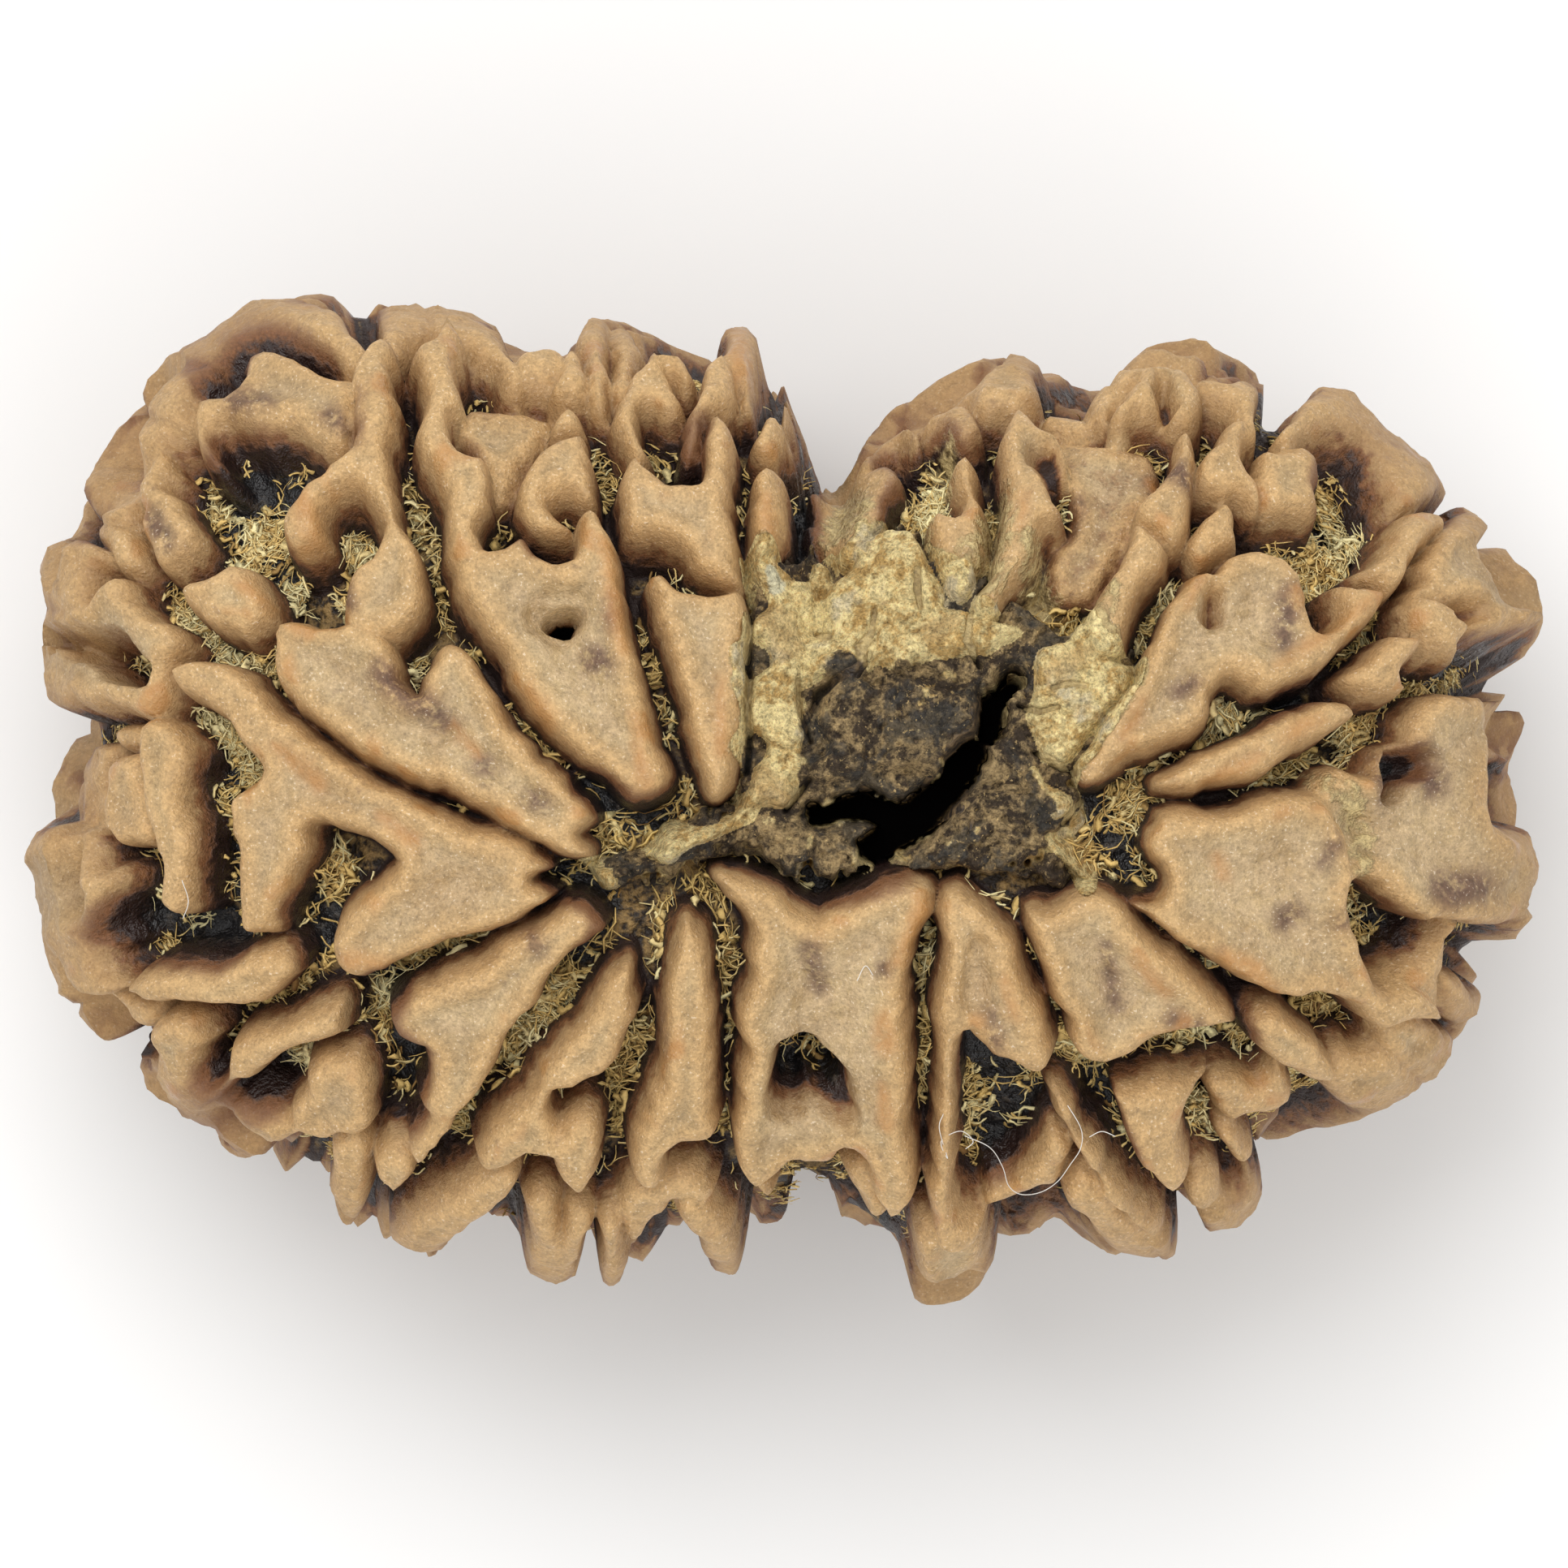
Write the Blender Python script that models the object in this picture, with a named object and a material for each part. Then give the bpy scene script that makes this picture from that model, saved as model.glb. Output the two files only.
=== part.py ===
"""Gauri shankar rudraksha: two rudraksha nuts that grew together as one stone.

The joined nut lies on the pole away from its stalk scar, so the scar looks up. Lengths are written
in millimetres, times MM for the metres of the scene. X runs along both seeds, Y across them, Z up.
"""
import bpy
import math
import numpy as np

MM = 0.001

# Driving dimensions of the nut, in millimetres
LENGTH = 36.0            # over both seeds, crest to crest
WIDTH = 24.0             # across one seed, crest to crest
HALF_HEIGHT = 10.0       # from the widest girdle to each pole
GROOVE_DEPTH = 2.3       # from the crests down to the floor between the ribs
REST_CUT = 0.45          # worn off the lowest crests, where the nut lies
SIDE_SQUARENESS = 2.3    # 2 is an ellipse seen from the side, more is boxier
SPINE_HALF = 8.0         # the ribs stand square to a line of this half length inside the nut
LEAN = 1.6               # how much steeper than square the relief stands near the poles
WAIST_X = 1.0            # where the two seeds meet
WAIST_DROP = 0.06        # share of the height lost there
WAIST_SPREAD = 3.0

# How a rib's edge rises: foot outside its outline, rounded shoulder inside, raised lip, hollow top
FOOT = 0.20
SHOULDER = 0.70
FOOT_EASE = 1.3
SHOULDER_EASE = 2.6
LIP_RISE = 0.05
LIP_INSET = 0.55
LIP_SPREAD = 0.28
TOP_SAG = 0.07

# Groove floor, as shares of the groove's depth, and pits
FLOOR_LEVEL = 0.10
FLOOR_ROUGH = 0.10
FLOOR_SCALE = 1.1
GRIT_SHARE = 0.6
GRIT_SCALE = 0.5
PIT_FLOOR = -0.25
PIT_EDGE = 0.30
MARGIN = 1.2             # how far past its outline a feature is looked up

# How the ribs pass the girdle, and how the far side differs from the near one
EDGE_START = 0.93        # share of the way out where the reading of the layout starts to slow
EDGE_SLACK = 0.05
FAR_FULL = 8.0           # depth behind the girdle where the far side is fully its own
FAR_TWIST = math.radians(16)
FAR_DRAW = 0.30
FAR_WANDER = 1.4
FAR_SCALE = 5.0
BELT_TOP = 4.6           # ribs dip and webs cross below this height over the girdle
SADDLE_LENGTH = 1.9
SADDLE_DIP = 0.60
WEB_LENGTH = 1.5
WEB_HEIGHT = 0.55
BELT_BLEND = 2.0
SADDLE_GAIN = 1.8
SADDLE_START = 0.06
WEB_GAIN = 2.2
WEB_START = 0.23

# Dried pulp
PULP_RAGGED = 0.35       # how far its edge and top wander
PULP_SCALE = 0.7
PULP_EDGE = 1.0
PULP_FOOT = 0.4

SEED = 11
BALL_STEPS = 8
TRIANGLES = 11000
WOOD_COLOUR = (0.47, 0.29, 0.14, 1.0)
WOOD_ROUGHNESS = 0.55

# Each plate: name -> (depth of its top under the crest surface, outline)
PLATES = {
    # left seed, facing the viewer
    "left_wing": (0.0, [
        (-14.85, 3.15), (-14.4, 3.5), (-13.6, 3.45), (-12.9, 3.1), (-12.2, 2.2), (-11.4, 1.65),
        (-10.2, 0.7), (-9.2, 0.25), (-8.0, -0.35), (-6.8, -0.75), (-6.1, -1.1), (-5.55, -1.55),
        (-6.0, -1.85), (-5.4, -2.15), (-6.0, -2.65), (-7.0, -3.1), (-8.0, -3.3), (-9.0, -3.75),
        (-9.8, -4.05), (-10.5, -4.1), (-10.85, -3.7), (-10.9, -3.2), (-10.5, -2.5), (-9.7, -1.85),
        (-9.3, -1.4), (-9.9, -0.95), (-10.6, -0.65), (-11.3, -0.55), (-11.4, -1.2), (-11.8, -2.0),
        (-12.1, -2.9), (-12.6, -3.15), (-13.05, -3.0), (-13.15, -2.2), (-13.1, -1.3), (-13.3, -0.5),
        (-13.25, 0.1), (-12.7, 0.5), (-12.6, 0.9), (-13.0, 1.4), (-13.5, 2.1), (-14.0, 2.5),
        (-14.6, 2.75)]),
    "left_shoulder": (0.0, [
        (-4.7, -1.35), (-5.3, -1.3), (-6.0, -0.85), (-6.7, -0.5), (-7.3, -0.15), (-8.1, 0.35),
        (-9.0, 0.5), (-9.8, 0.95), (-10.6, 1.45), (-11.3, 1.95), (-12.0, 2.7), (-12.25, 3.4),
        (-12.1, 4.25), (-11.2, 4.3), (-10.3, 4.3), (-9.6, 3.9), (-9.3, 3.3), (-9.1, 2.8), (-8.75, 2.6),
        (-8.6, 3.2), (-8.3, 3.7), (-7.95, 3.8), (-7.5, 3.4), (-7.1, 2.7), (-6.5, 1.8), (-5.9, 1.15),
        (-5.2, 0.5), (-4.7, 0.1), (-4.6, -0.4), (-5.0, -0.75), (-4.7, -1.05)]),
    "shoulder_hook": (0.0, [
        (-9.5, 10.9), (-9.35, 10.0), (-9.4, 9.0), (-9.45, 8.0), (-9.35, 7.3), (-9.0, 6.5),
        (-8.65, 5.6), (-8.5, 5.0), (-8.7, 4.5), (-9.3, 4.0), (-10.2, 3.9), (-10.6, 4.3), (-10.5, 4.9),
        (-10.35, 5.6), (-9.8, 6.05), (-9.7, 6.6), (-9.85, 7.1), (-10.3, 7.5), (-10.8, 7.3),
        (-11.0, 6.8), (-11.0, 6.2), (-11.6, 5.95), (-11.95, 6.3), (-11.95, 6.9), (-11.5, 7.5),
        (-10.9, 8.0), (-10.4, 8.5), (-10.35, 9.3), (-10.35, 10.2), (-10.0, 10.9)]),
    "left_nugget": (0.1, [
        (-14.5, 5.1), (-14.1, 5.4), (-13.3, 5.7), (-12.8, 5.6), (-12.4, 5.1), (-12.4, 4.4),
        (-12.8, 4.0), (-13.4, 4.05), (-14.0, 4.4), (-14.4, 4.8)]),
    "left_brow": (0.3, [
        (-14.4, 9.0), (-14.2, 9.8), (-13.2, 10.05), (-13.0, 10.8), (-12.3, 11.0), (-11.6, 10.75),
        (-10.9, 10.35), (-10.3, 10.1), (-10.3, 9.2), (-10.6, 8.5), (-11.2, 8.7), (-11.8, 9.0),
        (-12.6, 9.1), (-13.5, 9.2), (-13.85, 8.8), (-13.7, 8.2), (-14.1, 8.4)]),
    "left_ear": (0.2, [
        (-16.9, 5.0), (-17.4, 4.2), (-17.65, 3.4), (-17.5, 2.7), (-17.0, 2.3), (-16.2, 2.3),
        (-15.4, 2.1), (-14.95, 2.6), (-14.75, 3.3), (-14.45, 3.75), (-14.7, 4.2), (-15.3, 4.5),
        (-15.8, 5.0), (-16.0, 5.5), (-16.5, 5.4)]),
    "left_teeth": (0.4, [
        (-15.1, 8.9), (-14.9, 8.3), (-15.0, 7.8), (-14.7, 7.4), (-14.5, 6.9), (-14.3, 6.5),
        (-14.5, 5.9), (-15.0, 5.75), (-15.4, 6.2), (-15.7, 6.8), (-15.65, 7.2), (-15.85, 7.7),
        (-15.6, 8.3)]),
    "left_column": (0.2, [
        (-15.6, 1.7), (-15.2, 2.0), (-14.7, 1.9), (-14.4, 1.5), (-14.4, 0.9), (-14.5, 0.2),
        (-14.3, -0.6), (-14.2, -1.4), (-14.3, -2.2), (-14.4, -2.7), (-14.8, -2.75), (-15.15, -2.4),
        (-15.1, -1.8), (-15.1, -1.3), (-15.4, -0.5), (-15.6, 0.5)]),
    "left_slab": (0.5, [
        (-16.7, 1.0), (-16.2, 1.3), (-15.5, 1.2), (-15.4, 0.2), (-15.2, -0.9), (-15.8, -1.1),
        (-16.4, -0.9), (-16.8, -0.6), (-16.8, 0.3)]),
    "left_jaw": (0.1, [
        (-17.0, -0.7), (-17.6, -0.8), (-18.0, -1.4), (-17.95, -2.4), (-17.8, -3.3), (-17.4, -4.2),
        (-17.0, -4.5), (-16.2, -4.6), (-15.3, -4.75), (-14.0, -4.95), (-13.2, -4.95), (-12.4, -4.7),
        (-11.95, -4.3), (-11.75, -3.9), (-12.0, -3.6), (-12.5, -3.5), (-13.1, -3.65), (-13.7, -3.95),
        (-14.3, -3.85), (-15.0, -3.9), (-15.6, -4.1), (-16.0, -4.3), (-16.6, -4.0), (-17.0, -3.7),
        (-17.2, -3.1), (-16.7, -2.7), (-16.1, -2.1), (-16.1, -1.7), (-16.7, -1.5)]),
    "left_fin": (0.2, [
        (-15.5, -5.9), (-15.2, -5.3), (-14.6, -5.1), (-14.1, -5.3), (-13.95, -5.8), (-14.2, -6.3),
        (-13.95, -6.75), (-13.65, -6.6), (-13.4, -6.0), (-13.1, -5.6), (-12.4, -5.4), (-11.6, -5.0),
        (-11.0, -4.75), (-10.6, -4.7), (-10.45, -5.1), (-10.7, -5.6), (-11.4, -5.8), (-12.0, -6.1),
        (-12.6, -6.5), (-13.2, -6.8), (-13.6, -7.2), (-14.0, -7.4), (-14.5, -7.1), (-14.9, -6.6)]),
    "left_heel": (0.5, [
        (-13.6, -7.5), (-13.2, -8.1), (-12.7, -8.4), (-12.0, -8.3), (-11.3, -8.15), (-10.0, -8.0),
        (-9.9, -7.3), (-10.0, -6.5), (-10.5, -6.2), (-11.2, -6.2), (-11.6, -6.5), (-11.7, -7.1),
        (-12.1, -7.5), (-12.8, -7.4), (-13.2, -7.2)]),
    "left_knob_low": (0.6, [
        (-16.7, -4.8), (-16.2, -4.5), (-15.5, -4.8), (-15.2, -5.2), (-15.6, -5.6), (-16.2, -5.5)]),
    # lower middle
    "lower_wing": (0.0, [
        (-5.0, -2.3), (-4.4, -2.9), (-4.9, -3.4), (-5.6, -4.0), (-6.0, -4.7), (-6.4, -5.3),
        (-6.8, -5.9), (-7.1, -6.6), (-7.6, -7.3), (-8.2, -8.0), (-8.8, -8.6), (-9.0, -8.0),
        (-8.5, -7.5), (-8.75, -7.1), (-8.5, -6.6), (-8.6, -6.0), (-9.0, -5.7), (-9.45, -5.2),
        (-9.3, -4.8), (-8.9, -4.5), (-8.2, -4.2), (-7.4, -3.8), (-6.6, -3.2), (-6.0, -2.9),
        (-5.5, -2.5)]),
    "lower_wing_tail": (0.4, [
        (-9.9, -8.5), (-9.3, -8.3), (-8.9, -8.6), (-9.0, -9.2), (-9.4, -9.7), (-9.8, -9.4),
        (-10.0, -8.9)]),
    "claw": (0.0, [
        (-4.0, -3.9), (-3.75, -3.85), (-3.65, -4.5), (-3.8, -5.3), (-4.0, -6.1), (-4.35, -6.5),
        (-4.9, -6.6), (-5.4, -6.8), (-5.65, -7.2), (-5.5, -7.8), (-5.1, -7.5), (-4.8, -7.3),
        (-4.5, -7.6), (-4.4, -8.2), (-4.6, -8.9), (-5.0, -9.25), (-5.4, -8.9), (-5.6, -8.5),
        (-6.2, -8.4), (-6.8, -8.6), (-7.2, -8.65), (-7.35, -8.4), (-7.1, -7.9), (-6.6, -7.4),
        (-6.15, -6.8), (-5.9, -6.2), (-5.4, -5.7), (-5.0, -5.2), (-4.6, -4.6)]),
    "post": (0.0, [
        (-2.75, -3.2), (-2.5, -2.7), (-2.3, -2.7), (-2.0, -3.2), (-1.85, -3.9), (-1.8, -5.0),
        (-1.8, -6.0), (-1.75, -7.0), (-1.65, -7.7), (-1.9, -8.05), (-2.5, -8.15), (-2.85, -8.3),
        (-3.0, -8.7), (-3.0, -9.15), (-3.5, -9.15), (-3.75, -8.8), (-3.75, -8.2), (-3.4, -7.4),
        (-3.1, -6.6), (-3.0, -5.6), (-2.95, -4.6), (-2.85, -3.8)]),
    "post_foot": (0.5, [
        (-3.9, -9.3), (-3.0, -9.0), (-2.0, -9.0), (-1.75, -9.5), (-2.0, -9.9), (-2.7, -9.8),
        (-3.1, -10.2), (-3.5, -10.8), (-3.9, -10.8), (-4.05, -10.2)]),
    "trousers": (0.0, [
        (-1.7, -1.7), (-1.2, -1.75), (-0.6, -1.95), (-0.1, -2.1), (0.3, -2.5), (0.7, -2.8),
        (1.1, -2.5), (1.6, -2.1), (2.3, -1.85), (3.0, -1.8), (3.4, -2.0), (3.3, -2.6), (3.1, -3.2),
        (2.9, -3.8), (2.75, -4.2), (2.85, -4.8), (2.95, -5.7), (2.9, -6.6), (2.85, -7.4), (2.95, -8.2),
        (2.95, -9.0), (2.8, -9.6), (2.4, -9.95), (2.1, -9.6), (1.9, -9.0), (1.75, -8.5), (1.3, -8.25),
        (0.9, -8.5), (0.3, -8.55), (-0.2, -8.8), (-0.8, -9.1), (-1.1, -8.7), (-1.3, -8.0),
        (-1.2, -7.2), (-1.15, -6.4), (-1.1, -5.6), (-1.2, -5.0), (-1.0, -4.3), (-0.9, -3.5),
        (-0.9, -2.9), (-1.3, -2.4)]),
    "long_rib": (0.0, [
        (3.6, -2.2), (3.9, -2.0), (4.3, -2.3), (4.6, -2.5), (5.1, -2.9), (5.4, -3.6), (5.7, -4.4),
        (6.0, -5.2), (6.2, -5.9), (5.95, -6.35), (5.4, -6.3), (4.9, -6.2), (4.5, -5.8), (4.15, -5.5),
        (4.0, -6.5), (4.0, -7.5), (3.9, -8.5), (3.9, -9.3), (4.2, -9.8), (4.7, -9.9), (4.5, -10.4),
        (3.9, -10.65), (3.4, -10.4), (3.35, -9.6), (3.4, -8.6), (3.45, -7.6), (3.45, -6.5),
        (3.4, -5.5), (3.45, -4.5), (3.55, -3.5)]),
    "rib_web": (0.5, [
        (4.5, -10.0), (4.7, -9.4), (5.2, -9.2), (5.8, -8.6), (6.2, -8.0), (6.6, -8.3), (6.5, -9.0),
        (6.2, -9.4), (5.5, -9.65), (5.0, -9.9)]),
    "big_toe": (0.3, [
        (3.0, -10.8), (3.1, -11.6), (3.6, -12.0), (4.2, -11.8), (4.6, -11.0), (4.7, -10.5),
        (4.0, -10.6), (3.4, -10.4)]),
    "right_fan": (0.0, [
        (5.55, -2.5), (6.2, -2.5), (7.0, -2.2), (7.5, -2.15), (7.9, -2.5), (8.3, -3.0), (9.1, -3.6),
        (9.8, -4.3), (10.6, -5.0), (10.7, -5.3), (10.0, -5.4), (9.4, -5.4), (8.7, -5.6), (8.0, -6.05),
        (7.3, -6.15), (6.8, -5.9), (6.5, -5.2), (6.2, -4.6), (6.0, -3.9), (5.7, -3.2)]),
    "right_fan_tip": (0.2, [
        (10.9, -5.1), (11.8, -5.0), (12.4, -5.5), (13.0, -6.1), (13.15, -6.6), (12.8, -6.75),
        (12.1, -6.5), (11.4, -6.1), (11.0, -5.6)]),
    "lower_sliver": (0.2, [
        (6.1, -6.8), (6.4, -6.85), (6.8, -7.3), (6.9, -7.9), (7.3, -8.4), (7.8, -9.2), (8.4, -9.8),
        (8.9, -10.2), (8.7, -10.7), (8.2, -10.3), (7.6, -9.6), (7.2, -8.9), (6.8, -8.3), (6.4, -7.7)]),
    "lower_palm": (0.2, [
        (7.6, -6.9), (8.4, -6.75), (9.3, -6.65), (9.9, -6.6), (9.5, -7.2), (9.25, -7.8), (9.5, -8.4),
        (9.55, -9.0), (9.2, -9.45), (8.8, -9.3), (8.3, -8.7), (7.9, -7.9), (7.7, -7.3)]),
    "lower_lump": (0.6, [
        (10.0, -6.9), (10.7, -6.7), (11.3, -6.9), (11.8, -6.4), (12.1, -6.9), (12.3, -7.4),
        (11.9, -7.8), (11.2, -7.9), (10.5, -7.95), (10.2, -7.4)]),
    "lower_lump_heel": (0.7, [
        (9.5, -9.3), (10.0, -9.0), (10.5, -9.6), (10.95, -9.0), (10.95, -9.8), (10.5, -10.15),
        (10.0, -10.2), (9.6, -9.9)]),
    # right seed
    "right_palm": (0.0, [
        (8.3, -1.1), (8.5, -0.6), (9.0, -0.15), (10.0, -0.2), (11.0, 0.0), (11.7, 0.3), (12.3, 0.3),
        (12.9, -0.1), (13.3, -0.8), (13.4, -1.6), (13.3, -2.2), (13.5, -3.0), (13.8, -3.8),
        (14.2, -4.4), (14.9, -4.3), (15.4, -4.6), (15.6, -5.2), (14.9, -5.15), (14.2, -5.4),
        (13.6, -5.1), (13.2, -4.7), (12.6, -4.5), (12.0, -4.6), (11.2, -4.4), (10.4, -4.0),
        (9.6, -3.5), (8.8, -3.0), (8.1, -2.4), (8.7, -2.3), (8.8, -1.8)]),
    "right_shelf": (0.3, [
        (12.5, 0.2), (13.2, 0.9), (13.9, 0.7), (14.1, 1.3), (14.9, 1.5), (15.1, 2.3), (15.5, 2.7),
        (16.2, 2.7), (16.9, 2.5), (17.4, 2.1), (17.3, 1.4), (17.0, 0.7), (16.9, 0.1), (17.0, -0.3),
        (17.4, -0.8), (17.8, -1.6), (17.8, -2.3), (17.5, -2.8), (17.0, -2.95), (16.0, -2.9),
        (15.0, -2.8), (14.4, -2.3), (13.9, -1.9), (13.3, -2.0), (12.8, -1.5), (12.4, -0.8)]),
    "right_hem": (0.6, [
        (14.1, -4.4), (15.1, -3.95), (15.7, -3.3), (16.1, -2.9), (16.5, -2.95), (16.1, -3.8),
        (15.9, -4.3), (15.9, -4.9), (15.6, -5.4), (14.9, -5.2)]),
    "right_pebble": (1.0, [
        (15.9, -4.3), (16.3, -4.6), (16.45, -5.1), (16.1, -5.3), (15.8, -5.2)]),
    "right_lump_a": (0.9, [
        (14.2, -5.4), (15.0, -5.2), (15.6, -5.6), (15.8, -6.1), (15.3, -6.7), (14.9, -6.9),
        (14.6, -6.4)]),
    "right_lump_b": (0.7, [
        (13.2, -6.2), (14.0, -6.1), (14.6, -6.1), (14.9, -6.7), (14.5, -7.1), (13.6, -7.5),
        (13.0, -7.1), (12.9, -6.7)]),
    "blade": (0.0, [
        (8.65, 0.5), (9.2, 0.9), (10.0, 1.3), (10.8, 1.7), (11.6, 2.1), (12.5, 2.4), (13.1, 2.4),
        (13.5, 2.1), (13.2, 1.8), (12.6, 1.5), (11.9, 1.1), (11.2, 0.7), (10.3, 0.45), (9.4, 0.3),
        (8.9, 0.3)]),
    "right_saddle": (0.0, [
        (8.3, 3.4), (8.6, 4.1), (9.0, 4.9), (9.4, 5.45), (9.9, 5.55), (10.1, 5.5), (10.4, 5.9),
        (11.2, 6.0), (11.9, 5.8), (12.2, 5.2), (12.35, 4.5), (12.7, 4.15), (13.1, 4.5), (13.1, 5.2),
        (13.7, 5.25), (14.2, 5.1), (14.2, 4.8), (13.6, 4.1), (12.8, 3.4), (12.0, 2.85), (11.2, 2.6),
        (10.9, 2.8), (10.4, 3.0), (10.1, 2.6), (9.9, 1.9), (9.3, 1.5), (8.6, 1.3), (7.9, 1.0),
        (7.3, 0.4), (6.9, 0.4), (6.9, 0.9), (7.3, 1.7), (7.7, 2.4), (8.2, 2.9)]),
    "ridge_a": (0.0, [
        (7.3, 3.4), (7.8, 3.5), (8.0, 4.2), (8.3, 4.9), (8.8, 5.5), (8.95, 6.0), (8.6, 6.4),
        (8.2, 6.6), (7.9, 6.0), (7.6, 5.3), (7.2, 4.8), (7.0, 4.3), (7.0, 3.9)]),
    "spike_a": (0.1, [
        (8.3, 7.1), (8.8, 7.6), (9.1, 8.2), (9.2, 8.8), (9.5, 8.9), (9.7, 8.4), (9.6, 7.6), (9.5, 6.9),
        (9.3, 6.3), (9.0, 6.1), (8.7, 6.4), (8.3, 6.7)]),
    "spike_b": (0.2, [
        (9.7, 8.1), (10.2, 8.8), (10.5, 9.2), (10.9, 9.3), (11.05, 8.9), (10.8, 8.3), (11.0, 7.9),
        (11.3, 7.3), (11.1, 7.0), (10.7, 7.4), (10.2, 7.4), (9.7, 7.6)]),
    "thumb": (0.3, [
        (9.5, 6.3), (10.1, 7.1), (10.5, 7.2), (10.7, 6.5), (10.5, 6.1), (10.1, 5.9), (9.7, 5.7)]),
    "block": (0.4, [
        (11.2, 8.6), (11.8, 8.7), (12.5, 8.65), (12.8, 8.3), (12.75, 7.5), (12.7, 7.1), (12.0, 7.0),
        (11.4, 7.0), (11.2, 7.6)]),
    "outer_ridge": (0.2, [
        (13.6, 5.6), (14.3, 6.1), (14.7, 6.8), (15.0, 7.1), (15.5, 6.9), (15.6, 6.5), (15.1, 6.0),
        (14.8, 5.5), (14.4, 5.1), (13.9, 5.3)]),
    "right_cheek": (0.3, [
        (15.2, 6.0), (15.7, 6.6), (15.8, 7.2), (16.4, 6.6), (17.0, 6.0), (17.7, 5.5), (18.0, 4.95),
        (17.85, 4.2), (17.6, 3.6), (17.5, 4.1), (16.9, 4.15), (16.4, 4.2), (16.2, 4.7), (15.5, 4.8),
        (15.0, 5.0), (15.2, 5.5)]),
    "cheek_knob": (0.2, [
        (14.9, 4.9), (15.5, 5.0), (16.1, 4.6), (16.3, 4.2), (16.1, 3.8), (16.2, 3.4), (15.7, 3.6),
        (15.2, 3.9), (14.9, 4.2)]),
    "thorn": (0.1, [
        (13.3, 3.0), (13.8, 3.5), (14.4, 3.9), (15.1, 4.05), (15.2, 3.8), (14.8, 3.5), (14.6, 3.1),
        (14.8, 2.7), (14.3, 2.55), (13.8, 2.6)]),
    # top of the right seed
    "arc": (0.5, [
        (1.5, 7.9), (1.8, 8.6), (2.3, 9.2), (2.9, 9.2), (3.1, 8.9), (2.6, 8.85), (2.2, 8.5),
        (1.8, 8.0)]),
    "knob_a": (0.5, [
        (3.1, 9.1), (3.4, 9.7), (4.1, 9.9), (4.4, 9.6), (4.45, 9.0), (4.1, 8.8), (3.6, 9.1)]),
    "leaf_a": (0.3, [
        (3.8, 8.2), (4.1, 8.55), (4.4, 8.4), (4.5, 7.6), (4.62, 6.8), (4.6, 6.0), (4.3, 5.3),
        (4.0, 5.0), (3.75, 5.3), (3.5, 6.0), (3.35, 6.7), (3.5, 7.05), (3.9, 6.95), (4.1, 7.2),
        (3.9, 7.7)]),
    "leaf_b": (0.1, [
        (5.05, 9.0), (5.35, 9.55), (5.7, 9.4), (6.1, 9.0), (6.5, 8.6), (6.5, 8.1), (6.2, 7.8),
        (6.25, 7.3), (6.5, 6.9), (6.0, 6.6), (5.75, 5.9), (5.5, 5.4), (5.1, 4.9), (4.7, 4.5),
        (4.4, 4.7), (4.6, 5.2), (4.9, 5.8), (5.05, 6.6), (5.1, 7.4), (5.05, 8.2)]),
    "crown_a": (0.5, [
        (4.1, 10.0), (4.5, 10.5), (5.0, 10.75), (5.5, 10.7), (5.8, 10.3), (5.9, 9.9), (5.5, 9.6),
        (5.0, 9.7), (4.6, 9.7)]),
    "crown_b": (0.3, [
        (7.5, 9.4), (7.9, 9.9), (8.3, 10.4), (8.9, 10.9), (9.4, 11.1), (9.75, 10.8), (9.7, 10.3),
        (9.95, 10.1), (9.8, 9.6), (9.6, 9.2), (9.2, 9.1), (8.8, 9.4), (8.3, 9.4), (7.9, 9.2)]),
    "crown_tooth": (0.6, [
        (7.1, 9.6), (7.3, 10.3), (7.5, 10.45), (7.8, 10.1), (7.6, 9.5)]),
    "valley_floor": (1.3, [
        (6.4, 9.6), (7.4, 9.4), (8.4, 9.2), (8.9, 8.6), (8.8, 7.8), (8.2, 7.2), (8.0, 6.4), (7.5, 5.6),
        (7.0, 5.1), (6.3, 5.2), (6.1, 6.0), (6.5, 6.8), (6.6, 7.6), (6.3, 8.4), (6.0, 9.2)]),
    # top of the left seed
    "upper_leaf": (0.0, [
        (-2.85, 0.3), (-3.3, 0.05), (-3.8, 0.1), (-4.2, 0.5), (-4.8, 1.0), (-5.4, 1.5), (-6.0, 2.2),
        (-6.5, 2.9), (-6.9, 3.6), (-7.3, 4.3), (-7.7, 5.0), (-8.0, 5.8), (-8.15, 6.6), (-8.1, 7.3),
        (-8.5, 7.9), (-8.85, 8.6), (-8.7, 9.2), (-8.6, 9.6), (-8.9, 10.3), (-8.95, 10.8), (-8.5, 11.1),
        (-8.1, 11.5), (-7.8, 11.0), (-7.85, 10.4), (-7.75, 9.7), (-8.0, 9.2), (-8.0, 8.7), (-7.6, 8.3),
        (-7.2, 8.2), (-7.0, 7.6), (-7.1, 6.9), (-7.4, 6.4), (-7.1, 6.0), (-6.7, 6.2), (-6.3, 6.35),
        (-6.0, 6.0), (-5.6, 5.75), (-5.1, 5.8), (-4.95, 6.2), (-4.95, 6.7), (-4.75, 7.0), (-4.45, 6.9),
        (-4.3, 6.5), (-4.1, 5.8), (-3.95, 5.0), (-3.75, 4.2), (-3.5, 3.3), (-3.3, 2.4), (-3.1, 1.4),
        (-2.85, 0.8)]),
    "curl": (0.2, [
        (-4.9, 8.9), (-5.3, 8.8), (-5.9, 8.4), (-6.3, 7.8), (-6.5, 7.2), (-6.3, 6.7), (-5.9, 6.4),
        (-5.4, 6.4), (-5.2, 6.6), (-5.6, 6.85), (-5.75, 7.2), (-5.3, 7.4), (-4.9, 7.25), (-4.6, 7.2),
        (-4.65, 7.9), (-4.75, 8.5)]),
    "curl_tip": (0.4, [
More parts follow.
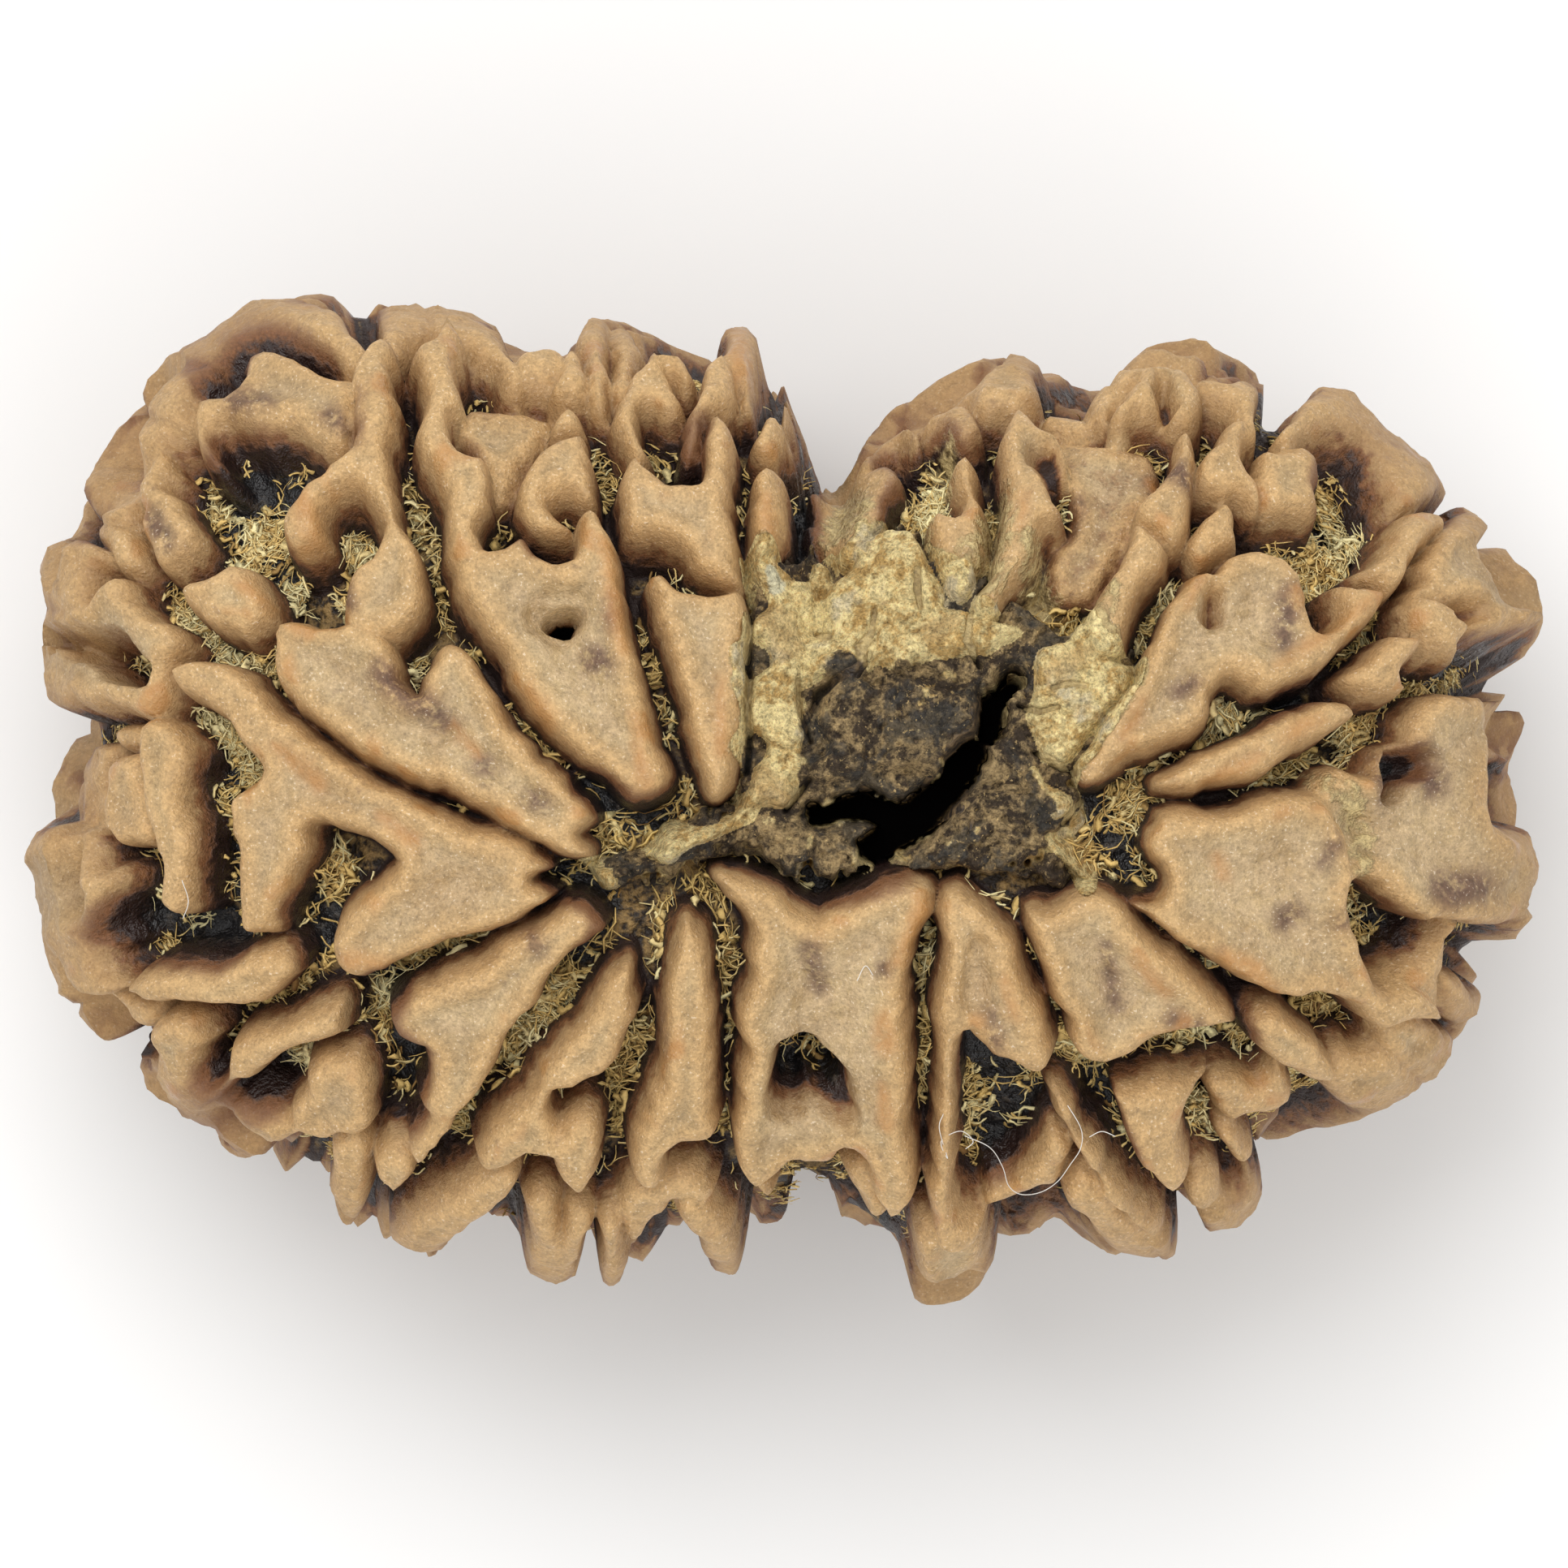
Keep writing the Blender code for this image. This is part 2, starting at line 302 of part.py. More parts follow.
        (-5.7, 9.1), (-5.3, 9.7), (-4.95, 9.5), (-4.9, 9.1), (-5.3, 8.95)]),
    "curl_shelf": (1.1, [
        (-7.7, 10.1), (-7.0, 10.0), (-6.2, 9.9), (-5.6, 9.7), (-5.8, 9.0), (-6.3, 8.4), (-6.6, 7.6),
        (-7.0, 7.4), (-7.4, 8.3), (-7.9, 9.0)]),
    "tooth_a": (0.3, [
        (-5.55, 10.0), (-5.45, 10.7), (-5.15, 11.05), (-4.9, 10.7), (-4.8, 10.0), (-5.2, 9.8)]),
    "tooth_b": (0.5, [
        (-5.05, 11.2), (-4.75, 11.75), (-4.5, 11.8), (-4.3, 11.4), (-4.3, 10.5), (-4.4, 9.7),
        (-4.75, 9.9), (-4.8, 10.7)]),
    "tooth_c": (0.8, [
        (-4.2, 11.6), (-3.9, 11.8), (-3.6, 11.5), (-3.55, 11.0), (-3.8, 10.2), (-4.2, 10.2)]),
    "tooth_d": (0.4, [
        (-4.1, 9.5), (-3.8, 10.3), (-3.5, 10.8), (-3.2, 11.1), (-2.9, 10.8), (-2.7, 10.3), (-2.5, 9.8),
        (-2.9, 9.5), (-3.4, 9.7), (-3.6, 9.2), (-3.3, 8.5), (-3.5, 8.2), (-3.8, 8.4), (-4.0, 9.0)]),
    "antler": (0.0, [
        (-3.95, 7.9), (-3.65, 8.25), (-3.3, 8.0), (-2.9, 7.6), (-2.5, 7.5), (-2.1, 7.7), (-2.0, 8.3),
        (-1.95, 9.0), (-1.7, 9.2), (-1.4, 8.9), (-1.35, 8.2), (-1.35, 7.4), (-1.3, 6.6), (-1.2, 5.8),
        (-1.15, 5.2), (-1.7, 5.2), (-2.3, 5.5), (-2.7, 6.0), (-3.1, 6.3), (-3.5, 6.3), (-3.9, 6.5),
        (-4.0, 7.2)]),
    "antler_rim": (0.2, [
        (-2.4, 8.2), (-2.1, 8.6), (-2.0, 9.3), (-1.5, 9.6), (-1.3, 10.0), (-1.35, 10.6), (-1.6, 10.9),
        (-2.0, 10.5), (-2.1, 10.0), (-2.3, 9.5), (-2.45, 8.9)]),
    "horn": (0.4, [
        (-1.9, 10.8), (-1.2, 11.35), (-0.85, 11.45), (-0.7, 11.0), (-0.8, 10.4), (-1.0, 9.8),
        (-1.3, 10.3)]),
    "slim_leaf": (0.0, [
        (-3.3, 5.2), (-3.0, 5.4), (-2.5, 5.1), (-1.9, 4.9), (-1.5, 5.1), (-1.1, 5.0), (-1.05, 4.0),
        (-1.1, 3.0), (-1.2, 2.2), (-1.2, 1.4), (-1.3, 0.5), (-1.6, 0.0), (-1.9, 0.1), (-2.0, 0.7),
        (-2.1, 1.6), (-2.3, 2.4), (-2.5, 3.2), (-2.8, 4.0), (-3.1, 4.6)]),
    "seam_leaf": (0.2, [
        (-0.9, 7.8), (-0.6, 8.15), (-0.3, 8.0), (-0.1, 7.4), (-0.1, 6.9), (-0.2, 6.2), (-0.4, 5.8),
        (-0.8, 5.7), (-0.9, 6.8)]),
    "seam_knob": (0.4, [
        (-0.8, 8.9), (-0.5, 9.4), (-0.2, 9.4), (0.0, 9.1), (-0.1, 8.7), (-0.5, 8.5)]),
    "seam_horn": (0.7, [
        (-0.4, 9.5), (-0.1, 9.9), (0.1, 9.6), (0.15, 8.8), (0.0, 8.6), (-0.2, 9.3)]),
}
# Ridges: name -> (depth of top, [(x, y, half width), ...])
RIDGES = {
    "left_rim_top": (0.4, [
        (-14.75, 9.3, 0.35), (-14.5, 10.2, 0.4), (-13.7, 11.0, 0.4), (-12.7, 11.35, 0.4),
        (-11.8, 11.4, 0.35), (-10.9, 11.2, 0.4), (-10.3, 10.7, 0.35)]),
    "left_rim_side": (0.6, [
        (-14.95, 9.0, 0.25), (-15.7, 8.4, 0.3), (-16.15, 7.7, 0.35), (-16.15, 7.0, 0.3)]),
    "left_rim_knob": (0.5, [
        (-16.2, 6.5, 0.4), (-16.1, 6.0, 0.35)]),
    "left_loop": (0.7, [
        (-16.7, 6.0, 0.2), (-17.3, 5.8, 0.3), (-17.45, 5.2, 0.25), (-17.2, 4.7, 0.2)]),
    "left_ledge": (1.0, [
        (-16.9, 1.3, 0.25), (-17.1, 0.3, 0.2), (-17.1, -0.6, 0.25)]),
    "left_bridge": (0.9, [
        (-16.4, 1.7, 0.4), (-15.8, 1.7, 0.4)]),
    "arch": (0.3, [
        (11.9, 8.9, 0.25), (12.5, 9.4, 0.35), (13.3, 9.45, 0.35), (14.1, 9.0, 0.4), (14.7, 8.2, 0.45),
        (14.9, 7.5, 0.35)]),
    "heel_back": (1.1, [
        (-15.35, -6.3, 0.25), (-15.1, -7.1, 0.3), (-14.3, -7.6, 0.25), (-13.5, -7.7, 0.2)]),
    "neck": (0.5, [
        (-9.6, 11.2, 0.3), (-9.2, 11.6, 0.35), (-8.6, 11.7, 0.3)]),
    "shoulder_back": (0.8, [
        (-8.2, 11.6, 0.35), (-7.5, 11.5, 0.35), (-6.9, 11.0, 0.3), (-6.5, 10.5, 0.3)]),
    "back_knob": (1.0, [
        (-6.1, 11.0, 0.35), (-5.7, 10.9, 0.35)]),
    "valley_rise": (0.9, [
        (6.2, 9.7, 0.25), (6.9, 9.6, 0.25)]),
}
# Teeth of the lower and upper girdle that stand clear against the edge, given as the ridges are
TEETH = {
    "tooth_low_a": (0.3, [(-10.5, -8.5, 0.5), (-10.45, -9.5, 0.42), (-10.4, -10.0, 0.25)]),
    "tooth_low_b": (0.3, [(-9.0, -10.35, 0.38), (-8.2, -10.1, 0.5), (-7.4, -9.6, 0.5), (-6.8, -9.1, 0.45)]),
    "tooth_low_c": (0.3, [(-5.9, -9.8, 0.42), (-5.7, -10.7, 0.5), (-5.4, -11.1, 0.35), (-5.0, -10.2, 0.4)]),
    "tooth_low_d": (0.2, [(-4.25, -10.2, 0.3), (-4.15, -11.0, 0.28), (-4.1, -11.3, 0.18)]),
    "tooth_low_e": (0.3, [(-2.3, -9.8, 0.4), (-1.7, -10.5, 0.42), (-1.35, -10.95, 0.25)]),
    "tooth_low_f": (0.4, [(-0.8, -9.1, 0.3), (-0.5, -9.45, 0.28)]),
    "tooth_low_g": (0.4, [(1.6, -8.9, 0.35), (2.1, -9.9, 0.3)]),
    "tooth_low_h": (0.3, [(7.0, -9.5, 0.5), (7.8, -10.25, 0.45), (8.4, -10.5, 0.32)]),
    "tooth_low_i": (0.4, [(10.6, -8.2, 0.3), (10.85, -8.6, 0.25)]),
    "tooth_top_a": (0.3, [(-3.2, 10.6, 0.3), (-2.7, 10.6, 0.25), (-2.45, 10.35, 0.22)]),
    "tooth_top_b": (0.3, [(2.8, 9.6, 0.35), (3.4, 10.0, 0.35), (4.0, 10.2, 0.3)]),
    "tooth_top_c": (0.3, [(7.9, 10.3, 0.3), (8.5, 10.6, 0.3), (9.2, 10.9, 0.3)]),
    "tooth_top_d": (0.4, [(9.9, 10.3, 0.3), (10.4, 10.1, 0.3), (10.9, 9.8, 0.35), (11.0, 9.1, 0.3)]),
}
# Dried pulp left round the stalk scar: name -> (depth of its top, outline)
PULP = {
    "pulp_left": (0.5, [
        (-1.0, 5.6), (-0.3, 6.0), (0.8, 5.2), (2.0, 5.9), (2.7, 6.2), (3.1, 5.4), (4.3, 4.6), (5.3, 3.9),
        (4.6, 3.3), (3.2, 3.1), (1.5, 2.7), (0.7, 2.9), (0.2, 1.4), (0.3, 0.6), (-0.9, -0.5),
        (-2.5, -1.3), (-4.4, -1.9), (-4.3, -1.5), (-2.0, -0.7), (-1.1, 0.8), (-1.0, 2.5), (-0.9, 4.2)]),
    "pulp_right": (0.5, [
        (5.2, 2.9), (5.5, 3.6), (6.2, 4.3), (7.2, 4.4), (7.6, 3.5), (8.1, 3.2), (8.0, 2.6), (7.5, 1.8),
        (7.0, 0.9), (6.5, 0.3), (6.0, 0.6), (5.3, 1.3), (5.1, 2.2)]),
    "pulp_tail": (0.6, [
        (5.7, 1.2), (6.8, 0.1), (6.5, -0.9), (7.2, -1.9), (6.9, -2.0), (6.2, -1.4), (5.7, -0.8),
        (6.0, -0.2), (5.6, 0.4)]),
    "scar_mound": (0.4, [
        (0.6, 2.6), (1.2, 3.0), (2.3, 3.2), (4.4, 3.1), (4.7, 2.3), (4.5, 1.7), (3.6, 0.7), (1.8, 0.3),
        (0.5, 0.6), (0.4, 1.4)]),
    "scar_mound_low": (0.9, [
        (3.7, -0.4), (4.2, 0.4), (5.0, 0.8), (5.6, 0.5), (5.9, -0.2), (5.5, -0.9), (4.7, -1.3),
        (4.0, -1.1)]),
}
# Pits and cracks cut into all the rest: name -> (depth cut, [(x, y, half width), ...])
PITS = {
    "ear_pit": (1.9, [(-16.7, 3.85, 0.38), (-16.2, 3.5, 0.45), (-15.6, 3.2, 0.3)]),
    "trouser_pit_arch": (1.7, [(-0.2, -6.8, 0.4), (-0.1, -6.2, 0.45), (0.3, -5.8, 0.42), (0.8, -6.1, 0.4)]),
    "trouser_pit_foot": (1.3, [(0.7, -6.4, 0.42), (1.3, -6.9, 0.35), (1.6, -7.4, 0.2)]),
    "leaf_hole": (1.7, [(-5.45, 4.42, 0.28), (-5.25, 4.42, 0.26)]),
    "leaf_dimple": (0.4, [(-5.5, 4.5, 0.62), (-5.2, 4.6, 0.5)]),
    "shelf_pit": (1.3, [(14.3, 1.0, 0.25), (14.9, 0.8, 0.38), (15.3, 0.7, 0.3)]),
    "hem_pit": (1.6, [(14.1, -2.7, 0.45), (14.7, -3.3, 0.5), (15.1, -3.2, 0.35)]),
    "cheek_pit": (0.8, [(16.3, 4.7, 0.3), (16.6, 4.7, 0.25)]),
    "cheek_gap": (1.3, [(16.5, 3.7, 0.3), (17.2, 3.8, 0.32)]),
    "crown_pit": (0.8, [(8.9, 10.0, 0.22), (9.0, 9.6, 0.2)]),
    "leaf_b_pit": (0.8, [(6.1, 8.2, 0.3), (6.3, 7.8, 0.25)]),
    "saddle_pit": (0.8, [(10.0, 4.9, 0.15), (10.05, 4.4, 0.15)]),
    "rib_valley": (0.5, [(4.4, -3.4, 0.25), (4.4, -4.6, 0.3), (4.5, -5.3, 0.3)]),
    "scar_slot_a": (2.4, [(0.7, -0.35, 0.2), (1.8, -0.15, 0.28), (2.7, -0.4, 0.25)]),
    "scar_slot_b": (2.6, [(1.9, -1.2, 0.28), (2.8, -0.6, 0.32), (3.6, 0.3, 0.32), (4.3, 1.3, 0.28)]),
    "pulp_crack_a": (2.2, [(5.3, 3.2, 0.16), (4.8, 2.6, 0.2), (4.75, 1.8, 0.2)]),
    "pulp_crack_b": (1.2, [(0.5, 2.9, 0.1), (1.2, 2.8, 0.12), (1.6, 3.1, 0.12), (1.7, 3.7, 0.1)]),
}
# Outline that touches the outermost crests, seen from the scar
GIRDLE = [
    (-18.0, -2.0), (-17.9, 0.5), (-17.75, 3.5), (-17.8, 5.6), (-16.6, 8.3), (-15.0, 10.3), (-12.5, 11.8),
    (-9.0, 12.1), (-6.5, 11.7), (-4.2, 11.9), (-1.0, 11.5), (0.2, 9.6), (1.15, 7.85), (2.3, 9.3),
    (5.0, 10.8), (7.5, 10.6), (9.5, 11.15), (13.2, 9.95), (15.5, 7.9), (18.0, 5.1), (17.7, 2.5),
    (18.0, -1.8), (17.0, -4.5), (15.8, -6.5), (13.7, -7.8), (12.2, -8.6), (10.8, -10.2), (8.7, -10.95),
    (6.0, -10.8), (3.7, -12.05), (1.0, -10.9), (-1.2, -11.3), (-4.15, -11.55), (-5.6, -11.5),
    (-9.0, -10.9), (-10.6, -10.35), (-13.5, -8.5), (-15.6, -6.8), (-17.0, -5.0)]
# Worn pads on the far pole that the nut rests on, as (x, y, radius)
REST_PADS = [(0.0, 0.0, 1.5), (-5.2, 1.4, 0.9), (5.4, 0.9, 0.9), (0.6, -3.4, 0.8)]


def smooth_loop(points, steps=3):
    """Closed curve through hand-chosen points: each stretch is a cubic set by its four neighbours."""
    mid = np.array(points, float)
    before = np.roll(mid, 1, 0)
    after = np.roll(mid, -1, 0)
    beyond = np.roll(mid, -2, 0)
    rows = []
    for step in range(steps):
        t = step / steps
        rows.append(0.5 * (2 * mid + (after - before) * t
                           + (2 * before - 5 * mid + 4 * after - beyond) * t ** 2
                           + (3 * mid - before - 3 * after + beyond) * t ** 3))
    return np.stack(rows, 1).reshape(-1, 2)


def depth_inside(x, y, loop):
    """Distance from each point to a closed outline, in mm, positive inside it and negative outside."""
    nearest = np.full(x.shape, 1e9)
    inside = np.zeros(x.shape, bool)
    for (ax, ay), (bx, by) in zip(loop, np.roll(loop, -1, 0)):
        ex, ey = bx - ax, by - ay
        t = np.clip(((x - ax) * ex + (y - ay) * ey) / max(ex * ex + ey * ey, 1e-9), 0, 1)
        nearest = np.minimum(nearest, (x - ax - t * ex) ** 2 + (y - ay - t * ey) ** 2)
        if abs(ey) > 1e-9:
            crosses = ((ay > y) != (by > y)) & (x < ax + (y - ay) * ex / ey)
            inside ^= crosses
    return np.sqrt(nearest) * np.where(inside, 1, -1)


def depth_in_stroke(x, y, line):
    """Depth inside a stroke: half its width there, less the distance to its middle line."""
    best = np.full(x.shape, -1e9)
    for (ax, ay, ar), (bx, by, br) in zip(line[:-1], line[1:]):
        ex, ey = bx - ax, by - ay
        t = np.clip(((x - ax) * ex + (y - ay) * ey) / (ex * ex + ey * ey), 0, 1)
        best = np.maximum(best, ar + t * (br - ar) - np.hypot(x - ax - t * ex, y - ay - t * ey))
    return best


def rib_section(inset):
    """Height of a rib, 0 to 1, from the depth inside its edge: steep foot, round shoulder, raised lip
    and slightly hollow top."""
    t = np.clip((inset + FOOT) / SHOULDER, 0, 1)
    lip = LIP_RISE * np.exp(-((inset - LIP_INSET) / LIP_SPREAD) ** 2)
    sag = TOP_SAG * np.clip((inset - 2 * LIP_INSET) / SHOULDER, 0, 1)
    return 1 - (1 - t ** FOOT_EASE) ** SHOULDER_EASE + (lip - sag) * t


def wander(place, scale, seed):
    """Smooth noise between -1 and 1: random values on a cubic lattice, eased from one to the next."""
    cells = 32
    lattice = np.random.default_rng(seed).uniform(-1, 1, (cells, cells, cells))
    whole = np.floor(place / scale).astype(int)
    part = place / scale - whole
    ease = part * part * (3 - 2 * part)
    total = np.zeros(len(place))
    for corner in np.ndindex(2, 2, 2):
        weight = np.ones(len(place))
        for axis, step in enumerate(corner):
            weight = weight * (ease[:, axis] if step else 1 - ease[:, axis])
        index = [(whole[:, axis] + step) % cells for axis, step in enumerate(corner)]
        total += weight * lattice[index[0], index[1], index[2]]
    return total


def girdle_radius(angle):
    """Distance from the middle to the outline through the outermost crests, for an angle round the pole."""
    loop = smooth_loop(GIRDLE, 6)
    bearing = np.arctan2(loop[:, 1], loop[:, 0])
    order = np.argsort(bearing)
    return np.interp(angle, bearing[order], np.hypot(loop[order, 0], loop[order, 1]), period=2 * math.pi)


def crest_surface(direction):
    """Smooth skin over all crests: a rounded box of the girdle outline, lower where the seeds meet."""
    angle = np.arctan2(WIDTH * direction[:, 1], LENGTH * direction[:, 0])
    flat = np.hypot(direction[:, 0], direction[:, 1])
    power = 2 / SIDE_SQUARENESS
    radius = girdle_radius(angle) * flat ** power
    x = radius * np.cos(angle)
    waist = 1 - WAIST_DROP * np.exp(-((x - WAIST_X) / WAIST_SPREAD) ** 2)
    z = HALF_HEIGHT * waist * np.sign(direction[:, 2]) * np.abs(direction[:, 2]) ** power
    return np.stack([x, radius * np.sin(angle), z], 1)


def outward(place):
    """Direction in which the relief stands: away from the spine, leaning towards the poles."""
    away = place.copy()
    away[:, 0] -= np.clip(place[:, 0], -SPINE_HALF, SPINE_HALF)
    away[:, 2] *= LEAN
    return away / np.linalg.norm(away, axis=1)[:, None]


def eased(value):
    """Runs from 0 to 1 with a soft start and end."""
    t = np.clip(value, 0, 1)
    return t * t * (3 - 2 * t)


def plan_place(crest):
    """Where each point reads the rib layout. Close to the girdle the reading slows down, so that ribs run
    straight over the edge. Behind it the layout turns, wanders and draws in towards the far pole, so that
    the ribs meet there and the far side is its own."""
    behind = eased(-crest[:, 2] / FAR_FULL)
    angle = np.arctan2(crest[:, 1], crest[:, 0])
    share = np.hypot(crest[:, 0], crest[:, 1]) / girdle_radius(angle)
    over = np.maximum(share - EDGE_START, 0)
    share = share - over + EDGE_SLACK * (1 - np.exp(-over / EDGE_SLACK))
    share = share + FAR_DRAW * behind * (1 - share)
    angle = angle + FAR_TWIST * behind
    reach = share * girdle_radius(angle)
    x = reach * np.cos(angle) + FAR_WANDER * behind * wander(crest, FAR_SCALE, SEED + 1)
    y = reach * np.sin(angle) + FAR_WANDER * behind * wander(crest, FAR_SCALE, SEED + 2)
    return x, y


def near(x, y, points):
    """Indices of the places that a feature can reach: those in its box, widened by its margin."""
    low = np.min([point[:2] for point in points], 0) - MARGIN
    high = np.max([point[:2] for point in points], 0) + MARGIN
    return np.nonzero((x > low[0]) & (x < high[0]) & (y > low[1]) & (y < high[1]))[0]


def relief(crest):
    """Height of the wood over the groove floor, 0 to 1, at each place on the crest surface."""
    x, y = plan_place(crest)
    rough = wander(crest, FLOOR_SCALE, SEED + 3) + GRIT_SHARE * wander(crest, GRIT_SCALE, SEED + 4)
    height = FLOOR_LEVEL + FLOOR_ROUGH * rough
    for depth, outline in PLATES.values():
        at = near(x, y, outline)
        rise = rib_section(depth_inside(x[at], y[at], smooth_loop(outline)))
        height[at] = np.maximum(height[at], (1 - depth / GROOVE_DEPTH) * rise)
    for depth, line in list(RIDGES.values()) + list(TEETH.values()):
        at = near(x, y, line)
        rise = rib_section(depth_in_stroke(x[at], y[at], line))
        height[at] = np.maximum(height[at], (1 - depth / GROOVE_DEPTH) * rise)
    near_side = crest[:, 2] > 0
    for depth, outline in PULP.values():
        at = near(x, y, outline)
        at = at[near_side[at]]
        ragged = PULP_RAGGED * wander(crest[at], PULP_SCALE, SEED + 7)
        inset = depth_inside(x[at], y[at], smooth_loop(outline)) + ragged
        top = 1 - (depth - ragged / 2) / GROOVE_DEPTH
        height[at] = np.maximum(height[at], top * eased(inset / PULP_EDGE + PULP_FOOT))
    for cut, line in PITS.values():
        at = near(x, y, line)
        at = at[near_side[at]]
        inset = depth_in_stroke(x[at], y[at], line)
        height[at] -= cut / GROOVE_DEPTH * np.clip(inset / PIT_EDGE + 0.5, 0, 1)
    return height


def weathered_belt(crest, height):
    """Round the girdle the ribs rise and dip along their length, and short webs bridge the grooves."""
    z = crest[:, 2]
    belt = eased((BELT_TOP - z) / BELT_BLEND)
    dip = np.clip(SADDLE_GAIN * (wander(crest, SADDLE_LENGTH, SEED + 5) - SADDLE_START), 0, 1)
    web = np.clip(WEB_GAIN * (wander(crest, WEB_LENGTH, SEED + 6) - WEB_START), 0, 1)
    lowered = height * (1 - SADDLE_DIP * belt * dip)
    return np.maximum(lowered, WEB_HEIGHT * belt * web)


def nut_surface(direction):
    """Final place of each direction's point: the crest surface, sunk by what its relief lacks."""
    crest = crest_surface(direction)
    height = weathered_belt(crest, relief(crest))
    under = np.nonzero(crest[:, 2] < 0)[0]
    for px, py, radius in REST_PADS:
        inset = radius - np.hypot(crest[under, 0] - px, crest[under, 1] - py)
        height[under] = np.maximum(height[under], rib_section(inset))
    sunk = GROOVE_DEPTH * (1 - np.clip(height, PIT_FLOOR, 1 + LIP_RISE))
    return crest - outward(crest) * sunk[:, None]


def clear_scene():
    for item in list(bpy.data.objects):
        bpy.data.objects.remove(item, do_unlink=True)


def wood_material():
    """Matt tan stone wood."""
    material = bpy.data.materials.new("nut_wood")
    material.use_nodes = True
    shader = material.node_tree.nodes["Principled BSDF"]
    shader.inputs["Base Color"].default_value = WOOD_COLOUR
    shader.inputs["Roughness"].default_value = WOOD_ROUGHNESS
    shader.inputs["Metallic"].default_value = 0.0
    material.diffuse_color = WOOD_COLOUR
    return material


def raw_nut():
    """A fine ball with the nut's surface pressed into it, in millimetres."""
    bpy.ops.mesh.primitive_ico_sphere_add(subdivisions=BALL_STEPS, radius=1)
    ball = bpy.context.object
    count = len(ball.data.vertices)
    flat = np.empty(count * 3, np.float32)
    ball.data.vertices.foreach_get("co", flat)
    direction = flat.reshape(-1, 3).astype(float)
    direction /= np.linalg.norm(direction, axis=1)[:, None]
    place = nut_surface(direction)
    ball.data.vertices.foreach_set("co", place.astype(np.float32).ravel())
    ball.data.update()
    return ball


def thinned(ball):
    """The same surface with far fewer triangles, kept where it bends most."""
    thin = ball.modifiers.new("thin", "DECIMATE")
    thin.ratio = TRIANGLES / len(ball.data.polygons)
    graph = bpy.context.evaluated_depsgraph_get()
    mesh = bpy.data.meshes.new_from_object(ball.evaluated_get(graph))
    bpy.data.objects.remove(ball, do_unlink=True)
    return mesh


def seated(mesh):
    """Cuts the lowest crests flat, brings the nut to its size and stands it on the origin."""
    flat = np.empty(len(mesh.vertices) * 3, np.float32)
    mesh.vertices.foreach_get("co", flat)
    place = flat.reshape(-1, 3).astype(float)
    place[:, 2] = np.maximum(place[:, 2], place[:, 2].min() + REST_CUT)
    low = place.min(0)
    high = place.max(0)
    place[:, 0] = (place[:, 0] - (low[0] + high[0]) / 2) * LENGTH / (high[0] - low[0])
    place[:, 1] = (place[:, 1] - (low[1] + high[1]) / 2) * WIDTH / (high[1] - low[1])
    place[:, 2] -= low[2]
    mesh.vertices.foreach_set("co", (place * MM).astype(np.float32).ravel())
    mesh.update()


clear_scene()
collection = bpy.data.collections.new("gauri_shankar_rudraksha")
bpy.context.scene.collection.children.link(collection)
nut_mesh = thinned(raw_nut())
seated(nut_mesh)
nut_mesh.name = "rudraksha_nut"
nut_mesh.materials.clear()
nut_mesh.materials.append(wood_material())
nut_mesh.shade_smooth()
nut = bpy.data.objects.new("rudraksha_nut", nut_mesh)
collection.objects.link(nut)
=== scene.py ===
"""Gauri shankar rudraksha: two rudraksha nuts grown together as one ribbed stone, lying with its scar up.

Places and sizes are in millimetres, and in metres in the meshes (MM). x runs along both seeds, y across
them, z up through the stalk scar. Heights in the relief run from 0, groove floor, to 1, crest.
"""
import math
import bpy
import numpy as np
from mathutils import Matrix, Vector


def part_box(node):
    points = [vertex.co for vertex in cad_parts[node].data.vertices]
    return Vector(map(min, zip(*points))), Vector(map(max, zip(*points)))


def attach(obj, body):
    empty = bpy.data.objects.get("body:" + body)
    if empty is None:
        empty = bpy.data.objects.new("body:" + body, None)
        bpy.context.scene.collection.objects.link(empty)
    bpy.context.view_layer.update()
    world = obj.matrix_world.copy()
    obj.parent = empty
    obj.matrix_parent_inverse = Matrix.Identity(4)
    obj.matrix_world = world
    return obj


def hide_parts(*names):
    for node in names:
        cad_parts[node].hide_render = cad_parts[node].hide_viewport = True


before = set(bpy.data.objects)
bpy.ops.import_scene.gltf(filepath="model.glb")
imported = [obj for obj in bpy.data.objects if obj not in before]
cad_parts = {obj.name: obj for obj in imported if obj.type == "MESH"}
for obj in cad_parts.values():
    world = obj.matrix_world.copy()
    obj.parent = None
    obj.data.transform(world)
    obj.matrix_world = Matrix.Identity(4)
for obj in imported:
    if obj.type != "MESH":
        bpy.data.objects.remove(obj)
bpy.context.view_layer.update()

# The ribbed stone
# The hard inner stone of the fruit: two seeds fused side by side, with deep ribs that run from the stalk
# scar over the girdle to the far pole and widen into worn plates with raised lips. It grew in one piece, so
# it is one skin: every point is pushed in from a smooth skin over all crests by what its relief lacks.
MM = 0.001
SEED = 11
LENGTH, WIDTH, HALF_HEIGHT = 36.0, 24.0, 10.0
GROOVE_DEPTH = 2.3
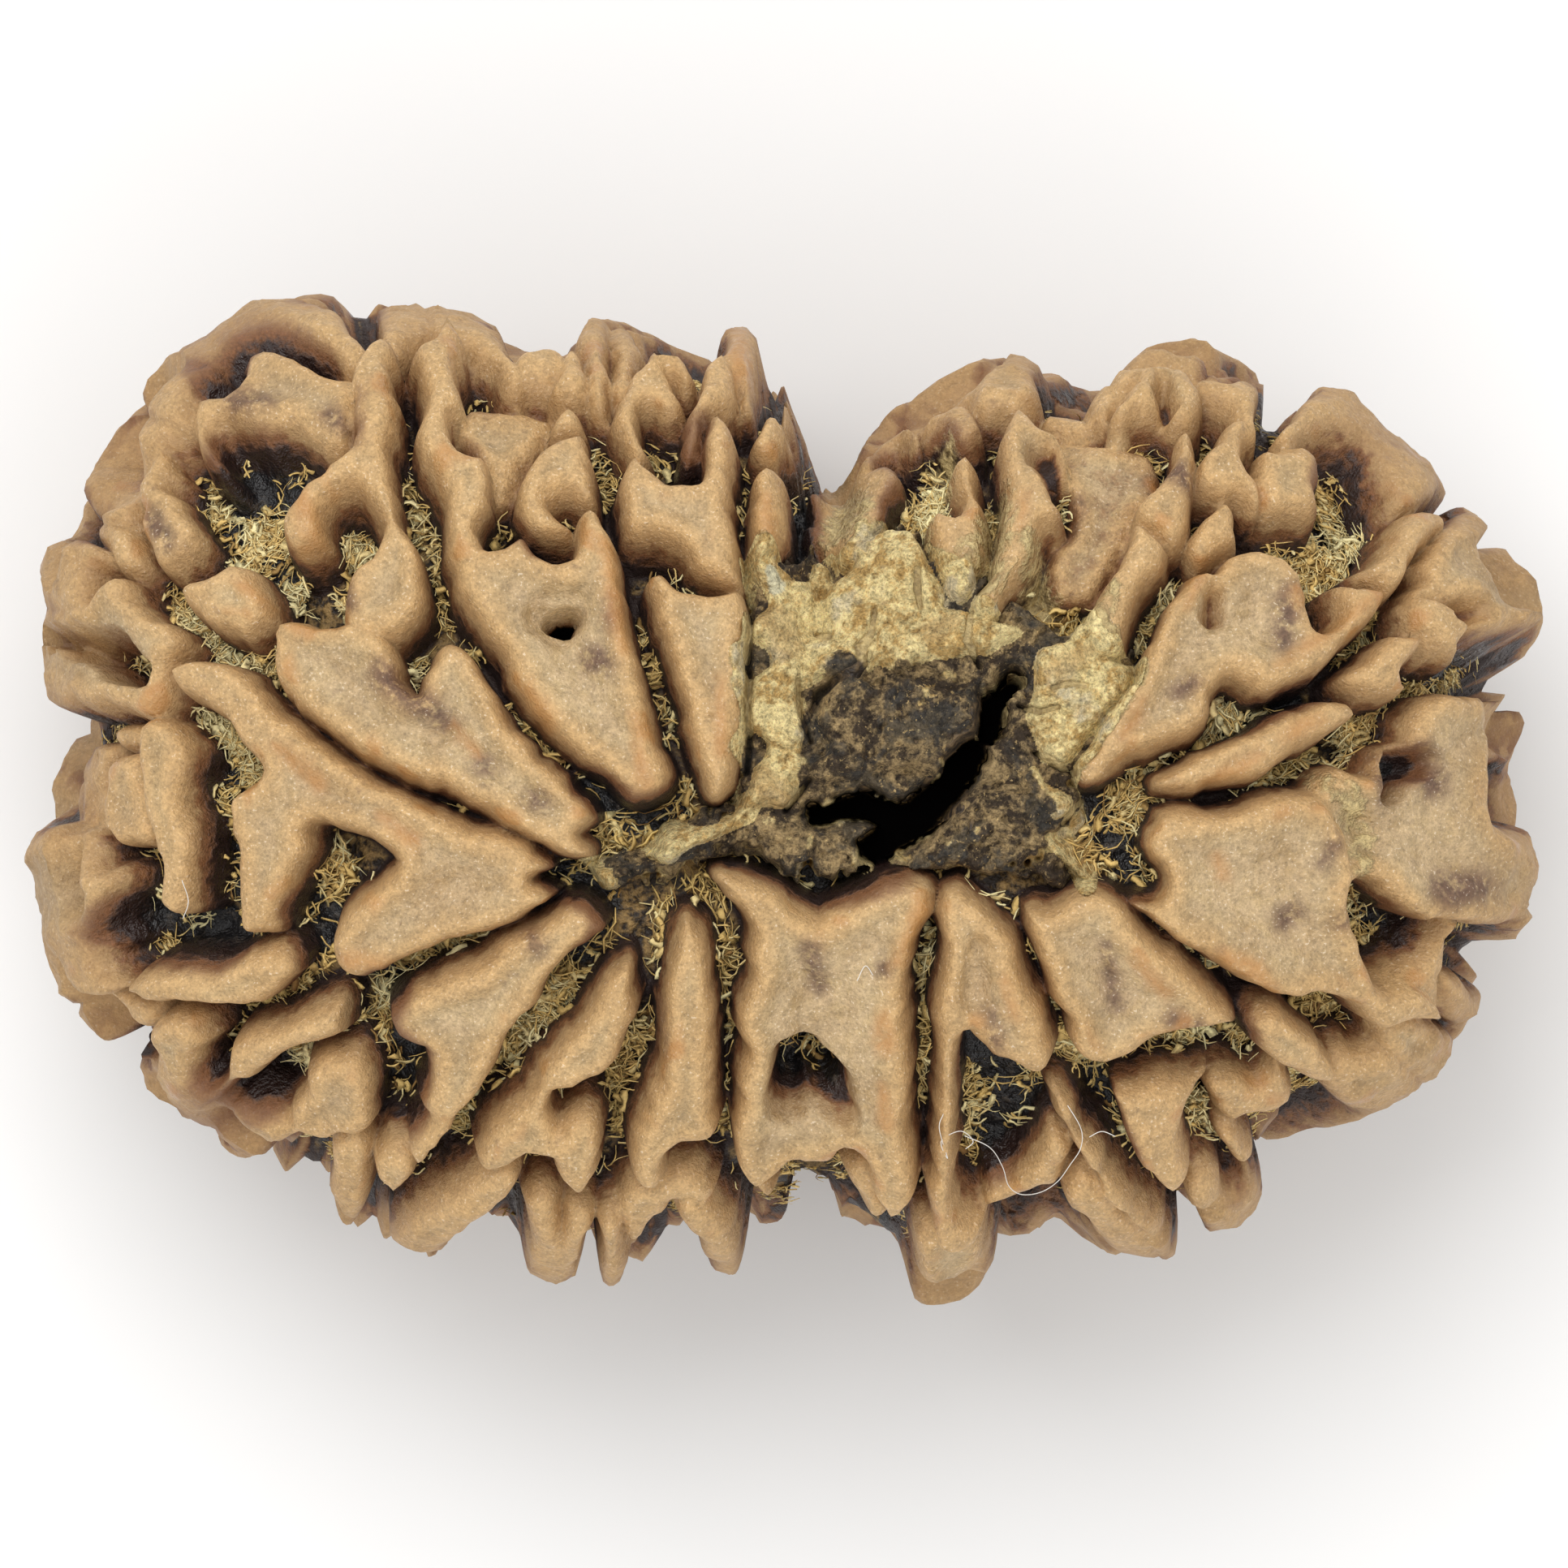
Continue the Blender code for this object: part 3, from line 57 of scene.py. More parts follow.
# Plates that the ribs widen into: depth of the top under the crest skin, outline x, y, x, y, ...
PLATES = {
    "left_wing": (0, [-14.85, 3.15, -14.4, 3.5, -13.6, 3.45, -12.9, 3.1, -12.2, 2.2, -11.4, 1.65, -10.2,
        .7, -9.2, .25, -8, -.35, -6.8, -.75, -6.1, -1.1, -5.55, -1.55, -6, -1.85, -5.4, -2.15, -6, -2.65,
        -7, -3.1, -8, -3.3, -9, -3.75, -9.8, -4.05, -10.5, -4.1, -10.85, -3.7, -10.9, -3.2, -10.5, -2.5,
        -9.7, -1.85, -9.3, -1.4, -9.9, -.95, -10.6, -.65, -11.3, -.55, -11.4, -1.2, -11.8, -2, -12.1,
        -2.9, -12.6, -3.15, -13.05, -3, -13.15, -2.2, -13.1, -1.3, -13.3, -.5, -13.25, .1, -12.7, .5,
        -12.6, .9, -13, 1.4, -13.5, 2.1, -14, 2.5, -14.6, 2.75]),
    "left_shoulder": (0, [-4.7, -1.35, -5.3, -1.3, -6, -.85, -6.7, -.5, -7.3, -.15, -8.1, .35, -9, .5,
        -9.8, .95, -10.6, 1.45, -11.3, 1.95, -12, 2.7, -12.25, 3.4, -12.1, 4.25, -11.2, 4.3, -10.3, 4.3,
        -9.6, 3.9, -9.3, 3.3, -9.1, 2.8, -8.75, 2.6, -8.6, 3.2, -8.3, 3.7, -7.95, 3.8, -7.5, 3.4, -7.1,
        2.7, -6.5, 1.8, -5.9, 1.15, -5.2, .5, -4.7, .1, -4.6, -.4, -5, -.75, -4.7, -1.05]),
    "shoulder_hook": (0, [-9.5, 10.9, -9.35, 10, -9.4, 9, -9.45, 8, -9.35, 7.3, -9, 6.5, -8.65, 5.6, -8.5,
        5, -8.7, 4.5, -9.3, 4, -10.2, 3.9, -10.6, 4.3, -10.5, 4.9, -10.35, 5.6, -9.8, 6.05, -9.7, 6.6,
        -9.85, 7.1, -10.3, 7.5, -10.8, 7.3, -11, 6.8, -11, 6.2, -11.6, 5.95, -11.95, 6.3, -11.95, 6.9,
        -11.5, 7.5, -10.9, 8, -10.4, 8.5, -10.35, 9.3, -10.35, 10.2, -10, 10.9]),
    "left_nugget": (.1, [-14.5, 5.1, -14.1, 5.4, -13.3, 5.7, -12.8, 5.6, -12.4, 5.1, -12.4, 4.4, -12.8, 4,
        -13.4, 4.05, -14, 4.4, -14.4, 4.8]),
    "left_brow": (.3, [-14.4, 9, -14.2, 9.8, -13.2, 10.05, -13, 10.8, -12.3, 11, -11.6, 10.75, -10.9,
        10.35, -10.3, 10.1, -10.3, 9.2, -10.6, 8.5, -11.2, 8.7, -11.8, 9, -12.6, 9.1, -13.5, 9.2, -13.85,
        8.8, -13.7, 8.2, -14.1, 8.4]),
    "left_ear": (.2, [-16.9, 5, -17.4, 4.2, -17.65, 3.4, -17.5, 2.7, -17, 2.3, -16.2, 2.3, -15.4, 2.1,
        -14.95, 2.6, -14.75, 3.3, -14.45, 3.75, -14.7, 4.2, -15.3, 4.5, -15.8, 5, -16, 5.5, -16.5, 5.4]),
    "left_teeth": (.4, [-15.1, 8.9, -14.9, 8.3, -15, 7.8, -14.7, 7.4, -14.5, 6.9, -14.3, 6.5, -14.5, 5.9,
        -15, 5.75, -15.4, 6.2, -15.7, 6.8, -15.65, 7.2, -15.85, 7.7, -15.6, 8.3]),
    "left_column": (.2, [-15.6, 1.7, -15.2, 2, -14.7, 1.9, -14.4, 1.5, -14.4, .9, -14.5, .2, -14.3, -.6,
        -14.2, -1.4, -14.3, -2.2, -14.4, -2.7, -14.8, -2.75, -15.15, -2.4, -15.1, -1.8, -15.1, -1.3,
        -15.4, -.5, -15.6, .5]),
    "left_slab": (.5, [-16.7, 1, -16.2, 1.3, -15.5, 1.2, -15.4, .2, -15.2, -.9, -15.8, -1.1, -16.4, -.9,
        -16.8, -.6, -16.8, .3]),
    "left_jaw": (.1, [-17, -.7, -17.6, -.8, -18.1, -1.4, -18.2, -2.4, -18.1, -3.4, -17.8, -4.3, -17.2,
        -4.7, -16.2, -4.6, -15.3, -4.75, -14, -4.95, -13.2, -4.95, -12.4, -4.7, -11.95, -4.3, -11.75,
        -3.9, -12, -3.6, -12.5, -3.5, -13.1, -3.65, -13.7, -3.95, -14.3, -3.85, -15, -3.9, -15.6, -4.1,
        -16, -4.3, -16.4, -4, -16.5, -3.6, -16.6, -3.1, -16.4, -2.7, -16.1, -2.1, -16.1, -1.7, -16.7,
        -1.5]),
    "left_fin": (.2, [-15.5, -5.9, -15.2, -5.3, -14.6, -5.1, -14.1, -5.3, -13.95, -5.8, -14.2, -6.3,
        -13.95, -6.75, -13.65, -6.6, -13.4, -6, -13.1, -5.6, -12.4, -5.4, -11.6, -5, -11, -4.75, -10.6,
        -4.7, -10.45, -5.1, -10.7, -5.6, -11.4, -5.8, -12, -6.1, -12.6, -6.5, -13.2, -6.8, -13.6, -7.2,
        -14, -7.4, -14.5, -7.1, -14.9, -6.6]),
    "left_heel": (.35, [-13.6, -7.5, -13.2, -8.1, -12.7, -8.4, -12, -8.3, -11.3, -8.15, -10, -8, -9.9,
        -7.3, -10, -6.5, -10.5, -6.2, -11.2, -6.2, -11.6, -6.5, -11.7, -7.1, -12.1, -7.5, -12.8, -7.4,
        -13.2, -7.2]),
    "left_knob_low": (.3, [-16.7, -4.8, -16.2, -4.5, -15.5, -4.8, -15.2, -5.2, -15.6, -5.6, -16.2, -5.5]),
    "lower_wing": (0, [-5, -2.3, -4.4, -2.9, -4.9, -3.4, -5.6, -4, -6, -4.7, -6.4, -5.3, -6.8, -5.9, -7.1,
        -6.6, -7.6, -7.3, -8.2, -8, -8.8, -8.6, -9, -8, -8.5, -7.5, -8.75, -7.1, -8.5, -6.6, -8.6, -6, -9,
        -5.7, -9.45, -5.2, -9.3, -4.8, -8.9, -4.5, -8.2, -4.2, -7.4, -3.8, -6.6, -3.2, -6, -2.9, -5.5,
        -2.5]),
    "lower_wing_tail": (.4, [-9.9, -8.5, -9.3, -8.3, -8.9, -8.6, -9, -9.2, -9.4, -9.7, -9.8, -9.4, -10,
        -8.9]),
    "claw": (0, [-4, -3.9, -3.75, -3.85, -3.65, -4.5, -3.8, -5.3, -4, -6.1, -4.35, -6.5, -4.9, -6.6, -5.4,
        -6.8, -5.65, -7.2, -5.5, -7.8, -5.1, -7.5, -4.8, -7.3, -4.5, -7.6, -4.4, -8.2, -4.6, -8.9, -5,
        -9.25, -5.4, -8.9, -5.6, -8.5, -6.2, -8.4, -6.8, -8.6, -7.2, -8.65, -7.35, -8.4, -7.1, -7.9, -6.6,
        -7.4, -6.15, -6.8, -5.9, -6.2, -5.4, -5.7, -5, -5.2, -4.6, -4.6]),
    "post": (0, [-2.75, -3.2, -2.5, -2.7, -2.3, -2.7, -2, -3.2, -1.85, -3.9, -1.8, -5, -1.8, -6, -1.75,
        -7, -1.65, -7.7, -1.9, -8.05, -2.5, -8.15, -2.85, -8.3, -3, -8.7, -3, -9.15, -3.5, -9.15, -3.75,
        -8.8, -3.75, -8.2, -3.4, -7.4, -3.1, -6.6, -3, -5.6, -2.95, -4.6, -2.85, -3.8]),
    "post_foot": (.5, [-3.9, -9.3, -3, -9, -2, -9, -1.75, -9.5, -2, -9.9, -2.7, -9.8, -3.1, -10.2, -3.5,
        -10.8, -3.9, -10.8, -4.05, -10.2]),
    "trousers": (0, [-1.7, -1.7, -1.2, -1.75, -.6, -1.95, -.1, -2.1, .3, -2.5, .7, -2.8, 1.1, -2.5, 1.6,
        -2.1, 2.3, -1.85, 3, -1.8, 3.4, -2, 3.3, -2.6, 3.1, -3.2, 2.9, -3.8, 2.75, -4.2, 2.85, -4.8, 2.95,
        -5.7, 2.9, -6.6, 2.85, -7.4, 2.95, -8.2, 2.95, -9, 2.8, -9.6, 2.4, -9.95, 2.1, -9.6, 1.9, -9,
        1.75, -8.5, 1.3, -8.25, .9, -8.5, .3, -8.55, -.2, -8.8, -.8, -9.1, -1.1, -8.7, -1.3, -8, -1.2,
        -7.2, -1.15, -6.4, -1.1, -5.6, -1.2, -5, -1, -4.3, -.9, -3.5, -.9, -2.9, -1.3, -2.4]),
    "long_rib": (0, [3.6, -2.2, 3.9, -2, 4.3, -2.3, 4.6, -2.5, 5.1, -2.9, 5.4, -3.6, 5.7, -4.4, 6, -5.2,
        6.2, -5.9, 5.95, -6.35, 5.4, -6.3, 4.9, -6.2, 4.5, -5.8, 4.15, -5.5, 4, -6.5, 4, -7.5, 3.9, -8.5,
        3.9, -9.3, 4.2, -9.8, 4.7, -9.9, 4.5, -10.4, 3.9, -10.65, 3.4, -10.4, 3.35, -9.6, 3.4, -8.6, 3.45,
        -7.6, 3.45, -6.5, 3.4, -5.5, 3.45, -4.5, 3.55, -3.5]),
    "rib_web": (.5, [4.5, -10, 4.7, -9.4, 5.2, -9.2, 5.8, -8.6, 6.2, -8, 6.6, -8.3, 6.5, -9, 6.2, -9.4,
        5.5, -9.65, 5, -9.9]),
    "big_toe": (.3, [2.95, -10.5, 2.95, -11.2, 3.2, -11.8, 3.75, -12.05, 4.3, -11.8, 4.65, -11.2, 4.65,
        -10.4, 4.2, -10, 3.4, -10]),
    "right_fan": (0, [5.55, -2.5, 6.2, -2.5, 7, -2.2, 7.5, -2.15, 7.9, -2.5, 8.3, -3, 9.1, -3.6, 9.8,
        -4.3, 10.6, -5, 10.7, -5.3, 10, -5.4, 9.4, -5.4, 8.7, -5.6, 8, -6.05, 7.3, -6.15, 6.8, -5.9, 6.5,
        -5.2, 6.2, -4.6, 6, -3.9, 5.7, -3.2]),
    "right_fan_tip": (.2, [10.9, -5.1, 11.8, -5, 12.4, -5.5, 13, -6.1, 13.15, -6.6, 12.8, -6.75, 12.1,
        -6.5, 11.4, -6.1, 11, -5.6]),
    "lower_sliver": (.2, [6.1, -6.8, 6.4, -6.85, 6.8, -7.3, 6.9, -7.9, 7.3, -8.4, 7.8, -9.2, 8.4, -9.8,
        8.9, -10.2, 8.7, -10.7, 8.2, -10.3, 7.6, -9.6, 7.2, -8.9, 6.8, -8.3, 6.4, -7.7]),
    "lower_palm": (.2, [7.6, -6.9, 8.4, -6.75, 9.3, -6.65, 9.9, -6.6, 9.5, -7.2, 9.25, -7.8, 9.5, -8.4,
        9.55, -9, 9.2, -9.45, 8.8, -9.3, 8.3, -8.7, 7.9, -7.9, 7.7, -7.3]),
    "lower_lump": (.6, [10, -6.9, 10.7, -6.7, 11.3, -6.9, 11.8, -6.4, 12.1, -6.9, 12.3, -7.4, 11.9, -7.8,
        11.2, -7.9, 10.5, -7.95, 10.2, -7.4]),
    "lower_lump_heel": (.4, [9.5, -9.3, 10, -9, 10.5, -9.6, 10.95, -9, 10.95, -9.8, 10.5, -10.15, 10,
        -10.2, 9.6, -9.9]),
    "right_palm": (0, [8.3, -1.1, 8.5, -.6, 9, -.15, 10, -.2, 11, 0, 11.7, .3, 12.3, .3, 12.9, -.1, 13.3,
        -.8, 13.4, -1.6, 13.3, -2.2, 13.5, -3, 13.8, -3.8, 14.2, -4.4, 14.9, -4.3, 15.4, -4.6, 15.6, -5.2,
        14.9, -5.15, 14.2, -5.4, 13.6, -5.1, 13.2, -4.7, 12.6, -4.5, 12, -4.6, 11.2, -4.4, 10.4, -4, 9.6,
        -3.5, 8.8, -3, 8.1, -2.4, 8.7, -2.3, 8.8, -1.8]),
    "right_shelf": (.3, [12.5, .2, 13.2, .9, 13.9, .7, 14.1, 1.3, 14.9, 1.5, 15.1, 2.3, 15.5, 2.7, 16.2,
        2.7, 16.9, 2.5, 17.4, 2.1, 17.3, 1.4, 17, .7, 16.9, .1, 17, -.3, 17.4, -.8, 17.8, -1.6, 17.8,
        -2.3, 17.5, -2.8, 17, -2.95, 16, -2.9, 15, -2.8, 14.4, -2.3, 13.9, -1.9, 13.3, -2, 12.8, -1.5,
        12.4, -.8]),
    "right_hem": (.6, [14.1, -4.4, 15.1, -3.95, 15.7, -3.3, 16.1, -2.9, 16.5, -2.95, 16.1, -3.8, 15.9,
        -4.3, 15.9, -4.9, 15.6, -5.4, 14.9, -5.2]),
    "right_pebble": (.5, [15.9, -4.3, 16.3, -4.6, 16.45, -5.1, 16.1, -5.3, 15.8, -5.2]),
    "right_lump_a": (.5, [14.2, -5.4, 15, -5.2, 15.6, -5.6, 15.8, -6.1, 15.3, -6.7, 14.9, -6.9, 14.6,
        -6.4]),
    "right_lump_b": (.4, [13.2, -6.2, 14, -6.1, 14.6, -6.1, 14.9, -6.7, 14.5, -7.1, 13.6, -7.5, 13, -7.1,
        12.9, -6.7]),
    "blade": (0, [8.65, .5, 9.2, .9, 10, 1.3, 10.8, 1.7, 11.6, 2.1, 12.5, 2.4, 13.1, 2.4, 13.5, 2.1, 13.2,
        1.8, 12.6, 1.5, 11.9, 1.1, 11.2, .7, 10.3, .45, 9.4, .3, 8.9, .3]),
    "right_saddle": (0, [8.3, 3.4, 8.6, 4.1, 9, 4.9, 9.4, 5.45, 9.9, 5.55, 10.1, 5.5, 10.4, 5.9, 11.2, 6,
        11.9, 5.8, 12.2, 5.2, 12.35, 4.5, 12.7, 4.15, 13.1, 4.5, 13.1, 5.2, 13.7, 5.25, 14.2, 5.1, 14.2,
        4.8, 13.6, 4.1, 12.8, 3.4, 12, 2.85, 11.2, 2.6, 10.9, 2.8, 10.4, 3, 10.1, 2.6, 9.9, 1.9, 9.3, 1.5,
        8.6, 1.3, 7.9, 1, 7.3, .4, 6.9, .4, 6.9, .9, 7.3, 1.7, 7.7, 2.4, 8.2, 2.9]),
    "ridge_a": (0, [7.3, 3.4, 7.8, 3.5, 8, 4.2, 8.3, 4.9, 8.8, 5.5, 8.95, 6, 8.6, 6.4, 8.2, 6.6, 7.9, 6,
        7.6, 5.3, 7.2, 4.8, 7, 4.3, 7, 3.9]),
    "spike_a": (.1, [8.3, 7.1, 8.8, 7.6, 9.1, 8.2, 9.2, 8.8, 9.5, 8.9, 9.7, 8.4, 9.6, 7.6, 9.5, 6.9, 9.3,
        6.3, 9, 6.1, 8.7, 6.4, 8.3, 6.7]),
    "spike_b": (.2, [9.7, 8.1, 10.2, 8.8, 10.5, 9.2, 10.9, 9.3, 11.05, 8.9, 10.8, 8.3, 11, 7.9, 11.3, 7.3,
        11.1, 7, 10.7, 7.4, 10.2, 7.4, 9.7, 7.6]),
    "thumb": (.3, [9.5, 6.3, 10.1, 7.1, 10.5, 7.2, 10.7, 6.5, 10.5, 6.1, 10.1, 5.9, 9.7, 5.7]),
    "block": (.4, [11.2, 8.6, 11.8, 8.7, 12.5, 8.65, 12.8, 8.3, 12.75, 7.5, 12.7, 7.1, 12, 7, 11.4, 7,
        11.2, 7.6]),
    "outer_ridge": (.2, [13.6, 5.6, 14.3, 6.1, 14.7, 6.8, 15, 7.1, 15.5, 6.9, 15.6, 6.5, 15.1, 6, 14.8,
        5.5, 14.4, 5.1, 13.9, 5.3]),
    "right_cheek": (.3, [15.2, 6, 15.7, 6.6, 15.8, 7.2, 16.4, 6.6, 17, 6, 17.7, 5.5, 18, 4.95, 17.85, 4.2,
        17.6, 3.6, 17.5, 4.1, 16.9, 4.15, 16.4, 4.2, 16.2, 4.7, 15.5, 4.8, 15, 5, 15.2, 5.5]),
    "cheek_knob": (.2, [14.9, 4.9, 15.5, 5, 16.1, 4.6, 16.3, 4.2, 16.1, 3.8, 16.2, 3.4, 15.7, 3.6, 15.2,
        3.9, 14.9, 4.2]),
    "thorn": (.1, [13.3, 3, 13.8, 3.5, 14.4, 3.9, 15.1, 4.05, 15.2, 3.8, 14.8, 3.5, 14.6, 3.1, 14.8, 2.7,
        14.3, 2.55, 13.8, 2.6]),
    "arc": (.2, [1.5, 7.9, 1.8, 8.6, 2.3, 9.2, 2.9, 9.2, 3.1, 8.9, 2.6, 8.85, 2.2, 8.5, 1.8, 8]),
    "knob_a": (.5, [3.1, 9.1, 3.4, 9.7, 4.1, 9.9, 4.4, 9.6, 4.45, 9, 4.1, 8.8, 3.6, 9.1]),
    "leaf_a": (.3, [3.8, 8.2, 4.1, 8.55, 4.4, 8.4, 4.5, 7.6, 4.62, 6.8, 4.6, 6, 4.3, 5.3, 4, 5, 3.75, 5.3,
        3.5, 6, 3.35, 6.7, 3.5, 7.05, 3.9, 6.95, 4.1, 7.2, 3.9, 7.7]),
    "leaf_b": (.1, [5.05, 9, 5.35, 9.55, 5.7, 9.4, 6.1, 9, 6.5, 8.6, 6.5, 8.1, 6.2, 7.8, 6.25, 7.3, 6.5,
        6.9, 6, 6.6, 5.75, 5.9, 5.5, 5.4, 5.1, 4.9, 4.7, 4.5, 4.4, 4.7, 4.6, 5.2, 4.9, 5.8, 5.05, 6.6,
        5.1, 7.4, 5.05, 8.2]),
    "crown_a": (.5, [4.1, 10, 4.5, 10.5, 5, 10.75, 5.5, 10.7, 5.8, 10.3, 5.9, 9.9, 5.5, 9.6, 5, 9.7, 4.6,
        9.7]),
    "crown_b": (.3, [7.5, 9.4, 7.9, 9.9, 8.3, 10.4, 8.9, 10.9, 9.4, 11.1, 9.75, 10.8, 9.7, 10.3, 9.95,
        10.1, 9.8, 9.6, 9.6, 9.2, 9.2, 9.1, 8.8, 9.4, 8.3, 9.4, 7.9, 9.2]),
    "crown_tooth": (.6, [7.1, 9.6, 7.3, 10.3, 7.5, 10.45, 7.8, 10.1, 7.6, 9.5]),
    "valley_floor": (1.3, [6.4, 9.6, 7.4, 9.4, 8.4, 9.2, 8.9, 8.6, 8.8, 7.8, 8.2, 7.2, 8, 6.4, 7.5, 5.6,
        7, 5.1, 6.3, 5.2, 6.1, 6, 6.5, 6.8, 6.6, 7.6, 6.3, 8.4, 6, 9.2]),
    "upper_leaf": (0, [-2.85, .3, -3.3, .05, -3.8, .1, -4.2, .5, -4.8, 1, -5.4, 1.5, -6, 2.2, -6.5, 2.9,
        -6.9, 3.6, -7.3, 4.3, -7.7, 5, -8, 5.8, -8.15, 6.6, -8.1, 7.3, -8.5, 7.9, -8.85, 8.6, -8.7, 9.2,
        -8.6, 9.6, -8.9, 10.3, -8.95, 10.8, -8.5, 11.1, -8.1, 11.5, -7.8, 11, -7.85, 10.4, -7.75, 9.7, -8,
        9.2, -8, 8.7, -7.6, 8.3, -7.2, 8.2, -7, 7.6, -7.1, 6.9, -7.4, 6.4, -7.1, 6, -6.7, 6.2, -6.3, 6.35,
        -6, 6, -5.6, 5.75, -5.1, 5.8, -4.95, 6.2, -4.95, 6.7, -4.75, 7, -4.45, 6.9, -4.3, 6.5, -4.1, 5.8,
        -3.95, 5, -3.75, 4.2, -3.5, 3.3, -3.3, 2.4, -3.1, 1.4, -2.85, .8]),
    "curl": (.2, [-4.9, 8.9, -5.3, 8.8, -5.9, 8.4, -6.3, 7.8, -6.5, 7.2, -6.3, 6.7, -5.9, 6.4, -5.4, 6.4,
        -5.2, 6.6, -5.6, 6.85, -5.75, 7.2, -5.3, 7.4, -4.9, 7.25, -4.6, 7.2, -4.65, 7.9, -4.75, 8.5]),
    "curl_tip": (.4, [-5.7, 9.1, -5.3, 9.7, -4.95, 9.5, -4.9, 9.1, -5.3, 8.95]),
    "curl_shelf": (1.1, [-7.7, 10.1, -7, 10, -6.2, 9.9, -5.6, 9.7, -5.8, 9, -6.3, 8.4, -6.6, 7.6, -7, 7.4,
        -7.4, 8.3, -7.9, 9]),
    "tooth_a": (.3, [-5.55, 10, -5.45, 10.7, -5.15, 11.05, -4.9, 10.7, -4.8, 10, -5.2, 9.8]),
    "tooth_b": (.5, [-5.05, 11.2, -4.75, 11.75, -4.5, 11.8, -4.3, 11.4, -4.3, 10.5, -4.4, 9.7, -4.75, 9.9,
        -4.8, 10.7]),
    "tooth_c": (.8, [-4.2, 11.6, -3.9, 11.8, -3.6, 11.5, -3.55, 11, -3.8, 10.2, -4.2, 10.2]),
    "tooth_d": (.4, [-4.1, 9.5, -3.8, 10.3, -3.5, 10.8, -3.2, 11.1, -2.9, 10.8, -2.7, 10.3, -2.5, 9.8,
        -2.9, 9.5, -3.4, 9.7, -3.6, 9.2, -3.3, 8.5, -3.5, 8.2, -3.8, 8.4, -4, 9]),
    "antler": (0, [-3.95, 7.9, -3.65, 8.25, -3.3, 8, -2.9, 7.6, -2.5, 7.5, -2.1, 7.7, -2, 8.3, -1.95, 9,
        -1.7, 9.2, -1.4, 8.9, -1.35, 8.2, -1.35, 7.4, -1.3, 6.6, -1.2, 5.8, -1.15, 5.2, -1.7, 5.2, -2.3,
        5.5, -2.7, 6, -3.1, 6.3, -3.5, 6.3, -3.9, 6.5, -4, 7.2]),
    "antler_rim": (.2, [-2.4, 8.2, -2.1, 8.6, -2, 9.3, -1.5, 9.6, -1.3, 10, -1.35, 10.6, -1.6, 10.9, -2,
        10.5, -2.1, 10, -2.3, 9.5, -2.45, 8.9]),
    "horn": (.4, [-1.9, 10.8, -1.2, 11.35, -.85, 11.45, -.7, 11, -.8, 10.4, -1, 9.8, -1.3, 10.3]),
    "slim_leaf": (0, [-3.35, 5.3, -3, 5.5, -2.5, 5.2, -1.9, 5, -1.5, 5.1, -1.1, 5, -1.05, 4, -1.05, 3,
        -1.15, 2.2, -1.2, 1.4, -1.3, .5, -1.6, 0, -1.95, .1, -2.1, .7, -2.3, 1.6, -2.5, 2.4, -2.8, 3.2,
        -3, 4, -3.2, 4.6]),
    "seam_leaf": (.2, [-.9, 7.8, -.6, 8.15, -.3, 8, -.1, 7.4, -.1, 6.9, -.2, 6.2, -.4, 5.8, -.8, 5.7, -.9,
        6.8]),
    "seam_knob": (.4, [-.8, 8.9, -.5, 9.4, -.2, 9.4, 0, 9.1, -.1, 8.7, -.5, 8.5]),
    "seam_horn": (.7, [-.4, 9.5, -.1, 9.9, .1, 9.6, .15, 8.8, 0, 8.6, -.2, 9.3]),
    "valley_bark": (.5, [.6, 8, 1.2, 8.2, 1.9, 8.3, 2.4, 8.3, 2.7, 7.8, 2.3, 7.2, 2, 6.5, 1.5, 5.9, .8,
        5.8, .6, 6.5]),
}
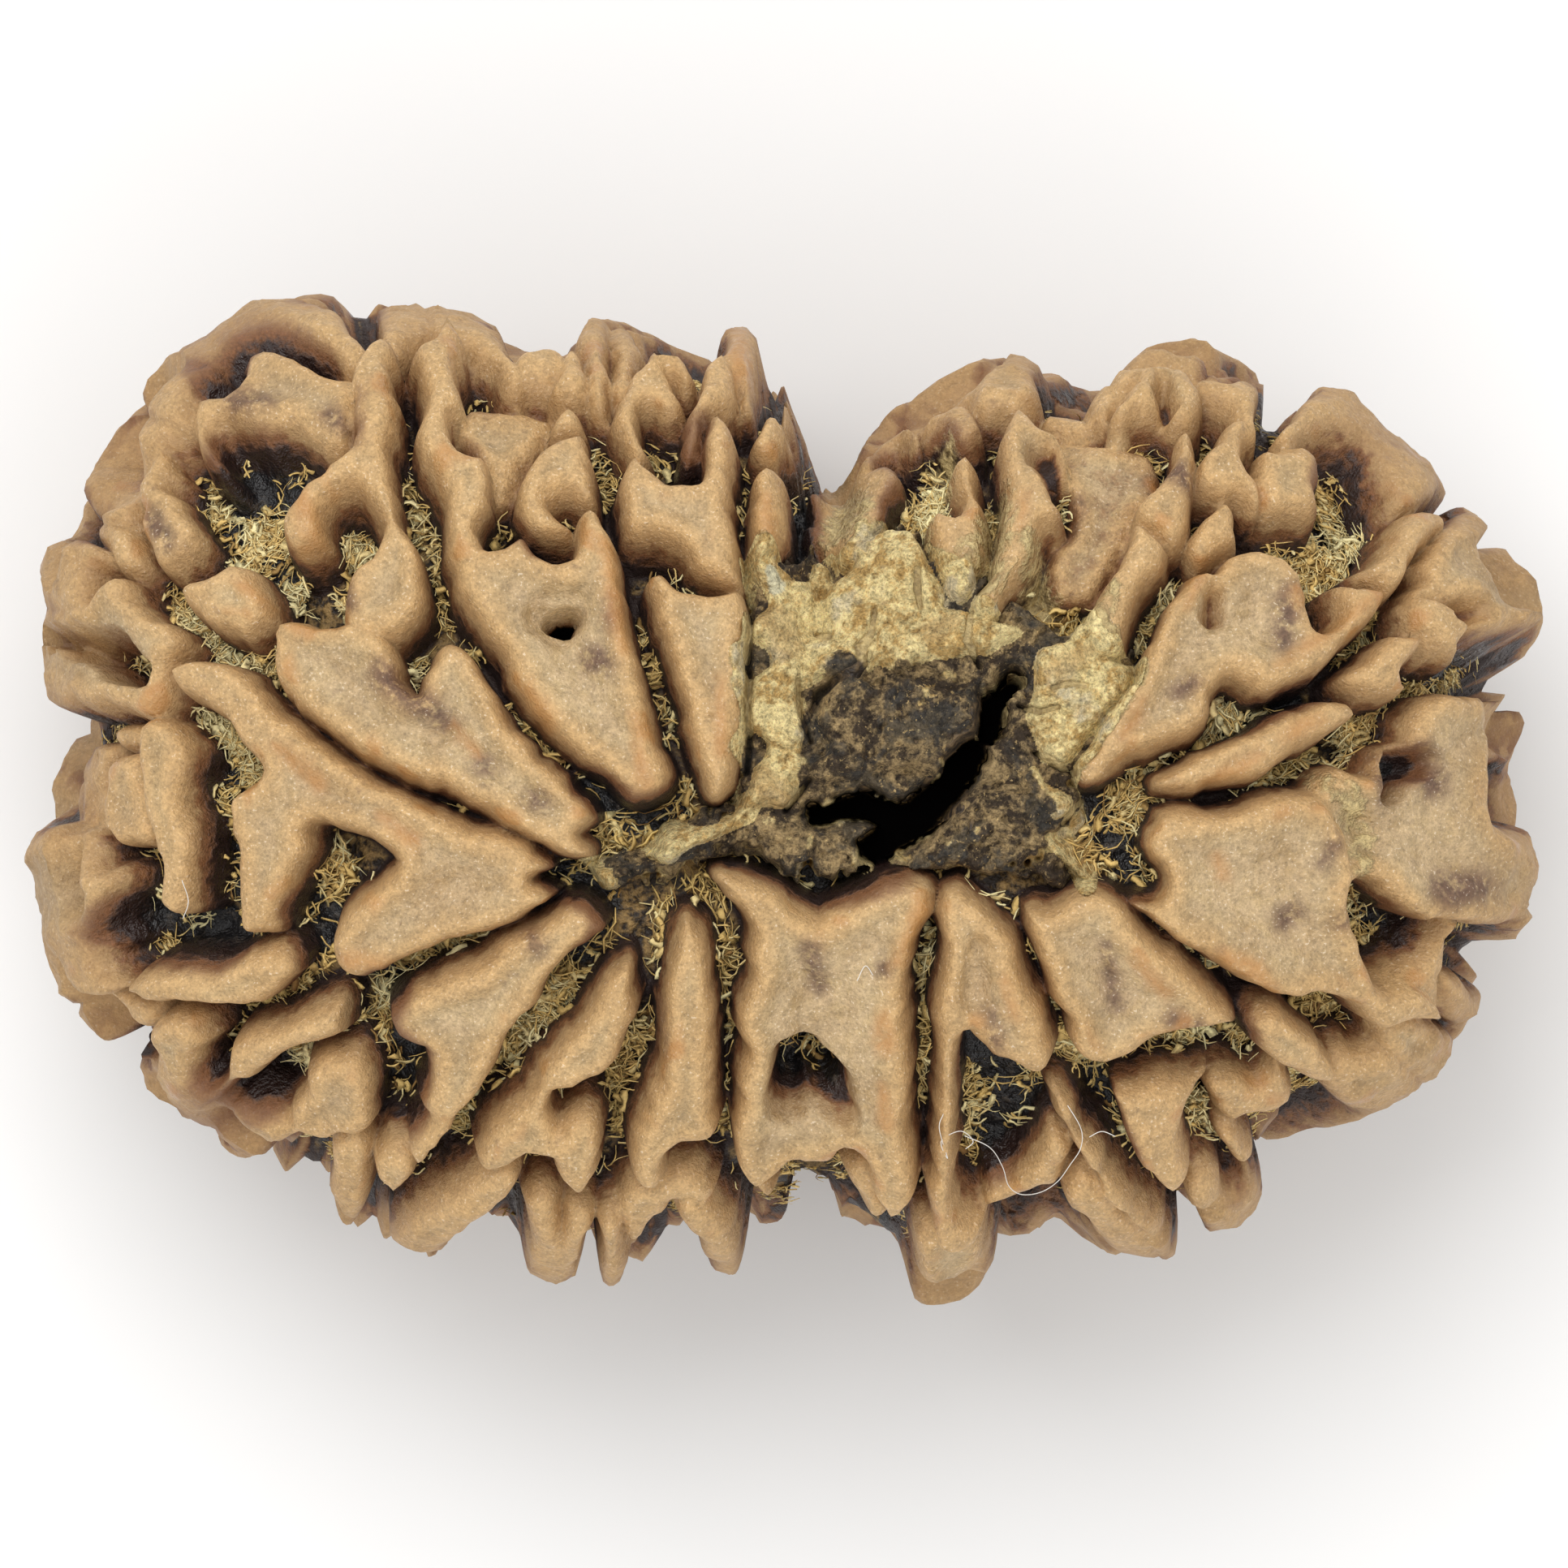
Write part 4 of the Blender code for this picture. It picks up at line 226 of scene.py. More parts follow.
# Thin ridges and teeth: depth, then x, y, half width at each point of the middle line
RIDGES = {
    "left_rim_top": (.12, [-14.75, 9.3, .35, -14.5, 10.2, .4, -13.7, 11, .4, -12.7, 11.35, .4, -11.8,
        11.4, .35, -10.9, 11.2, .4, -10.3, 10.7, .35]),
    "left_rim_side": (.3, [-14.95, 9, .25, -15.7, 8.4, .3, -16.15, 7.7, .35, -16.15, 7, .3]),
    "left_rim_knob": (.5, [-16.2, 6.5, .4, -16.1, 6, .35]),
    "left_loop": (.2, [-16.7, 6, .25, -17.1, 5.8, .4, -17.2, 5.2, .4, -17, 4.7, .3]),
    "left_ledge": (1, [-16.9, 1.3, .25, -17.1, .3, .2, -17.1, -.6, .25]),
    "left_bridge": (.9, [-16.4, 1.7, .4, -15.8, 1.7, .4]),
    "arch": (.3, [11.9, 8.9, .25, 12.5, 9.4, .35, 13.3, 9.45, .35, 14.1, 9, .4, 14.7, 8.2, .45, 14.9, 7.5,
        .35]),
    "heel_back": (.4, [-15, -5.9, .35, -14.7, -6.8, .4, -13.9, -7.3, .35, -13.2, -7.6, .3]),
    "neck": (.5, [-9.6, 11.2, .3, -9.2, 11.6, .35, -8.6, 11.7, .3]),
    "shoulder_back": (.5, [-8.2, 11.6, .35, -7.5, 11.5, .35, -6.9, 11, .3, -6.5, 10.5, .3]),
    "back_knob": (.4, [-6.2, 10.7, .4, -5.7, 10.7, .5]),
    "valley_rise": (.9, [6.2, 9.7, .25, 6.9, 9.6, .25]),
    "tooth_low_a": (.3, [-10.5, -8.5, .5, -10.5, -9.5, .45, -10.5, -10.2, .32]),
    "tooth_low_b": (.3, [-9, -10.5, .42, -8.2, -10.1, .5, -7.4, -9.6, .5, -6.8, -9.1, .45]),
    "tooth_low_c": (.3, [-5.9, -9.8, .42, -5.7, -10.7, .5, -5.4, -11.1, .35, -5, -10.2, .4]),
    "tooth_low_d": (.2, [-4.25, -10.2, .3, -4.15, -11, .28, -4.1, -11.3, .18]),
    "tooth_low_e": (.3, [-2.3, -9.8, .4, -1.7, -10.5, .42, -1.35, -10.95, .25]),
    "tooth_low_f": (.4, [-.8, -9.1, .3, -.5, -9.45, .28]),
    "tooth_low_g": (.4, [1.6, -8.9, .35, 2.1, -9.9, .3]),
    "tooth_low_h": (.3, [7, -9.5, .5, 7.8, -10.25, .45, 8.4, -10.5, .32]),
    "tooth_low_i": (.4, [10.6, -8.2, .3, 10.85, -8.6, .25]),
    "tooth_top_a": (.3, [-3.2, 10.6, .3, -2.7, 10.6, .25, -2.45, 10.35, .22]),
    "tooth_top_b": (.3, [2.8, 9.6, .35, 3.4, 10, .35, 4, 10.2, .3]),
    "tooth_top_c": (.3, [7.9, 10.3, .3, 8.5, 10.6, .3, 9.2, 10.9, .3]),
    "tooth_top_d": (.4, [9.9, 10.3, .3, 10.4, 10.1, .3, 10.9, 9.8, .35, 11, 9.1, .3]),
}
# Dried pulp round the stalk scar: depth, outline
PULP = {
    "pulp_left": (.5, [-1.1, 5.8, -.3, 6.3, .8, 5.8, 1.6, 6.6, 2.6, 7, 3.4, 6, 4.4, 5.2, 5.5, 4.2, 4.7,
        3.3, 3.2, 3.1, 1.8, 2.9, .9, 3, .6, 1.4, .6, .6, -.8, -.5, -2.5, -1.3, -4.5, -2, -4.4, -1.4, -2,
        -.6, -1.2, .8, -1.1, 2.5, -1, 4.2]),
    "pulp_right": (.5, [5.2, 2.9, 5.5, 3.6, 6.2, 4.3, 7.2, 4.4, 7.6, 3.5, 8.1, 3.2, 8, 2.6, 7.5, 1.8, 7,
        .9, 6.5, .3, 6, .6, 5.3, 1.3, 5.1, 2.2]),
    "pulp_tail": (.6, [5.7, 1.2, 6.8, .1, 6.5, -.9, 7.2, -1.9, 6.9, -2, 6.2, -1.4, 5.7, -.8, 6, -.2, 5.6,
        .4]),
    "scar_mound": (.4, [.6, 2.6, 1.2, 3, 2.3, 3.2, 4.4, 3.1, 4.7, 2.3, 4.5, 1.7, 3.6, .7, 1.8, .3, .5, .6,
        .4, 1.4]),
    "scar_mound_low": (.9, [3.7, -.4, 4.2, .4, 5, .8, 5.6, .5, 5.9, -.2, 5.5, -.9, 4.7, -1.3, 4, -1.1]),
}
# Pits and cracks: depth cut, then x, y, half width
PITS = {
    "ear_pit": (1.9, [-16.7, 3.85, .38, -16.2, 3.5, .45, -15.6, 3.2, .3]),
    "trouser_hollow": (.9, [0, -6.9, .48, .2, -6.25, .6, .55, -6.5, .6, .9, -6.8, .5, 1.4, -7.4, .25]),
    "trouser_pit": (1, [-.1, -6.8, .3, .1, -6.35, .45, .5, -6.3, .42, .8, -6.7, .3]),
    "leaf_hole": (1.5, [-5.55, 4.38, .1, -5.32, 4.42, .2, -5.1, 4.52, .1]),
    "leaf_dimple": (.4, [-5.5, 4.5, .62, -5.2, 4.6, .5]),
    "shelf_pit": (1.2, [15.3, .9, .3, 14.7, .9, .4, 14.6, .3, .3]),
    "shelf_valley": (.25, [13, .5, .4, 13.4, -.2, .5, 13.7, -1.2, .4]),
    "hem_pit": (1.3, [13.8, -2.5, .3, 14.3, -3, .5, 14.8, -3.4, .55, 14.5, -4, .35]),
    "cheek_pit": (.8, [16.3, 4.7, .3, 16.6, 4.7, .25]),
    "cheek_gap": (1.3, [16.5, 3.7, .3, 17.2, 3.8, .32]),
    "crown_pit": (.8, [8.9, 10, .22, 9, 9.6, .2]),
    "leaf_b_pit": (.8, [6.1, 8.2, .3, 6.3, 7.8, .25]),
    "saddle_pit": (.8, [10, 4.9, .15, 10.05, 4.4, .15]),
    "rib_valley": (.25, [4.4, -3.4, .25, 4.4, -4.6, .3, 4.5, -5.3, .3]),
    "scar_slot_a": (2.4, [.7, -.35, .2, 1.8, -.15, .28, 2.7, -.4, .25]),
    "scar_slot_b": (2.6, [1.9, -1.2, .28, 2.8, -.6, .32, 3.6, .3, .32, 4.3, 1.3, .28]),
    "pulp_crack_a": (2.2, [5.3, 3.2, .16, 4.8, 2.6, .2, 4.75, 1.8, .2]),
}
# Gaps between the teeth round the girdle: depth cut, then x, y, half width
GAPS = [
    (1.4, [.6, -9.1, .45, .6, -10.2, .5, .6, -12, .5]),
    (1.2, [1.4, -10.3, .25, 2.1, -11, .45, 2.5, -12, .4]), (.6, [4.95, -10.7, .28, 5.05, -11.8, .3]),
    (.8, [5.3, -11, .35, 6.3, -10.6, .42, 7.6, -11.1, .3]), (.6, [9.25, -9.9, .18, 9.3, -11.2, .25]),
    (.9, [16.5, -3.7, .3, 17.3, -3.7, .42, 18.3, -3.4, .4]),
    (.5, [17.6, 2.2, .25, 17.6, .8, .5, 17.7, -.4, .25]), (.8, [16.9, 3, .28, 18, 2.9, .4]),
    (.9, [11.5, 9.3, .28, 11.9, 10.4, .4]), (.4, [10, 11, .25, 11, 11, .45, 11.6, 10.8, .3]),
    (.9, [-.45, 10.3, .25, -.2, 11.4, .35]), (.8, [-11.4, -8.8, .38, -11.8, -9.8, .4]),
    (.6, [-9.75, -9.8, .2, -9.9, -10.9, .25]), (.6, [-6.6, -10.2, .28, -6.4, -11.4, .28]),
    (.8, [-4.65, -10.5, .14, -4.7, -11.8, .25]), (.6, [-3.05, -10.7, .28, -3, -11.9, .35]),
    (.6, [-1, -9.9, .12, -.8, -11.4, .22]), (.45, [-10.1, 11.5, .3, -10.1, 12.4, .45])]
# Outline that touches the outermost crests, seen from the scar
GIRDLE = [
    -18, -2, -17.9, .5, -17.75, 3.5, -17.8, 5.6, -16.6, 8.3, -15, 10.3, -12.5, 11.8, -9, 12.1, -6.5, 11.7,
    -4.2, 11.9, -1, 11.5, .2, 9.6, 1.15, 7.85, 2.3, 9.3, 5, 10.8, 7.5, 10.6, 9.5, 11.15, 13.2, 9.95, 15.5,
    7.9, 18, 5.1, 17.7, 2.5, 18, -1.8, 17, -4.5, 15.8, -6.5, 13.7, -7.8, 12.2, -8.6, 10.8, -10.2, 8.7,
    -10.95, 6, -10.8, 3.7, -12.05, 1, -10.9, -1.2, -11.3, -4.15, -11.55, -5.6, -11.5, -9, -10.9, -10.6,
    -10.35, -13.5, -8.5, -15.6, -6.8, -17, -5]
# Crests worn flat, which the nut lies on: x, y, radius
REST_PADS = [(0.0, 0.0, 1.5), (-5.2, 1.4, 0.9), (5.4, 0.9, 0.9), (0.6, -3.4, 0.8)]


def curve_through(before, start, end, after, steps):
    """Points from start towards end on a cubic set by the four neighbours of each stretch."""
    t = (np.arange(steps) / steps)[None, :, None]
    before, start, end, after = [row[:, None, :] for row in (before, start, end, after)]
    curve = 0.5 * (2 * start + (end - before) * t + (2 * before - 5 * start + 4 * end - after) * t ** 2
                   + (3 * start - before - 3 * end + after) * t ** 3)
    return curve.reshape(-1, 2)


def smooth_loop(numbers, steps=3):
    """Closed curve through the points of a flat list."""
    mid = np.array(numbers, float).reshape(-1, 2)
    return curve_through(np.roll(mid, 1, 0), mid, np.roll(mid, -1, 0), np.roll(mid, -2, 0), steps)


def depth_inside(x, y, loop):
    """Distance to a closed outline, positive inside: nearest of its sides, signed by counting crossings."""
    nearest = np.full(x.shape, 1e9)
    inside = np.zeros(x.shape, bool)
    for (ax, ay), (bx, by) in zip(loop, np.roll(loop, -1, 0)):
        ex, ey = bx - ax, by - ay
        t = np.clip(((x - ax) * ex + (y - ay) * ey) / max(ex * ex + ey * ey, 1e-9), 0, 1)
        nearest = np.minimum(nearest, (x - ax - t * ex) ** 2 + (y - ay - t * ey) ** 2)
        if abs(ey) > 1e-9:
            inside ^= ((ay > y) != (by > y)) & (x < ax + (y - ay) * ex / ey)
    return np.sqrt(nearest) * np.where(inside, 1, -1)


def depth_in_stroke(x, y, numbers):
    """Depth inside a stroke: half its width there, less the distance to its middle line."""
    line = np.array(numbers, float).reshape(-1, 3)
    best = np.full(x.shape, -1e9)
    for (ax, ay, ar), (bx, by, br) in zip(line[:-1], line[1:]):
        ex, ey = bx - ax, by - ay
        t = np.clip(((x - ax) * ex + (y - ay) * ey) / (ex * ex + ey * ey), 0, 1)
        best = np.maximum(best, ar + t * (br - ar) - np.hypot(x - ax - t * ex, y - ay - t * ey))
    return best


def eased(value):
    """Runs from 0 to 1 with a soft start and end: 3t² - 2t³."""
    t = np.clip(value, 0, 1)
    return t * t * (3 - 2 * t)


def wander(place, scale, seed):
    """Smooth noise between -1 and 1: random values on a cubic lattice, eased from one to the next."""
    cells = 32
    lattice = np.random.default_rng(seed).uniform(-1, 1, (cells, cells, cells))
    whole = np.floor(place / scale).astype(int)
    part = place / scale - whole
    ease = part * part * (3 - 2 * part)
    total = np.zeros(len(place))
    for corner in np.ndindex(2, 2, 2):
        weight = np.ones(len(place))
        for axis, step in enumerate(corner):
            weight = weight * (ease[:, axis] if step else 1 - ease[:, axis])
        index = [(whole[:, axis] + step) % cells for axis, step in enumerate(corner)]
        total += weight * lattice[index[0], index[1], index[2]]
    return total


def wander_in_two(place, size, finer, share, seed, finer_seed):
    """Smooth noise of one size and a share of a finer one."""
    return wander(place, size, seed) + share * wander(place, finer, finer_seed)


FOOT, SHOULDER, FOOT_EASE, SHOULDER_EASE = 0.20, 0.60, 1.30, 3.2
LIP_RISE, LIP_INSET, LIP_SPREAD, TOP_SAG = 0.09, 0.48, 0.27, 0.15


def rib_section(inset, steep=1.0):
    """Height of a rib from the depth inside its edge: steep foot, round shoulder, raised lip, hollow top."""
    t = np.clip((inset + FOOT) * steep / SHOULDER, 0, 1)
    lip = LIP_RISE * np.exp(-((inset - LIP_INSET) / LIP_SPREAD) ** 2)
    sag = TOP_SAG * np.clip((inset - 2 * LIP_INSET) / SHOULDER, 0, 1)
    return 1 - (1 - t ** FOOT_EASE) ** SHOULDER_EASE + (lip - sag) * t


def girdle_radius(angle):
    """Distance from the middle to the outline through the outermost crests, for an angle round the pole."""
    loop = smooth_loop(GIRDLE, 6)
    bearing = np.arctan2(loop[:, 1], loop[:, 0])
    order = np.argsort(bearing)
    return np.interp(angle, bearing[order], np.hypot(loop[order, 0], loop[order, 1]), period=2 * math.pi)


SIDE_SQUARENESS = 2.3
WAIST_X, WAIST_DROP, WAIST_SPREAD = 1.0, 0.06, 3.0


def waist(x):
    """Share of the full height at each x: a little lower where the seeds meet."""
    return 1 - WAIST_DROP * np.exp(-((x - WAIST_X) / WAIST_SPREAD) ** 2)


def crest_skin(around, polar):
    """Skin over all crests at two angles, round the pole and down from it: a rounded box of the girdle's
    outline, r = radius sin^p, z = height cos^p."""
    power = 2 / SIDE_SQUARENESS
    angle = np.arctan2(WIDTH * np.sin(around), LENGTH * np.cos(around))
    radius = girdle_radius(angle) * np.sin(polar) ** power
    x = radius * np.cos(angle)
    up = np.cos(polar)
    z = HALF_HEIGHT * waist(x) * np.sign(up) * np.abs(up) ** power
    return np.stack([x, radius * np.sin(angle), z], 1)


SPINE_HALF, LEAN = 8.0, 1.6


def outward(place):
    """Direction in which the relief stands: away from a spine through both seeds, leaning to the poles."""
    away = place.copy()
    away[:, 0] -= np.clip(place[:, 0], -SPINE_HALF, SPINE_HALF)
    away[:, 2] *= LEAN
    return away / np.linalg.norm(away, axis=1)[:, None]


EDGE_START, EDGE_SLACK = 0.93, 0.05
FAR_FULL, FAR_TWIST, FAR_DRAW, FAR_WANDER, FAR_SCALE = 8.0, math.radians(16), 0.30, 1.4, 5.0


def plan_place(crest, turned=1.0):
    """Where each point reads the rib layout: slower over the girdle, so that ribs run straight over the
    edge, then turned, wandering and drawn in towards the far pole."""
    behind = turned * eased(-crest[:, 2] / FAR_FULL)
    angle = np.arctan2(crest[:, 1], crest[:, 0])
    share = np.hypot(crest[:, 0], crest[:, 1]) / girdle_radius(angle)
    over = np.maximum(share - EDGE_START, 0)
    share = share - over + EDGE_SLACK * (1 - np.exp(-over / EDGE_SLACK))
    share = share + FAR_DRAW * behind * (1 - share)
    angle = angle + FAR_TWIST * behind
    reach = share * girdle_radius(angle)
    x = reach * np.cos(angle) + FAR_WANDER * behind * wander(crest, FAR_SCALE, SEED + 1)
    y = reach * np.sin(angle) + FAR_WANDER * behind * wander(crest, FAR_SCALE, SEED + 2)
    return x, y


MARGIN = 1.2


def near(x, y, numbers, per_point):
    """Indices of the places that a feature can reach: those in its box, widened by its margin."""
    points = np.array(numbers, float).reshape(-1, per_point)[:, :2]
    low, high = points.min(0) - MARGIN, points.max(0) + MARGIN
    return np.nonzero((x > low[0]) & (x < high[0]) & (y > low[1]) & (y < high[1]))[0]


# Size, finer size and its share: lumps on the floor, knobs along outlines, dents in plates
FLOOR, KNOBS, DENTS = (1.1, 0.5, 0.6), (0.85, 0.85 / 2.3, 0.5), (0.75, 0.75 / 2.7, 0.6)
FLOOR_LEVEL, FLOOR_ROUGH, KNOB_SWING, RIDGE_KNOBS, DENT_DEPTH = 0.10, 0.10, 0.13, 0.6, 0.042
SPREAD = 0.08
PULP_RAGGED, PULP_SCALE, PULP_EDGE, PULP_FOOT = 0.45, 0.7, 1.0, 0.4
PIT_EDGE, PIT_RIM, SHADED_PITS, DEEP_CUT = 0.30, 0.12, ("scar", "pulp", "leaf_hole"), 0.5
BELT_TOP, BELT_BLEND, BELT_STEEP = 4.6, 2.0, 0.5


def girdle_belt(crest):
    """How far each place is in the belt round the girdle and the far side, 0 to 1."""
    return eased((BELT_TOP - crest[:, 2]) / BELT_BLEND)


def cut_by(cut, inset):
    """What a cut of this depth takes from the height, with sloping sides."""
    return cut / GROOVE_DEPTH * np.clip(inset / PIT_EDGE + 0.5, 0, 1)


def soft_inside(inset):
    """Mask of what lies inside an outline, a little past it."""
    return eased(inset / 0.5 + 0.7)


def relief(crest):
    """Height of the wood over the groove floor at each place on the crest skin: the highest of the floor,
    plates, ridges and pulp, less the pits. Round the girdle the ribs are steeper and blunter. Also how deep
    inside its plate each place lies, a tone that changes from plate to plate, and where the pulp is."""
    x, y = plan_place(crest)
    knobs = KNOB_SWING * wander_in_two(crest, *KNOBS, SEED + 8, SEED + 9)
    dents = DENT_DEPTH * wander_in_two(crest, *DENTS, SEED + 10, SEED + 12)
    height = FLOOR_LEVEL + FLOOR_ROUGH * wander_in_two(crest, *FLOOR, SEED + 3, SEED + 4)
    steep = 1 + BELT_STEEP * girdle_belt(crest)
    deep = np.full(len(crest), -1.0)
    edge = np.full(len(crest), -1.0)
    tone, pulp, mound, pit = np.zeros((4, len(crest)))
    shades = np.random.default_rng(SEED + 20)

    def raise_to(at, depth, inset):
        """Lifts these places to a rib of this depth where that is higher than what is there."""
        level = (1 - depth / GROOVE_DEPTH) * rib_section(inset, steep[at])
        level = level - dents[at] * eased(inset / SHOULDER)
        higher = level > height[at]
        height[at] = np.where(higher, level, height[at])
        deep[at] = np.where(higher, np.maximum(deep[at], inset), deep[at])
        edge[at] = np.maximum(edge[at], inset)
        tone[at] = np.where(higher, shades.uniform(-1, 1), tone[at])

    for depth, outline in PLATES.values():
        at = near(x, y, outline, 2)
        raise_to(at, depth, depth_inside(x[at], y[at], smooth_loop(outline)) + SPREAD + knobs[at])
    for depth, line in RIDGES.values():
        at = near(x, y, line, 3)
        raise_to(at, depth, depth_in_stroke(x[at], y[at], line) + SPREAD + RIDGE_KNOBS * knobs[at])
    near_side = crest[:, 2] > 0
    for name, (depth, outline) in PULP.items():
        at = near(x, y, outline, 2)
        at = at[near_side[at]]
        ragged = PULP_RAGGED * wander(crest[at], PULP_SCALE, SEED + 7)
        inset = depth_inside(x[at], y[at], smooth_loop(outline)) + ragged
        top = (1 - (depth - ragged / 2) / GROOVE_DEPTH) * eased(inset / PULP_EDGE + PULP_FOOT)
        height[at] = np.maximum(height[at], top)
        stuff = mound if name.startswith("scar") else pulp
        stuff[at] = np.maximum(stuff[at], soft_inside(inset))
    for name, (cut, line) in PITS.items():
        at = near(x, y, line, 3)
        at = at[near_side[at]]
        inset = depth_in_stroke(x[at], y[at], line) + knobs[at]
        height[at] -= cut_by(cut, inset)
        # These pits are painted near black as shade
        if name.startswith(SHADED_PITS):
            pit[at] = np.maximum(pit[at], soft_inside(inset))
        elif cut > DEEP_CUT:
            edge[at] = np.minimum(edge[at], PIT_RIM - inset)
    return height, {"deep": deep, "edge": edge, "tone": tone, "pulp": pulp, "mound": mound, "pit": pit,
                    "x": x, "y": y}


SADDLE_LENGTH, SADDLE_DIP, SADDLE_GAIN, SADDLE_START = 1.9, 0.60, 1.8, 0.06
WEB_LENGTH, WEB_HEIGHT, WEB_GAIN, WEB_START, WEB_RIM = 1.5, 0.42, 2.2, 0.23, 0.35


def weathered_belt(crest, height, edge):
    """Round the girdle the ribs rise and dip along their length, short webs bridge the grooves, and gaps
    part the teeth."""
    belt = girdle_belt(crest)
    dip = np.clip(SADDLE_GAIN * (wander(crest, SADDLE_LENGTH, SEED + 5) - SADDLE_START), 0, 1)
    web = np.clip(WEB_GAIN * (wander(crest, WEB_LENGTH, SEED + 6) - WEB_START), 0, 1)
    lowered = height * (1 - SADDLE_DIP * belt * dip)
    bridge = WEB_HEIGHT * belt * web
    edge = np.where(bridge > lowered, np.maximum(edge, bridge - WEB_RIM), edge)
    height = np.maximum(lowered, bridge)
    x, y = plan_place(crest, 0.0)
    for cut, line in GAPS:
        at = near(x, y, line, 3)
        inset = depth_in_stroke(x[at], y[at], line)
        height[at] -= cut_by(cut, inset)
        edge[at] = np.minimum(edge[at], PIT_RIM - inset)
    return height, edge


def painted(x, y, strokes, soft):
    """How far each place lies in any of these strokes, 0 to 1, with an edge of this softness in mm."""
    mask = np.zeros(len(x))
    for line in strokes:
        at = near(x, y, line, 3)
        mask[at] = np.maximum(mask[at], eased(depth_in_stroke(x[at], y[at], line) / soft + 0.5))
    return mask


# Clear amber wood, where crests are worn through: strokes of x, y, half width
AMBER = [
    [9.8, .5, .1, 10.6, .85, .2, 11.1, 1.1, .1], [11.6, 1.5, .1, 12.1, 1.75, .2, 12.5, 1.95, .1],
    [7.85, 1.5, .1, 8.15, 2, .17, 8.35, 2.4, .08], [11.5, 3.2, .08, 12.6, 3.9, .15, 13.7, 4.7, .1],
    [9.4, 4.6, .1, 9.65, 5.1, .12], [5.45, 6.3, .08, 5.6, 7.2, .12], [2.2, -4.9, .15, 2.25, -5.6, .27],
    [2.2, -6.6, .12, 2.3, -7.4, .2], [10.3, -3.6, .2, 10.9, -3.9, .3, 11.4, -4.3, .12],
    [10.1, -1.2, .1, 10.3, -1.7, .16], [8.2, -3.7, .15, 8.9, -4.4, .2], [5.9, -4, .1, 6.1, -4.9, .13],
    [5.1, -4.1, .1, 5.3, -4.9, .12], [-10.4, -3.65, .22, -9.5, -3.75, .15],
    [-12.1, 1.35, .12, -11.1, .45, .2], [-6.2, 2.7, .12, -5.7, 1.9, .2], [-3.6, 1.4, .1, -3.4, .5, .2],
    [-1.65, 2.9, .08, -1.6, 1.2, .16], [-.55, 7.2, .12, -.5, 6.2, .22, -.4, 5.7, .1],
    [-1.2, 11.4, .15, -1.1, 10.4, .27], [-8.3, 4.6, .15, -8.2, 5.2, .2], [-9.6, -.3, .12, -8.9, -.9, .18],
    [-7.9, 1.8, .1, -7.4, 1.2, .15], [-4.3, 5.9, .15, -4.1, 4.6, .22, -3.9, 3.5, .12],
    [3.1, -2.4, .15, 2.8, -3.4, .22], [-12.4, 4.7, .1, -12.9, 5.1, .2], [-11.5, 7.1, .2, -11.3, 6.3, .25]]
# Purple stains in the skin
STAINS = [
    [11.8, -2.8, .32, 12, -2.6, .25], [13, -2.75, .2, 13.2, -2.6, .15], [-7.25, .9, .28, -7.1, .8, .2],
    [-6, .1, .25, -5.8, 0, .2], [-4.6, 3.4, .35, -4.3, 3.2, .2], [-4.1, 4.6, .3, -4.2, 4.2, .2],
    [11.7, 3.8, .25, 11.8, 4.8, .3], [9.2, 2.6, .2, 9.5, 2.8, .2], [15.2, 1, .5, 15.6, .4, .3],
    [15.8, -2.1, .45, 16.6, -2, .35], [7.5, -3.3, .13, 7.7, -4.8, .18], [2.2, -3.9, .22, 2.3, -3.7, .15],
    [4.8, -5, .18, 4.9, -5.6, .15], [12.9, -.9, .2, 12.6, -1.4, .16], [-6.2, -3, .2, -5.9, -3.4, .18],
    [-9.6, 3, .35, -8.9, 2.5, .4, -8, 1.8, .2], [-15.4, 6.9, .3, -14.9, 6.3, .25],
    [-10.9, 9.2, .25, -10.6, 8.9, .2], [.5, -3.4, .25, .7, -4.4, .2], [-3.1, -5, .15, -3, -6, .15],
    [9, -5, .2, 9.6, -5.2, .2], [6.6, 6.9, .2, 6.8, 7.6, .25], [8.6, 8.2, .3, 9.4, 7.6, .3],
    [-10.8, 5.4, .3, -10.4, 4.6, .2], [13.9, 1.6, .2, 14.2, .1, .2], [-13.2, 9.6, .3, -12.4, 9.6, .2]]
